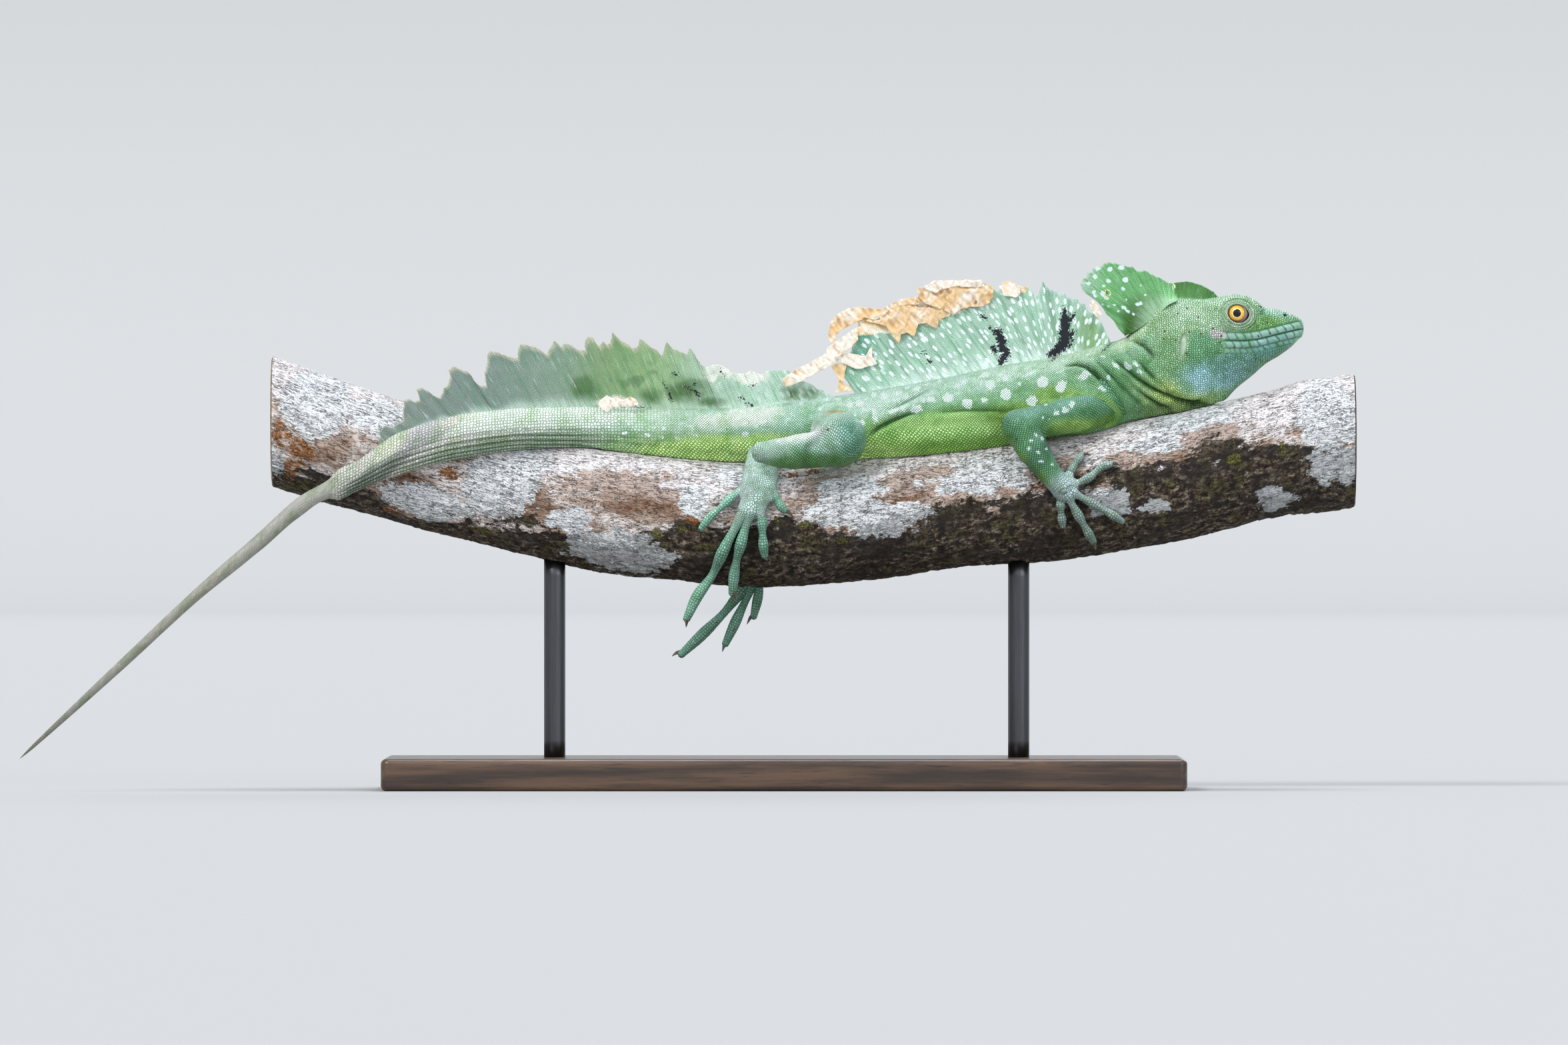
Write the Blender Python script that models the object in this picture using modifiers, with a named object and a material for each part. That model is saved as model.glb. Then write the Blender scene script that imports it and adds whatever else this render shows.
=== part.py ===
"""A male green basilisk lying along a cut length of branch, on a plain display stand.

Life size. X runs along the branch towards the snout, Y points to the animal's left and Z up.
The origin is the middle of the underside of the stand's base. Shapes are worked out in
millimetres and scaled to metres when a mesh is made.
"""

import math

import bmesh
import bpy
import numpy as np
from mathutils import Vector

MM = 0.001
GAP = 0.3  # between nodes that touch
LEFT, RIGHT = 1, -1  # the animal's own sides, along Y

# Cross-sections of head, trunk and tail, each in the plane of constant x:
# x, top, widest level, bottom, half width, middle y, roundness above, roundness below
BODY = (
    (194.4, 174.6, 172.6, 170.6, 1.3, 0, 2.0, 2.0),  # tip of the snout
    (193.2, 176.6, 172.4, 169.0, 3.3, 0, 2.2, 2.0),
    (190.5, 178.2, 172.0, 166.2, 4.9, 0, 2.4, 2.0),  # chin
    (186.0, 179.7, 171.2, 162.8, 6.7, 0, 2.6, 2.0),  # nostrils
    (180.5, 180.9, 170.0, 159.4, 8.4, 0, 2.6, 1.9),
    (176.0, 184.0, 169.0, 155.4, 9.8, 0, 2.4, 1.9),  # front of the brow
    (170.0, 185.8, 168.4, 150.6, 11.4, 0, 2.3, 1.8),  # eyes
    (164.0, 184.8, 168.4, 145.2, 12.8, 0, 2.1, 1.8),  # corner of the mouth
    (157.0, 184.0, 166.0, 142.2, 13.9, 0, 1.7, 1.8),
    (149.0, 184.6, 162.5, 141.2, 14.2, 0, 1.5, 1.9),  # ears
    (141.0, 183.0, 158.5, 140.6, 13.2, 0, 1.5, 2.0),  # back of the skull
    (134.0, 175.4, 155.0, 139.6, 12.4, 0, 1.7, 2.2),
    (128.0, 169.6, 152.0, 138.2, 12.6, 0, 1.9, 2.3),  # nape
    (118.0, 166.4, 149.0, 136.0, 14.6, 0, 1.9, 2.4),  # shoulders
    (101.0, 162.0, 145.0, 131.4, 17.0, 0, 1.8, 2.6),
    (81.0, 158.8, 141.5, 127.6, 18.6, 0, 1.7, 2.8),
    (56.0, 153.6, 138.0, 124.8, 19.4, 0, 1.7, 2.8),  # belly
    (31.0, 149.2, 135.5, 123.4, 17.4, 0, 1.8, 2.6),
    (6.0, 145.6, 133.5, 122.8, 13.0, 0, 1.9, 2.4),  # hips
    (-19.0, 143.0, 132.0, 122.5, 10.6, 0, 2.0, 2.2),
    (-44.0, 142.8, 132.5, 124.2, 8.8, 0, 2.0, 2.0),
    (-69.0, 143.4, 134.5, 127.0, 7.5, -1.5, 2.0, 2.0),
    (-94.0, 143.0, 134.8, 127.4, 6.9, -13.0, 2.0, 2.0),  # tail leaves the ridge of the branch
    (-119.0, 140.6, 132.4, 124.4, 6.3, -24.0, 2.0, 2.0),
    (-144.0, 133.4, 125.6, 118.0, 5.5, -28.6, 2.0, 2.0),
    (-160.0, 122.6, 117.0, 111.6, 4.7, -30.0, 2.0, 2.0),
    (-167.6, 118.4, 113.5, 108.6, 4.2, -31.0, 2.0, 2.0),  # ragged collar
    (-168.6, 117.2, 113.1, 109.0, 3.5, -31.1, 2.0, 2.0),  # regrown tail starts thinner
    (-181.5, 109.2, 105.4, 101.6, 3.1, -32.8, 2.0, 2.0),
    (-194.0, 97.9, 94.3, 90.7, 2.7, -34.5, 2.0, 2.0),
    (-219.0, 75.7, 73.0, 70.3, 2.1, -39.0, 2.0, 2.0),
    (-244.0, 51.9, 49.6, 47.3, 1.6, -44.0, 2.0, 2.0),
    (-269.0, 27.7, 26.3, 24.9, 1.0, -49.5, 2.0, 2.0),
    (-284.2, 12.7, 12.2, 11.7, 0.45, -53.0, 2.0, 2.0),
)

# Where thin cuts part the body: node, its front x, its back x, length of one ring, sides
BODY_NODES = (
    ("neck", 131.5, 111.0, 5.0, 22),
    ("torso", 111.0, 12.0, 7.6, 22),
    ("tail_base", 12.0, -60.0, 9.0, 18),
    ("tail_upper", -60.0, -116.0, 8.0, 14),
    ("tail_lower", -116.0, -168.1, 6.5, 12),
    ("tail_hanging", -168.1, -228.0, 10.0, 10),
    ("tail_tip", -228.0, -284.2, 9.0, 8),
)
HEAD_BACK = 131.5
FLESH_END = -170.0  # the tail hangs free of the branch behind this x

# Angles round a head ring, from the crown; the mouth line runs along the one at 90 degrees
HEAD_ANGLES = (0, 18, 34, 50, 66, 78, 86, 90, 94, 102, 114, 128, 144, 162, 180)
MOUTH_CORNER, MOUTH_DEPTH, LIP_SWELL = 163.5, 0.9, 0.45

EYE_X, EYE_Y, EYE_Z, EYE_RADIUS = 169.6, 6.6, 178.4, 4.4
LID_LONG, LID_HIGH, LID_THICK, LID_Y = 5.7, 4.7, 0.9, 9.2
LID_HOOD, LID_FORWARD = 1.2, 0.4  # the upper lid's swelling, and the ring's offset from the eye
LID_SLANT = (0.16, 0.22)  # how far the ring leans in at the front and at the top
NOSTRIL_X, NOSTRIL_Y, NOSTRIL_Z, NOSTRIL_RADIUS = 187.8, 4.7, 178.0, 0.75
EAR_X, EAR_Y, EAR_Z = 149.4, 13.8, 166.4
EAR_LONG, EAR_DEEP, EAR_HIGH = 2.0, 1.6, 4.0

# Cut length of branch: x, height of its middle, radius
BRANCH = (
    (-192.0, 138.0, 24.4),
    (-169.0, 130.2, 24.2),
    (-144.0, 122.2, 23.6),
    (-119.0, 115.6, 23.2),
    (-94.0, 109.2, 23.0),
    (-69.0, 104.6, 23.3),
    (-44.0, 101.3, 23.7),
    (-19.0, 99.3, 24.0),
    (6.0, 99.8, 24.0),
    (31.0, 102.2, 24.0),
    (56.0, 105.0, 24.0),
    (81.0, 107.7, 24.2),
    (106.0, 110.3, 24.3),
    (131.0, 114.1, 24.4),
    (156.0, 119.1, 24.3),
    (181.0, 124.5, 24.6),
    (198.0, 128.4, 25.6),  # low swelling on top
    (214.0, 130.6, 25.0),
)
BRANCH_SIDES, BRANCH_STEP, BRANCH_LUMP = 16, 16.0, 0.011

# Rim of the sail on the back, from the nape to the hips: x, z, and the ray's lean back in degrees
BACK_RIM = (
    (121.0, 168.5, 4),
    (118.4, 174.6, 4),
    (114.2, 179.6, 5),
    (108.0, 183.6, 6),
    (102.0, 186.6, 8),
    (96.0, 188.6, 10),
    (88.0, 188.6, 13),
    (80.0, 187.8, 17),
    (73.0, 190.6, 20),  # dry skin from here back
    (62.0, 191.0, 25),
    (54.0, 188.8, 30),
    (47.0, 185.2, 33),
    (40.0, 182.4, 34),
    (30.0, 180.6, 34),
    (24.4, 178.0, 34),
    (22.4, 172.0, 31),
    (22.8, 164.0, 24),
    (23.5, 157.0, 14),
    (23.2, 150.2, 2),
)
BACK_COLUMNS, DRY_FRONT = 49, 76.0
# Each tooth of the fin on the tail, from the hips back: its tip and the notch behind it
TAIL_TEETH = (
    ((4.5, 156.2), (3.0, 154.6)),
    ((-4.0, 157.4), (-6.6, 155.3)),
    ((-12.0, 157.4), (-14.2, 155.6)),
    ((-24.5, 159.6), (-26.5, 157.9)),
    ((-35.5, 165.6), (-37.6, 163.0)),
    ((-43.7, 167.8), (-45.2, 162.2)),
    ((-53.4, 168.9), (-54.8, 163.9)),
    ((-64.5, 171.3), (-66.2, 166.2)),
    ((-74.0, 169.7), (-75.6, 163.9)),
    ((-85.5, 168.3), (-88.2, 163.8)),
    ((-98.8, 166.4), (-100.4, 160.6)),
    ((-110.8, 164.0), (-112.3, 152.0)),
    ((-124.4, 158.0), (-128.6, 146.6)),
    ((-137.2, 150.4), (-136.8, 144.0)),
    ((-142.0, 146.3), (-142.0, 138.0)),
    ((-149.5, 135.8), (-150.4, 133.6)),
)
TAIL_FIN_FRONT = (17.5, 149.0)
RAY_SHARE, WEB_SHARE = 0.38, 0.7  # where a tooth's lesser ray and its web lie up its front edge
TAIL_LEAN = ((-150, 42), (-100, 28), (-50, 21), (15, 28))  # x, the rays' lean back in degrees
# Strips of dead skin behind the sail: name, middle line, half height, sway, points
DRY_STRIPS = (
    (
        "dry_strip",
        (
            (33, 0, 177.6),
            (25, -0.6, 177.8),
            (19.0, -1.5, 174.4),
            (18.8, -2.4, 169.0),
            (17.8, -3.2, 164.2),
            (12, -4.8, 159.8),
            (5, -6.0, 155.4),
            (-1.5, -6.5, 152.0),
        ),
        1.9,
        0.7,
        17,
    ),
    ("dry_stalk", ((18.6, -2.6, 162), (21.0, -1.4, 156), (21.8, 0, 148)), 1.1, 0.2, 5),
)
BACK_NOTCH, BACK_JAG = 2.4, 0.9  # depth of the teeth in front, and how uneven the rim is
SAIL_RIPPLE, DRY_RIPPLE = 0.7, 1.1
SAIL_SUNK = 3.0  # how far a ray starts under the skin, before it is trimmed to the back
RAY_THICK, WEB_THICK, RIM_THICK = 1.7, 1.0, 0.5

# Outlines of the two plates on the head, from the nape forwards: (x, z)
CREST_ROOT = ((127.5, 168), (131, 171), (136, 174), (141, 179), (146, 181), (150, 181.5))
CREST_RIM = (
    (125.4, 172.2),
    (119.6, 179.0),
    (114.6, 185.6),
    (111.3, 189.4),
    (113.4, 193.0),
    (117.4, 196.2),
    (123.0, 197.4),
    (130.0, 196.2),
    (136.5, 193.6),
    (142.5, 190.8),
    (147.5, 188.6),
    (151.5, 185.6),
)
BROW_ROOT = ((143.6, 181), (149, 181.5), (155, 181), (161, 181.5))
BROW_RIM = (
    (143.4, 188.4),
    (147.0, 190.4),
    (152.0, 190.6),
    (156.5, 189.0),
    (160.4, 186.6),
    (163.0, 184.0),
)
PLATE_NICK = 0.7
CREST_COLUMNS, CREST_THICK = 21, 4.4
BROW_COLUMNS, BROW_THICK = 11, 3.2
BROW_MIDDLE, BROW_ROOM = (153.4, 184.0), (1.035, 1.08)  # the low plate grown, to cut the tall one

# Stand
BASE_LONG, BASE_DEEP, BASE_HIGH, BASE_BEVEL = 300.0, 112.0, 12.0, 2.0
ROD_RADIUS, ROD_PLACES = 4.0, {"front": 88.0, "back": -86.0}

COLOURS = {
    "skin_green": (0.20, 0.42, 0.13),
    "skin_pale": (0.36, 0.55, 0.36),
    "skin_grey": (0.33, 0.30, 0.25),
    "eye": (0.85, 0.50, 0.06),
    "bark": (0.40, 0.35, 0.29),
    "stand_wood": (0.10, 0.07, 0.05),
    "stand_metal": (0.10, 0.10, 0.11),
}
FINISHES = {"eye": (0.1, 0.0), "bark": (0.9, 0.0), "stand_wood": (0.4, 0.0), "stand_metal": (0.35, 1.0)}
SKIN_FINISH = (0.6, 0.0)  # roughness, metallic


def smooth_rows(stations, x):
    """Every column of the stations at each x, by cubics that never swing past the stations."""
    rows = np.asarray(stations, float)
    rows = rows[np.argsort(rows[:, 0])]
    at, values = rows[:, 0], rows[:, 1:]
    step = np.diff(at)[:, None]
    slope = np.diff(values, axis=0) / step
    before, after = slope[:-1], slope[1:]
    weight_a, weight_b = 2 * step[1:] + step[:-1], step[1:] + 2 * step[:-1]
    turning = before * after <= 0
    safe_before, safe_after = np.where(turning, 1, before), np.where(turning, 1, after)
    mean = (weight_a + weight_b) / (weight_a / safe_before + weight_b / safe_after)
    tangent = np.vstack([slope[:1], np.where(turning, 0, mean), slope[-1:]])
    x = np.atleast_1d(np.asarray(x, float))
    i = np.clip(np.searchsorted(at, x) - 1, 0, len(at) - 2)
    t = ((x - at[i]) / step[i, 0])[:, None]
    h = step[i]
    return (
        values[i] * (1 + 2 * t) * (1 - t) ** 2
        + tangent[i] * h * t * (1 - t) ** 2
        + values[i + 1] * t * t * (3 - 2 * t)
        + tangent[i + 1] * h * t * t * (t - 1)
    )


def smooth_path(points, count):
    """A round curve through the points, sampled evenly by its length."""
    p = np.array(points, float)
    knots = np.concatenate([[0], np.cumsum(np.linalg.norm(np.diff(p, axis=0), axis=1))])
    fine = smooth_rows(np.column_stack([knots, p]), np.linspace(0, knots[-1], 12 * len(p)))
    along = np.concatenate([[0], np.cumsum(np.linalg.norm(np.diff(fine, axis=0), axis=1))])
    wanted = np.linspace(0, along[-1], count)
    return np.column_stack([np.interp(wanted, along, fine[:, k]) for k in range(p.shape[1])])


def body_ring(x, angles, grow=0.0):
    """The points round the body at one x. Angle 0 is the top, and 90 degrees is the right side."""
    top, wide, bottom, half, middle, above, below = smooth_rows(BODY, x)[0]
    c, s = np.cos(angles), np.sin(angles)
    power = np.where(c >= 0, 2 / above, 2 / below)
    reach = np.where(c >= 0, top - wide + grow, wide - bottom + grow)
    y = middle - (half + grow) * np.sign(s) * np.abs(s) ** power
    z = wide + reach * np.sign(c) * np.abs(c) ** power
    return np.column_stack([np.full_like(y, x), y, z])


def top_of_body(x):
    """The height of the line of the back, and the body's middle y, at x."""
    row = smooth_rows(BODY, x)
    return row[:, 0], row[:, 4]


def branch_at(x):
    """The height of the branch's middle and its radius at x."""
    return smooth_rows(BRANCH, x)[0]


def on_branch(x, z, side, lift):
    """A point beside the branch at x and z, lift clear of the bark. It hangs straight further down."""
    middle, radius = branch_at(x)
    share = np.clip((z - middle) / (radius + lift), -0.74, 0.94)
    return (x, side * (radius + lift) * math.sqrt(1 - share * share), z)


def mesh_object(name, points, faces):
    """A mesh object in metres from points in millimetres."""
    mesh = bpy.data.meshes.new(name)
    mesh.from_pydata([Vector(p) * MM for p in points], [], [tuple(map(int, f)) for f in faces])
    obj = bpy.data.objects.new(name, mesh)
    bpy.context.scene.collection.objects.link(obj)
    return obj


def loft(name, rings):
    """A closed skin over a row of rings, with flat ends."""
    rings = np.asarray(rings, float)
    count, sides = rings.shape[:2]
    index = np.arange(count * sides).reshape(count, sides)
    turned = np.roll(index, -1, axis=1)
    faces = [
        (index[i, j], turned[i, j], turned[i + 1, j], index[i + 1, j])
        for i in range(count - 1)
        for j in range(sides)
    ]
    faces += [tuple(index[0][::-1]), tuple(index[-1])]
    obj = mesh_object(name, rings.reshape(-1, 3), faces)
    face_out(obj)
    return obj


def face_out(obj):
    """Turns every face of a closed mesh outwards."""
    bm = bmesh.new()
    bm.from_mesh(obj.data)
    bmesh.ops.recalc_face_normals(bm, faces=bm.faces)
    bm.to_mesh(obj.data)
    bm.free()


def tube(name, points, radii, sides, count, facing=(0.0, 1.0, 0.0), thin=None, caps=(66, 33)):
    """A limb or digit: rings along a smooth path, with round ends. thin is a half depth of its own."""
    path = smooth_path(points, count)
    radius = np.interp(np.linspace(0, 1, count), np.linspace(0, 1, len(radii)), radii)
    tangent = np.gradient(path, axis=0)
    tangent /= np.linalg.norm(tangent, axis=1)[:, None]
    turn = np.radians(caps)
    before = path[0] - np.outer(np.sin(turn) * radius[0], tangent[0])
    after = path[-1] + np.outer(np.sin(turn[::-1]) * radius[-1], tangent[-1])
    shrink = np.concatenate([np.cos(turn), np.ones(count), np.cos(turn[::-1])])
    path = np.vstack([before, path, after])
    radius = np.pad(radius, len(caps), mode="edge") * shrink
    tangent = np.pad(tangent, ((len(caps), len(caps)), (0, 0)), mode="edge")
    depth = radius if thin is None else thin * shrink
    around = np.linspace(0, 2 * math.pi, sides, endpoint=False)
    normal, rings = np.array(facing, float), []
    for place, r, d, t in zip(path, radius, depth, tangent):
        normal = normal - t * normal.dot(t)
        normal /= np.linalg.norm(normal)
        across = np.cross(t, normal)
        rings.append(place + np.outer(np.cos(around) * d, normal) + np.outer(np.sin(around) * r, across))
    return loft(name, rings)


def largest_body(obj):
    """Keeps only the closed surface with the largest volume."""
    bm = bmesh.new()
    bm.from_mesh(obj.data)
    left, bodies = set(bm.faces), []
    while left:
        queue, group = [left.pop()], []
        while queue:
            face = queue.pop()
            group.append(face)
            for edge in face.edges:
                for near in edge.link_faces:
                    if near in left:
                        left.remove(near)
                        queue.append(near)
        bodies.append(group)

    def volume(group):
        total = 0.0
        for face in group:
            corners = [v.co for v in face.verts]
            for b, c in zip(corners[1:-1], corners[2:]):
                total += corners[0].dot(b.cross(c))
        return abs(total)

    keep = set(max(bodies, key=volume))
    bmesh.ops.delete(bm, geom=[f for f in bm.faces if f not in keep], context="FACES")
    bmesh.ops.delete(bm, geom=[v for v in bm.verts if not v.link_faces], context="VERTS")
    bm.to_mesh(obj.data)
    bm.free()


def combine(obj, others, operation):
    """One Boolean on a collection of closed meshes, applied. Joined pieces are then removed."""
    group = bpy.data.collections.new("operands")
    for other in others:
        group.objects.link(other)
    step = obj.modifiers.new(operation, "BOOLEAN")
    step.operation = operation
    step.operand_type = "COLLECTION"
    step.collection = group
    step.solver = "EXACT"
    graph = bpy.context.evaluated_depsgraph_get()
    mesh = bpy.data.meshes.new_from_object(obj.evaluated_get(graph))
    obj.modifiers.remove(step)
    obj.data = mesh
    bpy.data.collections.remove(group)
    if operation == "UNION":
        for other in others:
            bpy.data.objects.remove(other)


def node(name, slot, pieces, cutters=()):
    """A finished node: its pieces joined, cut clear of its neighbours, kept to one closed body."""
    obj = pieces[0]
    if len(pieces) > 1:
        combine(obj, pieces[1:], "UNION")
    for cutter in cutters:
        combine(obj, [cutter], "DIFFERENCE")
    largest_body(obj)
    obj.name = name
    obj.data.name = name
    obj.data.materials.clear()
    obj.data.materials.append(bpy.data.materials[slot])
    obj.data.shade_smooth()
    move_to("green_basilisk", obj)
    return obj


def move_to(group, obj):
    """Puts an object in one collection only."""
    for old in list(obj.users_collection):
        old.objects.unlink(obj)
    bpy.data.collections[group].objects.link(obj)


def hide_cutter(obj):
    """Moves a cutter to its own collection, out of the render."""
    obj.hide_render = True
    obj.display_type = "WIRE"
    move_to("cutters", obj)
    return obj


def make_materials():
    """One plain material for each finish."""
    for slot, colour in COLOURS.items():
        material = bpy.data.materials.new(slot)
        material.use_nodes = True
        shader = material.node_tree.nodes["Principled BSDF"]
        shader.inputs["Base Color"].default_value = (*colour, 1)
        roughness, metallic = FINISHES.get(slot, SKIN_FINISH)
        shader.inputs["Roughness"].default_value = roughness
        shader.inputs["Metallic"].default_value = metallic


def ring_places(front, back, step):
    """Where the rings of one length of the body stand, half a gap inside its two cuts."""
    count = max(2, round((front - back) / step) + 1)
    return np.linspace(front - GAP / 2, back + GAP / 2, count)


def head_ring_places():
    """Where the rings of the head stand, closer together over the snout and face."""
    snout, face = np.linspace(194.4, 190.5, 4), np.linspace(188.0, 164.0, 11)
    return np.concatenate([snout, face, np.linspace(160.8, HEAD_BACK + GAP / 2, 10)])


def body_clearance():
    """The whole body grown by the gap, which trims what grows from it."""
    angles = np.linspace(0, 2 * math.pi, 32, endpoint=False)
    ridden = [row for row in BODY_NODES if row[2] > FLESH_END]
    places = [head_ring_places()[3:]] + [ring_places(*row[1:4]) for row in ridden]
    rings = [body_ring(x, angles, GAP) for x in np.concatenate(places)]
    return hide_cutter(loft("body_clearance", rings))


def branch_rings(grow=0.0, overrun=0.0):
    """Rings along the branch. Low bumps run round and along it."""
    front, back = BRANCH[-1][0], BRANCH[0][0]
    count = round((front - back) / BRANCH_STEP) + 1
    turn = np.linspace(0, 2 * math.pi, BRANCH_SIDES, endpoint=False)
    rings = []
    for x in np.linspace(back, front, count):
        middle, radius = branch_at(x)
        waves = BRANCH_LUMP * (1 + np.sin(3 * turn + x / 17) + np.sin(5 * turn - x / 9))
        r = radius * (1 - waves) + grow
        rings.append(np.column_stack([np.full_like(r, x), r * np.sin(turn), middle + r * np.cos(turn)]))
    rings[0][:, 0] -= overrun
    rings[-1][:, 0] += overrun
    return rings


def mirrored(make):
    """The pieces that a function of side makes on both sides."""
    return [piece for side in (LEFT, RIGHT) for piece in make(side)]


def eyelids(side):
    """A raised ring round one eye, set in the skin."""
    turn = np.linspace(0, 2 * math.pi, 16, endpoint=False)
    small = np.linspace(0, 2 * math.pi, 5, endpoint=False)
    rings = []
    for a in turn:
        outward = np.array([math.cos(a), 0, math.sin(a)])
        upper = max(0.0, math.sin(a))
        hood = LID_HOOD * upper**2
        slope = LID_SLANT[0] * LID_LONG * math.cos(a) + LID_SLANT[1] * LID_HIGH * upper
        centre = np.array(
            [
                EYE_X + LID_FORWARD + LID_LONG * math.cos(a),
                side * (LID_Y - slope),
                EYE_Z + LID_HIGH * math.sin(a) + 0.3 * hood,
            ]
        )
        thick = LID_THICK * (1 + 0.25 * hood)
        rings.append(
            centre
            + np.outer(np.cos(small) * thick, outward)
            + np.outer(np.sin(small) * thick, (0, side, 0))
        )
    rings = np.asarray(rings)
    count, sides = rings.shape[:2]
    index = np.arange(count * sides).reshape(count, sides)
    along, round_ = np.roll(index, -1, axis=0), np.roll(index, -1, axis=1)
    both = np.roll(along, -1, axis=1)
    faces = np.stack([index, round_, both, along], axis=-1).reshape(-1, 4)
    ring = mesh_object("lid", rings.reshape(-1, 3), faces)
    face_out(ring)
    return [ring]


def ball(name, centre, scale, segments=16, rings=10):
    """An ellipsoid from a UV sphere, its scale applied."""
    bpy.ops.mesh.primitive_uv_sphere_add(
        segments=segments, ring_count=rings, radius=1, location=(0, 0, 0)
    )
    obj = bpy.context.object
    obj.name = name
    size = np.array(scale, float) * MM
    for v in obj.data.vertices:
        v.co = Vector([c * s for c, s in zip(v.co, size)]) + Vector(centre) * MM
    return obj


def head_hollows(side):
    """Cutters for one eye socket, nostril and ear."""
    socket = EYE_RADIUS + GAP
    return [
        hide_cutter(ball("socket", (EYE_X, side * EYE_Y, EYE_Z), (socket,) * 3, 12, 8)),
        hide_cutter(
            ball("nostril", (NOSTRIL_X, side * NOSTRIL_Y, NOSTRIL_Z), (NOSTRIL_RADIUS,) * 3, 6, 4)
        ),
        hide_cutter(
            ball("ear_cup", (EAR_X, side * EAR_Y, EAR_Z), (EAR_LONG, EAR_DEEP, EAR_HIGH), 10, 6)
        ),
    ]


def head_ring(x):
    """A ring of the head, with the mouth line pressed in between two lips."""
    half = np.radians(HEAD_ANGLES)
    angles = np.concatenate([half, (2 * math.pi - half[1:-1])[::-1]])
    ring = body_ring(x, angles)
    from_mouth = np.abs(np.degrees(np.minimum(angles, 2 * math.pi - angles)) - 90)
    open_share = np.clip((x - MOUTH_CORNER) / 4, 0, 1)
    push = LIP_SWELL * np.exp(-(((from_mouth - 6) / 4) ** 2)) - MOUTH_DEPTH * (from_mouth < 1)
    sideways = np.sign(ring[:, 1]) * push * open_share
    ring[:, 1] += sideways * np.clip(np.abs(ring[:, 1]) / 3, 0, 1)
    return ring


def make_head(cutters):
    """Head with brow, lids, lips, mouth line, nostrils and ear cups, and two eyes."""
    head = loft("head", [head_ring(x) for x in head_ring_places()])
    hollows = mirrored(head_hollows)
    node("head", "skin_green", [head] + mirrored(eyelids), hollows + cutters)
    for side, word in ((LEFT, "left"), (RIGHT, "right")):
        eye = ball("eye", (EYE_X, side * EYE_Y, EYE_Z), (EYE_RADIUS,) * 3, 12, 8)
        node(f"eye_{word}", "eye", [eye])


def make_body(cutters):
    """Neck, torso and the lengths of the tail."""
    for name, front, back, step, sides in BODY_NODES:
        slot = "skin_green" if back > FLESH_END else "skin_grey"
        angles = np.linspace(0, 2 * math.pi, sides, endpoint=False)
        part = loft(name, [body_ring(x, angles) for x in ring_places(front, back, step)])
        node(name, slot, [part], cutters if back > FLESH_END else ())


def fin(name, roots, tips, thick, ripple, rows=5):
    """A closed fin of rays and webs. Both faces are split into triangles alike."""
    share = np.linspace(0, 1, rows)[:, None, None]
    middle = roots * (1 - share) + tips * share
    share = share[:, :, 0]
    half = 0.5 * (thick * (1 - share**1.4) + RIM_THICK * share**1.4)
    middle[:, :, 1] += ripple * share
    left, right = middle.copy(), middle.copy()
    left[:, :, 1] += half
    right[:, :, 1] -= half
    columns = middle.shape[1]
    index = np.arange(rows * columns).reshape(rows, columns)
    offset = rows * columns
    faces = []
    for i in range(rows - 1):
        for j in range(columns - 1):
            a, b, c, d = index[i, j], index[i, j + 1], index[i + 1, j + 1], index[i + 1, j]
            faces += [(a, b, c), (a, c, d)]
            faces += [(a + offset, c + offset, b + offset), (a + offset, d + offset, c + offset)]
    rim = np.concatenate([index[0], index[1:, -1], index[-1][::-1][1:], index[1:-1, 0][::-1]])
    for a, b in zip(rim, np.roll(rim, -1)):
        faces += [(a, b + offset, b), (a, a + offset, b + offset)]
    obj = mesh_object(name, np.concatenate([left.reshape(-1, 3), right.reshape(-1, 3)]), faces)
    face_out(obj)
    return obj


def ray_ends(x, z, lean):
    """Where the rays that end at x and z start under the skin of the back, and their tips."""
    slant = np.tan(np.radians(lean))
    root_x = x.copy()
    for _ in range(6):
        top, middle = top_of_body(root_x)
        root_x = x + slant * (z - top)
    top, middle = top_of_body(root_x)
    tips = np.column_stack([x, middle, z])
    roots = np.column_stack([root_x + slant * SAIL_SUNK, middle, top - SAIL_SUNK])
    return roots, tips


def make_back_sail(cutters):
    """The sail on the back: rays as ridges, small teeth in front, a dry and ragged margin behind."""
    x, z, lean = smooth_path(BACK_RIM, BACK_COLUMNS).T
    web = np.arange(BACK_COLUMNS) % 2 == 0
    dry = np.clip((DRY_FRONT - x) / 4, 0, 1)
    step = np.arange(BACK_COLUMNS)
    notch = BACK_NOTCH * (1 - 0.6 * dry) * np.clip((z - 168) / 8, 0, 1)
    z = z - np.where(web, notch, 0) + BACK_JAG * np.sin(step * 2.3) * (1 - dry)
    roots, tips = ray_ends(x, z, lean)
    ripple = SAIL_RIPPLE * np.sin(x / 6.0) + DRY_RIPPLE * dry * np.sin(step * 1.7)
    sail = fin("back_sail", roots, tips, np.where(web, WEB_THICK, RAY_THICK), ripple)
    node("back_sail", "skin_pale", [sail] + dry_strips(), cutters)


def dry_strips():
    """Curled strips of dead skin that hang behind the sail."""
    strips = []
    for name, outline, high, sway, count in DRY_STRIPS:
        path = smooth_path(outline, count)
        step = np.arange(count)
        path[:, 1] += sway * np.sin(step * 1.9)
        along = np.gradient(path, axis=0)
        across = np.column_stack([-along[:, 2], 0 * step, along[:, 0]])
        across *= -(high * (1 + 0.25 * np.sin(step * 2.7)) / np.linalg.norm(across, axis=1))[:, None]
        across[[0, -1]] *= 0.5
        thick = np.full(count, 1.1)
        strips.append(fin(name, path - across, path + across, thick, sway * np.cos(step * 1.3), 3))
    return strips


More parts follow.
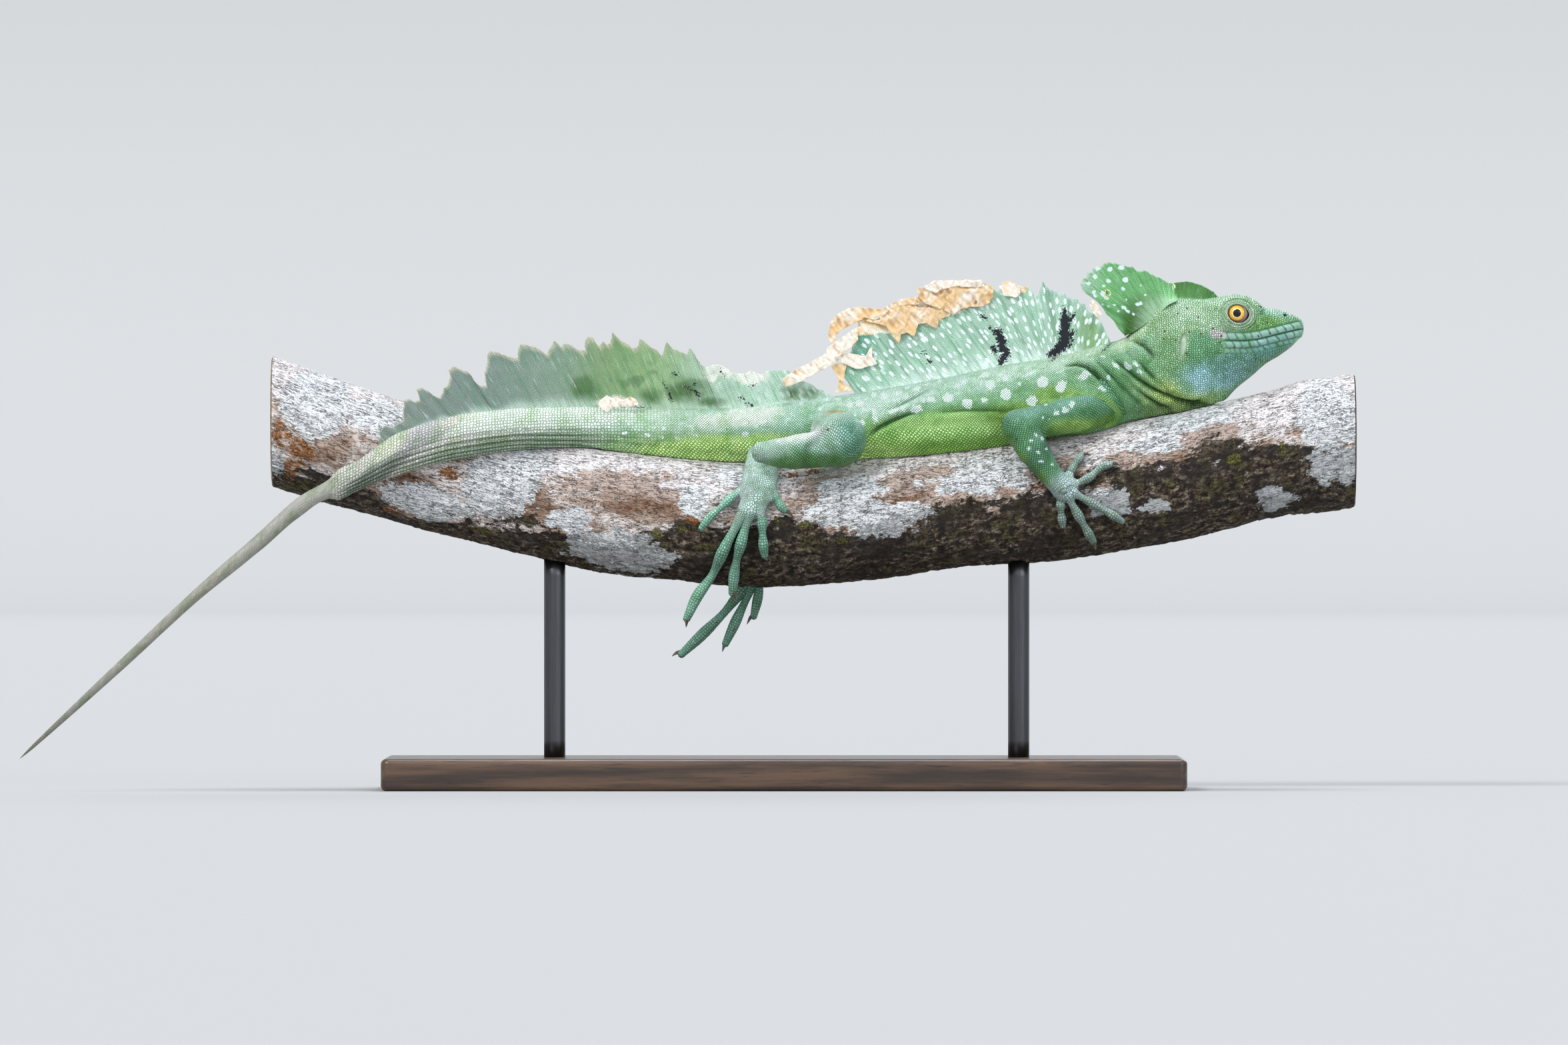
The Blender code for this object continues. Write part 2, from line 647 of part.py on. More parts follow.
def make_tail_sail(cutters):
    """The tall fin on the tail, cut into backward teeth, with a ray at each tooth and between."""
    rim, webs, notch = [TAIL_FIN_FRONT], [True], np.array(TAIL_FIN_FRONT)
    for tip, next_notch in TAIL_TEETH:
        rise = np.array(tip) - notch
        rim += [notch + RAY_SHARE * rise, notch + WEB_SHARE * rise, tip, next_notch]
        webs += [False, True, False, True]
        notch = np.array(next_notch)
    x, z = np.array(rim).T
    roots, tips = ray_ends(x, z, np.interp(x, *zip(*TAIL_LEAN)))
    thick = np.where(webs, WEB_THICK, RAY_THICK)
    sail = fin("tail_sail", roots, tips, thick, 0.9 * np.sin(x / 11.0), 4)
    node("tail_sail", "skin_pale", [sail], cutters)


def plate(name, root, rim, count, base_thick):
    """A flat lobe between a root line and a rim, thick at the root and thin at the rim."""
    roots, tips = (
        np.insert(smooth_path(outline, count), 1, 0.0, axis=1) for outline in (root, rim)
    )
    nicks = np.where(np.arange(count) % 2 == 0, 0.0, PLATE_NICK)
    away = tips - roots
    tips = tips - away / np.linalg.norm(away, axis=1)[:, None] * nicks[:, None]
    return fin(name, roots, tips, np.full(count, base_thick), np.zeros(count), 4)


def make_crests(cutters):
    """The two plates on the head: a tall lobe over the nape and a low one over the brow."""
    brow = plate("brow", BROW_ROOT, BROW_RIM, BROW_COLUMNS, BROW_THICK)
    node("brow_crest", "skin_pale", [brow], cutters)
    room = plate("brow_clearance", BROW_ROOT, BROW_RIM, BROW_COLUMNS, BROW_THICK + 2 * GAP)
    keep_off = hide_cutter(room)
    middle = Vector((BROW_MIDDLE[0], 0, BROW_MIDDLE[1])) * MM
    for v in keep_off.data.vertices:
        away = v.co - middle
        v.co = middle + Vector((away.x * BROW_ROOM[0], away.y, away.z * BROW_ROOM[1]))
    crest = plate("crest", CREST_ROOT, CREST_RIM, CREST_COLUMNS, CREST_THICK)
    node("head_crest", "skin_pale", [crest], [*cutters, keep_off])


# Limbs: for each segment its points as (x, y of the right limb, z), and its radii
ARM = {
    "upper_arm": (
        ((119, -9, 144), (107, -18, 140.0), (96, -23.5, 138.0), (87, -26.0, 136.4)),
        (7.8, 6.9, 6.2, 5.3),
    ),
    "forearm": (
        ((87.4, -26.6, 135.6), (93, -28, 127), (98.8, -28.2, 119), (101.6, -27.8, 115.5)),
        (5.2, 5.9, 5.4, 4.4),
    ),
}
LEG = {
    "thigh": (((17, -6, 133.5), (19.5, -16, 132.5), (21.6, -25, 131.2)), (8.6, 9.6, 9.4)),
    "shank": (
        ((20, -27.5, 128.4), (10, -28, 126.8), (-1, -27.5, 126), (-8.6, -26.5, 127)),
        (7, 6.6, 6, 4.4),
    ),
}
FAR_LEG = {
    "thigh": (((17, -6, 133.5), (19.5, -16, 132.5), (21.6, -25, 130.4)), (8.6, 9.6, 9.2)),
    "shank": (
        ((20, -28, 127.6), (10, -29.5, 121.5), (0, -29.5, 114.5), (-5, -29, 111.5)),
        (7, 6.4, 5.2, 4.4),
    ),
}

# Feet: the palm from wrist or ankle to the digits, with its half widths, and the digits.
# A digit is a row of (x, z) points down the branch's side, its thickness and its claw's tip.
HAND = {
    "palm": (((101.6, 115.4), (104.4, 113.4), (106.4, 111.4)), (3.9, 5.1, 4.4)),
    "digits": (
        (((105.5, 115.5), (108.6, 121.5), (111.8, 125.6)), 1.45, (115.2, 125.0)),
        (((107.0, 113.5), (114.2, 117.0), (119.6, 121.2), (122.6, 121.9)), 1.45, (126.0, 121.2)),
        (((107.5, 111.5), (116.8, 106.2), (123.0, 102.6), (126.4, 100.4)), 1.5, (129.4, 97.8)),
        (((105.5, 110.5), (109.4, 103.6), (113.2, 97.0), (115.8, 92.6)), 1.6, (116.8, 89.0)),
        (((103.0, 111.5), (103.4, 104.6), (104.2, 98.8)), 1.5, (105.4, 95.6)),
    ),
}
FOOT = {
    "palm": (((-9.8, 125.0), (-8.9, 115.5), (-11.4, 104.6)), (3.9, 6.6, 5.6)),
    "digits": (
        (((-6.0, 112.5), (-3.6, 109.6), (-1.6, 106.6), (0.4, 104.4)), 1.6, (4.8, 100.6)),
        (((-9.0, 108.5), (-8.2, 99.5), (-7.8, 92.5), (-7.2, 87.6)), 1.7, (-4.2, 84.8)),
        (((-12.5, 105.0), (-15.8, 93.0), (-18.2, 83.6), (-19.4, 73.6)), 1.8, (-17.8, 69.8)),
        (((-14.5, 105.0), (-22.4, 90.0), (-27.0, 80.0), (-32.4, 72.4), (-36.4, 64.0)), 1.9, (-36.8, 59.8)),
        (((-13.4, 114.5), (-22.0, 107.0), (-28.0, 101.4), (-31.0, 97.6)), 1.5, (-32.8, 94.8)),
    ),
}
FAR_FOOT = {
    "palm": (((-5.2, 110.5), (-5.6, 103.0), (-8.6, 94.0)), (3.9, 6.4, 5.4)),
    "digits": (
        (((-3.0, 101.0), (1.0, 97.0), (4.0, 93.0)), 1.6, (7.6, 90.0)),
        (((-6.0, 96.0), (-8.4, 82.0), (-9.6, 73.0), (-11.4, 64.6)), 1.7, (-14.6, 60.8)),
        (((-9.0, 94.0), (-12.4, 76.0), (-17.6, 64.0), (-22.0, 54.4)), 1.8, (-23.6, 50.4)),
        (((-10.5, 94.0), (-14.8, 77.0), (-21.4, 67.4), (-31.0, 57.6), (-38.6, 50.4)), 1.9, (-43.2, 49.4)),
        (((-10.0, 103.5), (-17.0, 98.0), (-23.0, 93.0), (-26.0, 90.0)), 1.5, (-28.6, 87.0)),
    ),
}
HAND_SHIFT = 3.0  # the left hand holds the branch a little further forward
PALM_THIN, DIGIT_SUNK = 2.7, 1.0
KNUCKLES = (1.15, 1.0, 1.12, 0.92, 1.02, 0.78)  # a digit's radius along its length
CLAW_THICK = (0.55, 0.42)  # of the digit's own, at the claw's root and middle
CLAW_TIP = 0.22
LIMB_SIDES, LIMB_RINGS = 12, 6


def flipped(points, side, shift=0.0):
    """Points of a right limb, put on the given side and moved along x."""
    return [(x + shift, y if side == RIGHT else -y, z) for x, y, z in points]


def foot_pieces(plan, side, shift=0.0):
    """A flat palm with five jointed digits round the branch, each ending in a hooked claw."""
    line, halves = plan["palm"]
    places = [on_branch(x + shift, z, side, PALM_THIN + GAP) for x, z in line]
    pieces = [tube("palm", places, halves, 10, 5, (0, side, 0.2), PALM_THIN)]
    for points, thick, claw in plan["digits"]:
        places = [on_branch(x + shift, z, side, thick + GAP + 0.05) for x, z in points]
        places[0] = on_branch(points[0][0] + shift, points[0][1], side, thick + DIGIT_SUNK)
        radii = [thick * k for k in KNUCKLES]
        pieces.append(tube("digit", places, radii, 6, 2 * len(points) + 1, caps=(45,)))
        tip = np.array(on_branch(claw[0] + shift, claw[1], side, 0.8))
        last = np.array(places[-1])
        bend = (last + tip) / 2 + np.array((0, side, 0.5))
        radii = (*(thick * share for share in CLAW_THICK), CLAW_TIP)
        pieces.append(tube("claw", (last, bend, tip), radii, 5, 4, caps=()))
    return pieces


def make_limb(end, plan, foot, side, shift, cutters):
    """Upper and lower segment and foot. Each is trimmed to the one that it grows from."""
    word = "left" if side == LEFT else "right"
    trims = list(cutters)
    for segment, (points, radii) in plan.items():
        places = flipped(points, side, shift)
        part = tube(segment, places, radii, LIMB_SIDES, LIMB_RINGS)
        node(f"{segment}_{word}", "skin_green", [part], trims)
        roomy = [r + GAP for r in radii]
        grown = tube(f"{segment}_clearance", places, roomy, LIMB_SIDES, LIMB_RINGS)
        trims.append(hide_cutter(grown))
    node(f"{end}_{word}", "skin_green", foot_pieces(foot, side, shift), trims)


def make_stand(perch_cutter):
    """A bevelled base board and two rods up to the underside of the branch."""
    bpy.ops.mesh.primitive_cube_add(size=1)
    base = bpy.context.object
    size = (BASE_LONG, BASE_DEEP, BASE_HIGH)
    for v in base.data.vertices:
        v.co = Vector([c * s * MM for c, s in zip(v.co, size)]) + Vector((0, 0, BASE_HIGH / 2 * MM))
    bevel = base.modifiers.new("edges", "BEVEL")
    bevel.width = BASE_BEVEL * MM
    bevel.segments = 2
    graph = bpy.context.evaluated_depsgraph_get()
    base.data = bpy.data.meshes.new_from_object(base.evaluated_get(graph))
    base.modifiers.clear()
    node("stand_base", "stand_wood", [base]).data.shade_flat()
    for word, x in ROD_PLACES.items():
        top, bottom = branch_at(x)[0], BASE_HIGH + GAP
        bpy.ops.mesh.primitive_cylinder_add(vertices=20, radius=ROD_RADIUS * MM, depth=(top - bottom) * MM)
        rod = bpy.context.object
        for v in rod.data.vertices:
            v.co += Vector((x, 0, (top + bottom) / 2)) * MM
        node(f"stand_rod_{word}", "stand_metal", [rod], [perch_cutter])


def main():
    for obj in list(bpy.data.objects):
        bpy.data.objects.remove(obj)
    for name in ("green_basilisk", "cutters"):
        bpy.context.scene.collection.children.link(bpy.data.collections.new(name))
    make_materials()
    perch = hide_cutter(loft("perch_clearance", branch_rings(GAP, 2.0)))
    body = body_clearance()
    node("perch", "bark", [loft("perch", branch_rings())])
    make_head([perch])
    make_body([perch])
    make_back_sail([body])
    make_tail_sail([body])
    make_crests([body])
    make_limb("hand", ARM, HAND, RIGHT, 0.0, [body, perch])
    make_limb("hand", ARM, HAND, LEFT, HAND_SHIFT, [body, perch])
    make_limb("foot", LEG, FOOT, RIGHT, 0.0, [body, perch])
    make_limb("foot", FAR_LEG, FAR_FOOT, LEFT, 0.0, [body, perch])
    make_stand(perch)


main()
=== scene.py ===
"""The looks of the green basilisk, on its branch and display stand, dressed over the CAD frame.

Life size. X runs along the branch towards the snout, Y to the animal's left and Z up, and the
origin is the middle of the underside of the base. Shapes are worked out in millimetres.
"""

import logging
import math
from dataclasses import dataclass, field
from enum import Enum
from itertools import product
from typing import Callable, Sequence

import bpy
import numpy as np
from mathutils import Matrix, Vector


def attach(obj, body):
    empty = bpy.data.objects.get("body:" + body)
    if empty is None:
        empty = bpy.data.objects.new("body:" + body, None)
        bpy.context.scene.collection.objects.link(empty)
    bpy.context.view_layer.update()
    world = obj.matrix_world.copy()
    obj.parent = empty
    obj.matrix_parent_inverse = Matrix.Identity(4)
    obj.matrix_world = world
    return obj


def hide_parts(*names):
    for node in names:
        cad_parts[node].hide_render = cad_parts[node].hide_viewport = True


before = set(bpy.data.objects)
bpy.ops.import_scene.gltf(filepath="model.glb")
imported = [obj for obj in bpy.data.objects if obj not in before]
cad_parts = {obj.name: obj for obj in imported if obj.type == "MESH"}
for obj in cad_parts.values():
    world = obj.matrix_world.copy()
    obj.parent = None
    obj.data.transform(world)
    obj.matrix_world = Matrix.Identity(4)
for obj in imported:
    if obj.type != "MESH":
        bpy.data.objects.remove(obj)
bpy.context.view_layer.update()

logging.basicConfig(level=logging.INFO, format="%(name)s: %(message)s")
log = logging.getLogger("green_basilisk")

MM = 0.001
TURN = 2 * math.pi
NOWHERE = 9.0  # millimetres to the nearest spot or mark, on a piece that has none
KEELS = 22  # round the tail
BARK_RADIUS = 24  # of the cylinder that the bark is unrolled from
BARK_ROOM = 0.35  # left between the bark and what lies on it
Array = np.ndarray
Colour = tuple[float, float, float]
Socket = bpy.types.NodeSocket
Material = bpy.types.Material
Piece = bpy.types.Object


class Side(Enum):
    """The animal's own sides, along Y."""

    RIGHT = -1
    LEFT = 1

    @property
    def word(self) -> str:
        """The side's name in lower case."""
        return self.name.lower()


class Scales(Enum):
    """Kinds of scale relief, each a channel of the skin's scale map."""

    NET = 0  # small keeled scales in slanting rows, on trunk and limbs
    PEBBLE = 1  # round granules, on head and feet
    BAND = 2  # long narrow scales in rows along the tail, or in rings round a toe


# Cross-sections of head, trunk and tail, each in the plane of constant x:
# x, top, widest level, bottom, half width, middle y, roundness above, roundness below
BODY = (
    (194.4, 174.6, 172.6, 170.6, 1.3, 0, 2, 2),  # tip of the snout
    (193.2, 176.6, 172.4, 169, 3.3, 0, 2.2, 2),
    (190.5, 178.2, 172, 166.2, 4.9, 0, 2.4, 2),  # chin
    (186, 179.7, 171.2, 162.8, 6.7, 0, 2.6, 2),  # nostrils
    (180.5, 180.9, 170, 159.4, 8.4, 0, 2.6, 1.9),
    (176, 184, 169, 155.4, 9.8, 0, 2.4, 1.9),  # front of the brow
    (170, 185.8, 168.4, 150.6, 11.4, 0, 2.3, 1.8),  # eyes
    (164, 184.8, 168.4, 145.2, 12.8, 0, 2.1, 1.8),  # corner of the mouth
    (157, 184, 166, 142.2, 13.9, 0, 1.7, 1.8),
    (149, 184.6, 162.5, 141.2, 14.2, 0, 1.5, 1.9),  # ears
    (141, 183, 158.5, 140.6, 13.2, 0, 1.5, 2),  # back of the skull
    (134, 175.4, 155, 139.6, 12.4, 0, 1.7, 2.2),
    (128, 169.6, 152, 138.2, 12.6, 0, 1.9, 2.3),  # nape
    (118, 166.4, 149, 136, 14.6, 0, 1.9, 2.4),  # shoulders
    (101, 162, 145, 131.4, 17, 0, 1.8, 2.6),
    (81, 158.8, 141.5, 127.6, 18.6, 0, 1.7, 2.8),
    (56, 153.6, 138, 124.8, 19.4, 0, 1.7, 2.8),  # belly
    (31, 149.2, 135.5, 123.4, 17.4, 0, 1.8, 2.6),
    (6, 145.6, 133.5, 122.8, 13, 0, 1.9, 2.4),  # hips
    (-19, 143, 132, 122.5, 10.6, 0, 2, 2.2),
    (-44, 142.8, 132.5, 124.2, 8.8, 0, 2, 2),
    (-69, 143.4, 134.5, 127, 7.5, -1.5, 2, 2),
    (-94, 143, 134.8, 127.4, 6.9, -13, 2, 2),  # tail leaves the ridge of the branch
    (-119, 140.6, 132.4, 124.4, 6.3, -24, 2, 2),
    (-144, 133.4, 125.6, 118, 5.5, -28.6, 2, 2),
    (-160, 122.6, 117, 111.6, 4.7, -30, 2, 2),
    (-167.6, 118.4, 113.5, 108.6, 4.2, -31, 2, 2),  # ragged collar
    (-168.6, 117.2, 113.1, 109, 3.5, -31.1, 2, 2),  # regrown tail starts thinner
    (-181.5, 109.2, 105.4, 101.6, 3.1, -32.8, 2, 2),
    (-194, 97.9, 94.3, 90.7, 2.7, -34.5, 2, 2),
    (-219, 75.7, 73, 70.3, 2.1, -39, 2, 2),
    (-244, 51.9, 49.6, 47.3, 1.6, -44, 2, 2),
    (-269, 27.7, 26.3, 24.9, 1, -49.5, 2, 2),
    (-284.2, 12.7, 12.2, 11.7, 0.45, -53, 2, 2),
)

# Cut length of branch: x, height of its middle, radius
BRANCH = (
    (-192, 138, 24.4),
    (-169, 130.2, 24.2),
    (-144, 122.2, 23.6),
    (-119, 115.6, 23.2),
    (-94, 109.2, 23),
    (-69, 104.6, 23.3),
    (-44, 101.3, 23.7),
    (-19, 99.3, 24),
    (6, 99.8, 24),
    (31, 102.2, 24),
    (56, 105, 24),
    (81, 107.7, 24.2),
    (106, 110.3, 24.3),
    (131, 114.1, 24.4),
    (156, 119.1, 24.3),
    (181, 124.5, 24.6),
    (198, 128.4, 25.6),  # low swelling on top
    (214, 130.6, 25),
)


def smooth_rows(stations: Sequence, at: Array) -> Array:
    """Reads every column of the stations at each x.

    Cubics run through the stations, with slopes that never let them swing past one.

    Args:
        stations: Rows whose first entry is x.
        at: Where to read them.

    Returns:
        One row for each x, without the x.
    """
    rows = np.asarray(stations, float)
    rows = rows[np.argsort(rows[:, 0])]
    x, values = rows[:, 0], rows[:, 1:]
    step = np.diff(x)[:, None]
    slope = np.diff(values, axis=0) / step
    before, after = slope[:-1], slope[1:]
    heavy, light = 2 * step[1:] + step[:-1], step[1:] + 2 * step[:-1]
    turning = before * after <= 0
    mean = (heavy + light) / (heavy / np.where(turning, 1, before) + light / np.where(turning, 1, after))
    tangent = np.vstack([slope[:1], np.where(turning, 0, mean), slope[-1:]])
    at = np.atleast_1d(np.asarray(at, float))
    i = np.clip(np.searchsorted(x, at) - 1, 0, len(x) - 2)
    t = ((at - x[i]) / step[i, 0])[:, None]
    h = step[i]
    return (
        values[i] * (1 + 2 * t) * (1 - t) ** 2
        + tangent[i] * h * t * (1 - t) ** 2
        + values[i + 1] * t * t * (3 - 2 * t)
        + tangent[i + 1] * h * t * t * (t - 1)
    )


def even_path(points: Sequence, count: int, smooth: bool = True) -> Array:
    """Samples a curve through the points evenly by its length.

    Args:
        points: The points that it passes.
        count: Samples.
        smooth: Whether it is rounded between the points, or straight.

    Returns:
        The samples, one a row.
    """
    p = np.asarray(points, float)
    knots = lengths_along(p)
    if smooth:
        fine = smooth_rows(np.column_stack([knots, p]), np.linspace(0, knots[-1], 12 * len(p)))
        knots = lengths_along(fine)
        p = fine
    wanted = np.linspace(0, knots[-1], count)
    return np.column_stack([np.interp(wanted, knots, p[:, k]) for k in range(p.shape[1])])


def lengths_along(points: Array) -> Array:
    """The running length of a row of points, from 0."""
    return np.concatenate([[0.0], np.cumsum(np.linalg.norm(np.diff(points, axis=0), axis=1))])


def ease(value: Array, start: float, end: float) -> Array:
    """Rises smoothly from 0 at start to 1 at end, and start may be the larger."""
    t = np.clip((value - start) / (end - start), 0, 1)
    return t * t * (3 - 2 * t)


def hump(value: Array, middle: float, spread: float) -> Array:
    """A bell of height 1 round middle, exp of minus the squared distance in spreads."""
    return np.exp(-(((value - middle) / spread) ** 2))


def line_at(x: Array, line: Sequence) -> Array:
    """The height of a line of straight parts, given as (x, height) points, at each x."""
    return np.interp(x, *zip(*line))


def ring_angles(count: int) -> Array:
    """Evenly spaced angles round a ring, as one row."""
    return np.linspace(0, TURN, count, endpoint=False)[None, :]


def side_view(x: Array, z: Array) -> Array:
    """Places of a side view, as points for noise."""
    return np.stack([x, z, 0 * x], axis=-1)


def joined(grid: Array) -> Array:
    """A grid with its first column again after its last."""
    return np.concatenate([grid, grid[:, :1]], axis=1)


def between(values: Sequence, count: int) -> Array:
    """Runs smoothly through evenly spaced values."""
    return smooth_rows(list(enumerate(values)), np.linspace(0, len(values) - 1, count))[:, 0]


def toward(tint: Array, share: Array, colour: Sequence) -> Array:
    """Blends the colour of each place towards another colour, by its own share."""
    share = share[..., None]
    return tint * (1 - share) + share * np.asarray(colour)


def noise(points: Array, size: float | Sequence[float], seed: int = 0, octaves: int = 1) -> Array:
    """Soft random waves between about -1 and 1.

    Each corner of a lattice gets a number mixed from its whole-number address, and the eight
    corners round a point are blended smoothly. Each further octave is half as large and strong.

    Args:
        points: Places, (..., 3).
        size: Spacing of the lattice, one for all axes or one for each.
        seed: Picks another set of numbers.
        octaves: How many are added.

    Returns:
        One value for each place.
    """
    total, strength, weight = 0.0, 1.0, 0.0
    for octave in range(octaves):
        p = points * 2.0**octave / np.asarray(size, float)
        cell = np.floor(p).astype(np.int64)
        f = p - cell
        f = f * f * (3 - 2 * f)
        for corner in product((0, 1), repeat=3):
            share = np.prod(np.where(corner, f, 1 - f), axis=-1)
            total = total + strength * share * scramble(cell + np.array(corner), seed + 31 * octave)
        weight += strength
        strength /= 2
    return total / weight


def scramble(cell: Array, seed: int) -> Array:
    """A number from -1 to 1 for each whole-number address, mixed by multiplying and shifting."""
    h = cell[..., 0] * 374761393 + cell[..., 1] * 668265263 + cell[..., 2] * 974634599 + seed * 1274126177
    h = ((h & 0xFFFFFFFF) ^ ((h & 0xFFFFFFFF) >> 13)) * 1274126177 & 0xFFFFFFFF
    return ((h ^ (h >> 16)) & 0xFFFF) / 32767.5 - 1


def off_line(x: Array, z: Array, line: Sequence) -> tuple[Array, Array]:
    """How far places are from a line of straight parts, in side view.

    Args:
        x: Places along the body.
        z: Their heights.
        line: The line's (x, z) points, where a third entry widens the line by that radius.

    Returns:
        The distance less the line's radius, and the share of the line passed at the nearest place.
    """
    pts = np.asarray(line, float)
    radii = pts[:, 2] if pts.shape[1] > 2 else np.zeros(len(pts))
    run = lengths_along(pts[:, :2])
    best, where = np.full(np.shape(x), 1e9), np.zeros(np.shape(x))
    for k in range(len(pts) - 1):
        ax, az = pts[k, :2]
        bx, bz = pts[k + 1, :2] - pts[k, :2]
        t = np.clip(((x - ax) * bx + (z - az) * bz) / max(bx * bx + bz * bz, 1e-9), 0, 1)
        away = np.hypot(x - ax - t * bx, z - az - t * bz) - radii[k] - t * (radii[k + 1] - radii[k])
        nearer = away < best
        best = np.where(nearer, away, best)
        where = np.where(nearer, (run[k] + t * (run[k + 1] - run[k])) / run[-1], where)
    return best, where


def oval(x: Array, z: Array, spot: Sequence[float]) -> Array:
    """The scaled distance from the middle of an ellipse, in side view: 1 on its edge.

    Args:
        x: Places along the body.
        z: Their heights.
        spot: The ellipse's x, z, half length, half height and tilt in degrees.

    Returns:
        The scaled distance of each place.
    """
    cx, cz, long, high, tilt = spot
    c, s = math.cos(math.radians(tilt)), math.sin(math.radians(tilt))
    return np.hypot(((x - cx) * c + (z - cz) * s) / long, ((z - cz) * c - (x - cx) * s) / high)


def off_spots(x: Array, z: Array, spots: Sequence) -> Array:
    """The distance outside the nearest of several ellipses, in side view, and less than 0 inside.

    Args:
        x: Places along the body.
        z: Their heights.
        spots: The ellipses.

    Returns:
        The scaled distance, in millimetres.
    """
    best = np.full(np.shape(x), NOWHERE)
    for spot in spots:
        best = np.minimum(best, (oval(x, z, spot) - 1) * min(spot[2:4]))
    return best


@dataclass
class Patch:
    """One surface on a grid: its points, its flat coordinates in millimetres, and its fields."""

    points: Array  # (rows, columns, 3)
    flat: Array  # (rows, columns, 2), or one column more where it is closed
    fields: dict[str, Array] = field(default_factory=dict)
    closed: bool = True  # whether the last column joins the first
    capped: bool = True  # whether the first and last rows are filled
    ring: bool = False  # whether the last row joins the first
    finish: int | Array = 0  # for the whole patch, or for each row of faces

    def normals(self) -> Array:
        """Outward unit normals, from the cross product of the grid's two directions."""
        along = np.gradient(self.points, axis=0)
        if self.closed:
            around = np.roll(self.points, -1, axis=1) - np.roll(self.points, 1, axis=1)
        else:
            around = np.gradient(self.points, axis=1)
        out = np.cross(along, around)
        out /= np.maximum(np.linalg.norm(out, axis=2), 1e-9)[..., None]
        return out * self.turn()

    def turn(self) -> float:
        """1 where rows x columns faces outwards, else -1, from the sign of the volume."""
        p = self.points
        middle = p.mean(axis=(0, 1))
        along = p[1:] - p[:-1]
        around = np.roll(p, -1, axis=1)[:-1] - p[:-1]
        if not self.closed:
            along, around = along[:, :-1], around[:, :-1]
        here = p[:-1, : along.shape[1]] - middle
        return 1.0 if np.sum(here * np.cross(along, around)) > 0 else -1.0

    def pushed(self, amount: Array) -> None:
        """Moves the surface out along its normals, by an amount for each point."""
        self.points = self.points + self.normals() * amount[..., None]


def mesh_piece(name: str, patches: Sequence[Patch], finishes: Sequence) -> Piece:
    """Makes one object from several patches.

    Every grid cell becomes a face of four corners, wound so that it faces outwards, and a
    capped patch gets one face over its first row and one over its last.

    Args:
        name: The object's name.
        patches: The surfaces.
        finishes: The materials that the patches' finish numbers stand for.

    Returns:
        The object, at the origin.
    """
    loops, flats, starts, kinds, first, corner = [], [], [], [], 0, 0
    for patch in patches:
        rows, columns = patch.points.shape[:2]
        index = first + np.arange(rows * columns).reshape(rows, columns)
        if patch.closed:
            index = np.concatenate([index, index[:, :1]], axis=1)
        flat = patch.flat
        if patch.ring:
            index = np.concatenate([index, index[:1]])
            flat = np.concatenate([flat, flat[:1]])
        turn = patch.turn()
        quads = np.stack([index[:-1, :-1], index[1:, :-1], index[1:, 1:], index[:-1, 1:]], axis=-1)
        places = np.stack([flat[:-1, :-1], flat[1:, :-1], flat[1:, 1:], flat[:-1, 1:]], axis=-2)
        if turn < 0:
            quads, places = quads[..., ::-1], places[..., ::-1, :]
        quads, places = quads.reshape(-1), places.reshape(-1, 2)
        count = len(quads) // 4
        kind = np.broadcast_to(patch.finish, len(index) - 1).astype(int)
        kind = np.repeat(kind, count // len(kind))
        loops.append(quads)
        flats.append(places)
        starts.append(corner + 4 * np.arange(count))
        corner += 4 * count
        if patch.capped and not patch.ring:
            for row, backwards in ((0, turn > 0), (-1, turn < 0)):
                ring, spot = index[row, :columns], flat[row, :columns]
                loops.append(ring if backwards else ring[::-1])
                flats.append(spot if backwards else spot[::-1])
                starts.append(np.array([corner]))
                corner += columns
                kind = np.append(kind, kind[row] if row == 0 else kind[count - 1])
        kinds.append(kind)
        first += rows * columns
    mesh = bpy.data.meshes.new(name)
    points = np.concatenate([patch.points.reshape(-1, 3) for patch in patches]) * MM
    mesh.vertices.add(len(points))
    mesh.vertices.foreach_set("co", points.astype(np.float32).ravel())
    mesh.loops.add(corner)
    mesh.loops.foreach_set("vertex_index", np.concatenate(loops).astype(np.int32))
    order = np.concatenate(starts)
    mesh.polygons.add(len(order))
    mesh.polygons.foreach_set("loop_start", order.astype(np.int32))
    mesh.polygons.foreach_set("material_index", np.concatenate(kinds).astype(np.int32))
    mesh.uv_layers.new(name="flat").data.foreach_set("uv", np.concatenate(flats).astype(np.float32).ravel())
    for key in {key for patch in patches for key in patch.fields}:
        add_field(mesh, key, patches)
    mesh.update(calc_edges=True)
    mesh.validate()
    for finish in finishes:
        mesh.materials.append(finish)
    mesh.shade_smooth()
    obj = bpy.data.objects.new(name, mesh)
    bpy.context.scene.collection.objects.link(obj)
    return obj


def add_field(mesh: bpy.types.Mesh, key: str, patches: Sequence[Patch]) -> None:
    """Adds one named value or colour for each point, 0 where a patch has none."""
    wide = any(patch.fields[key].ndim == 3 for patch in patches if key in patch.fields)
    parts = []
    for patch in patches:
        count = patch.points.shape[0] * patch.points.shape[1]
        value = patch.fields.get(key)
        if wide:
            part = np.ones((count, 4))
            part[:, :3] = 0 if value is None else value.reshape(-1, 3)
        else:
            part = np.zeros(count) if value is None else value.reshape(-1)
        parts.append(part)
    layer = mesh.attributes.new(key, "FLOAT_COLOR" if wide else "FLOAT", "POINT")
    layer.data.foreach_set("color" if wide else "value", np.concatenate(parts).astype(np.float32).ravel())


def place_piece(obj: Piece, nodes: Sequence[str] = ()) -> None:
    """Attaches a piece to the root part, and hides the CAD nodes that it stands for.

    Args:
        obj: The piece.
        nodes: Names of CAD nodes that it replaces.
    """
    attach(obj, "root")
    if nodes:
        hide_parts(*nodes)
    log.info("%s: %d faces", obj.name, len(obj.data.polygons))


def per(pitch: Sequence[float]) -> tuple[float, float, float]:
    """The scale at which a pattern of unit size has this pitch."""
    return 1 / pitch[0], 1 / pitch[1], 1


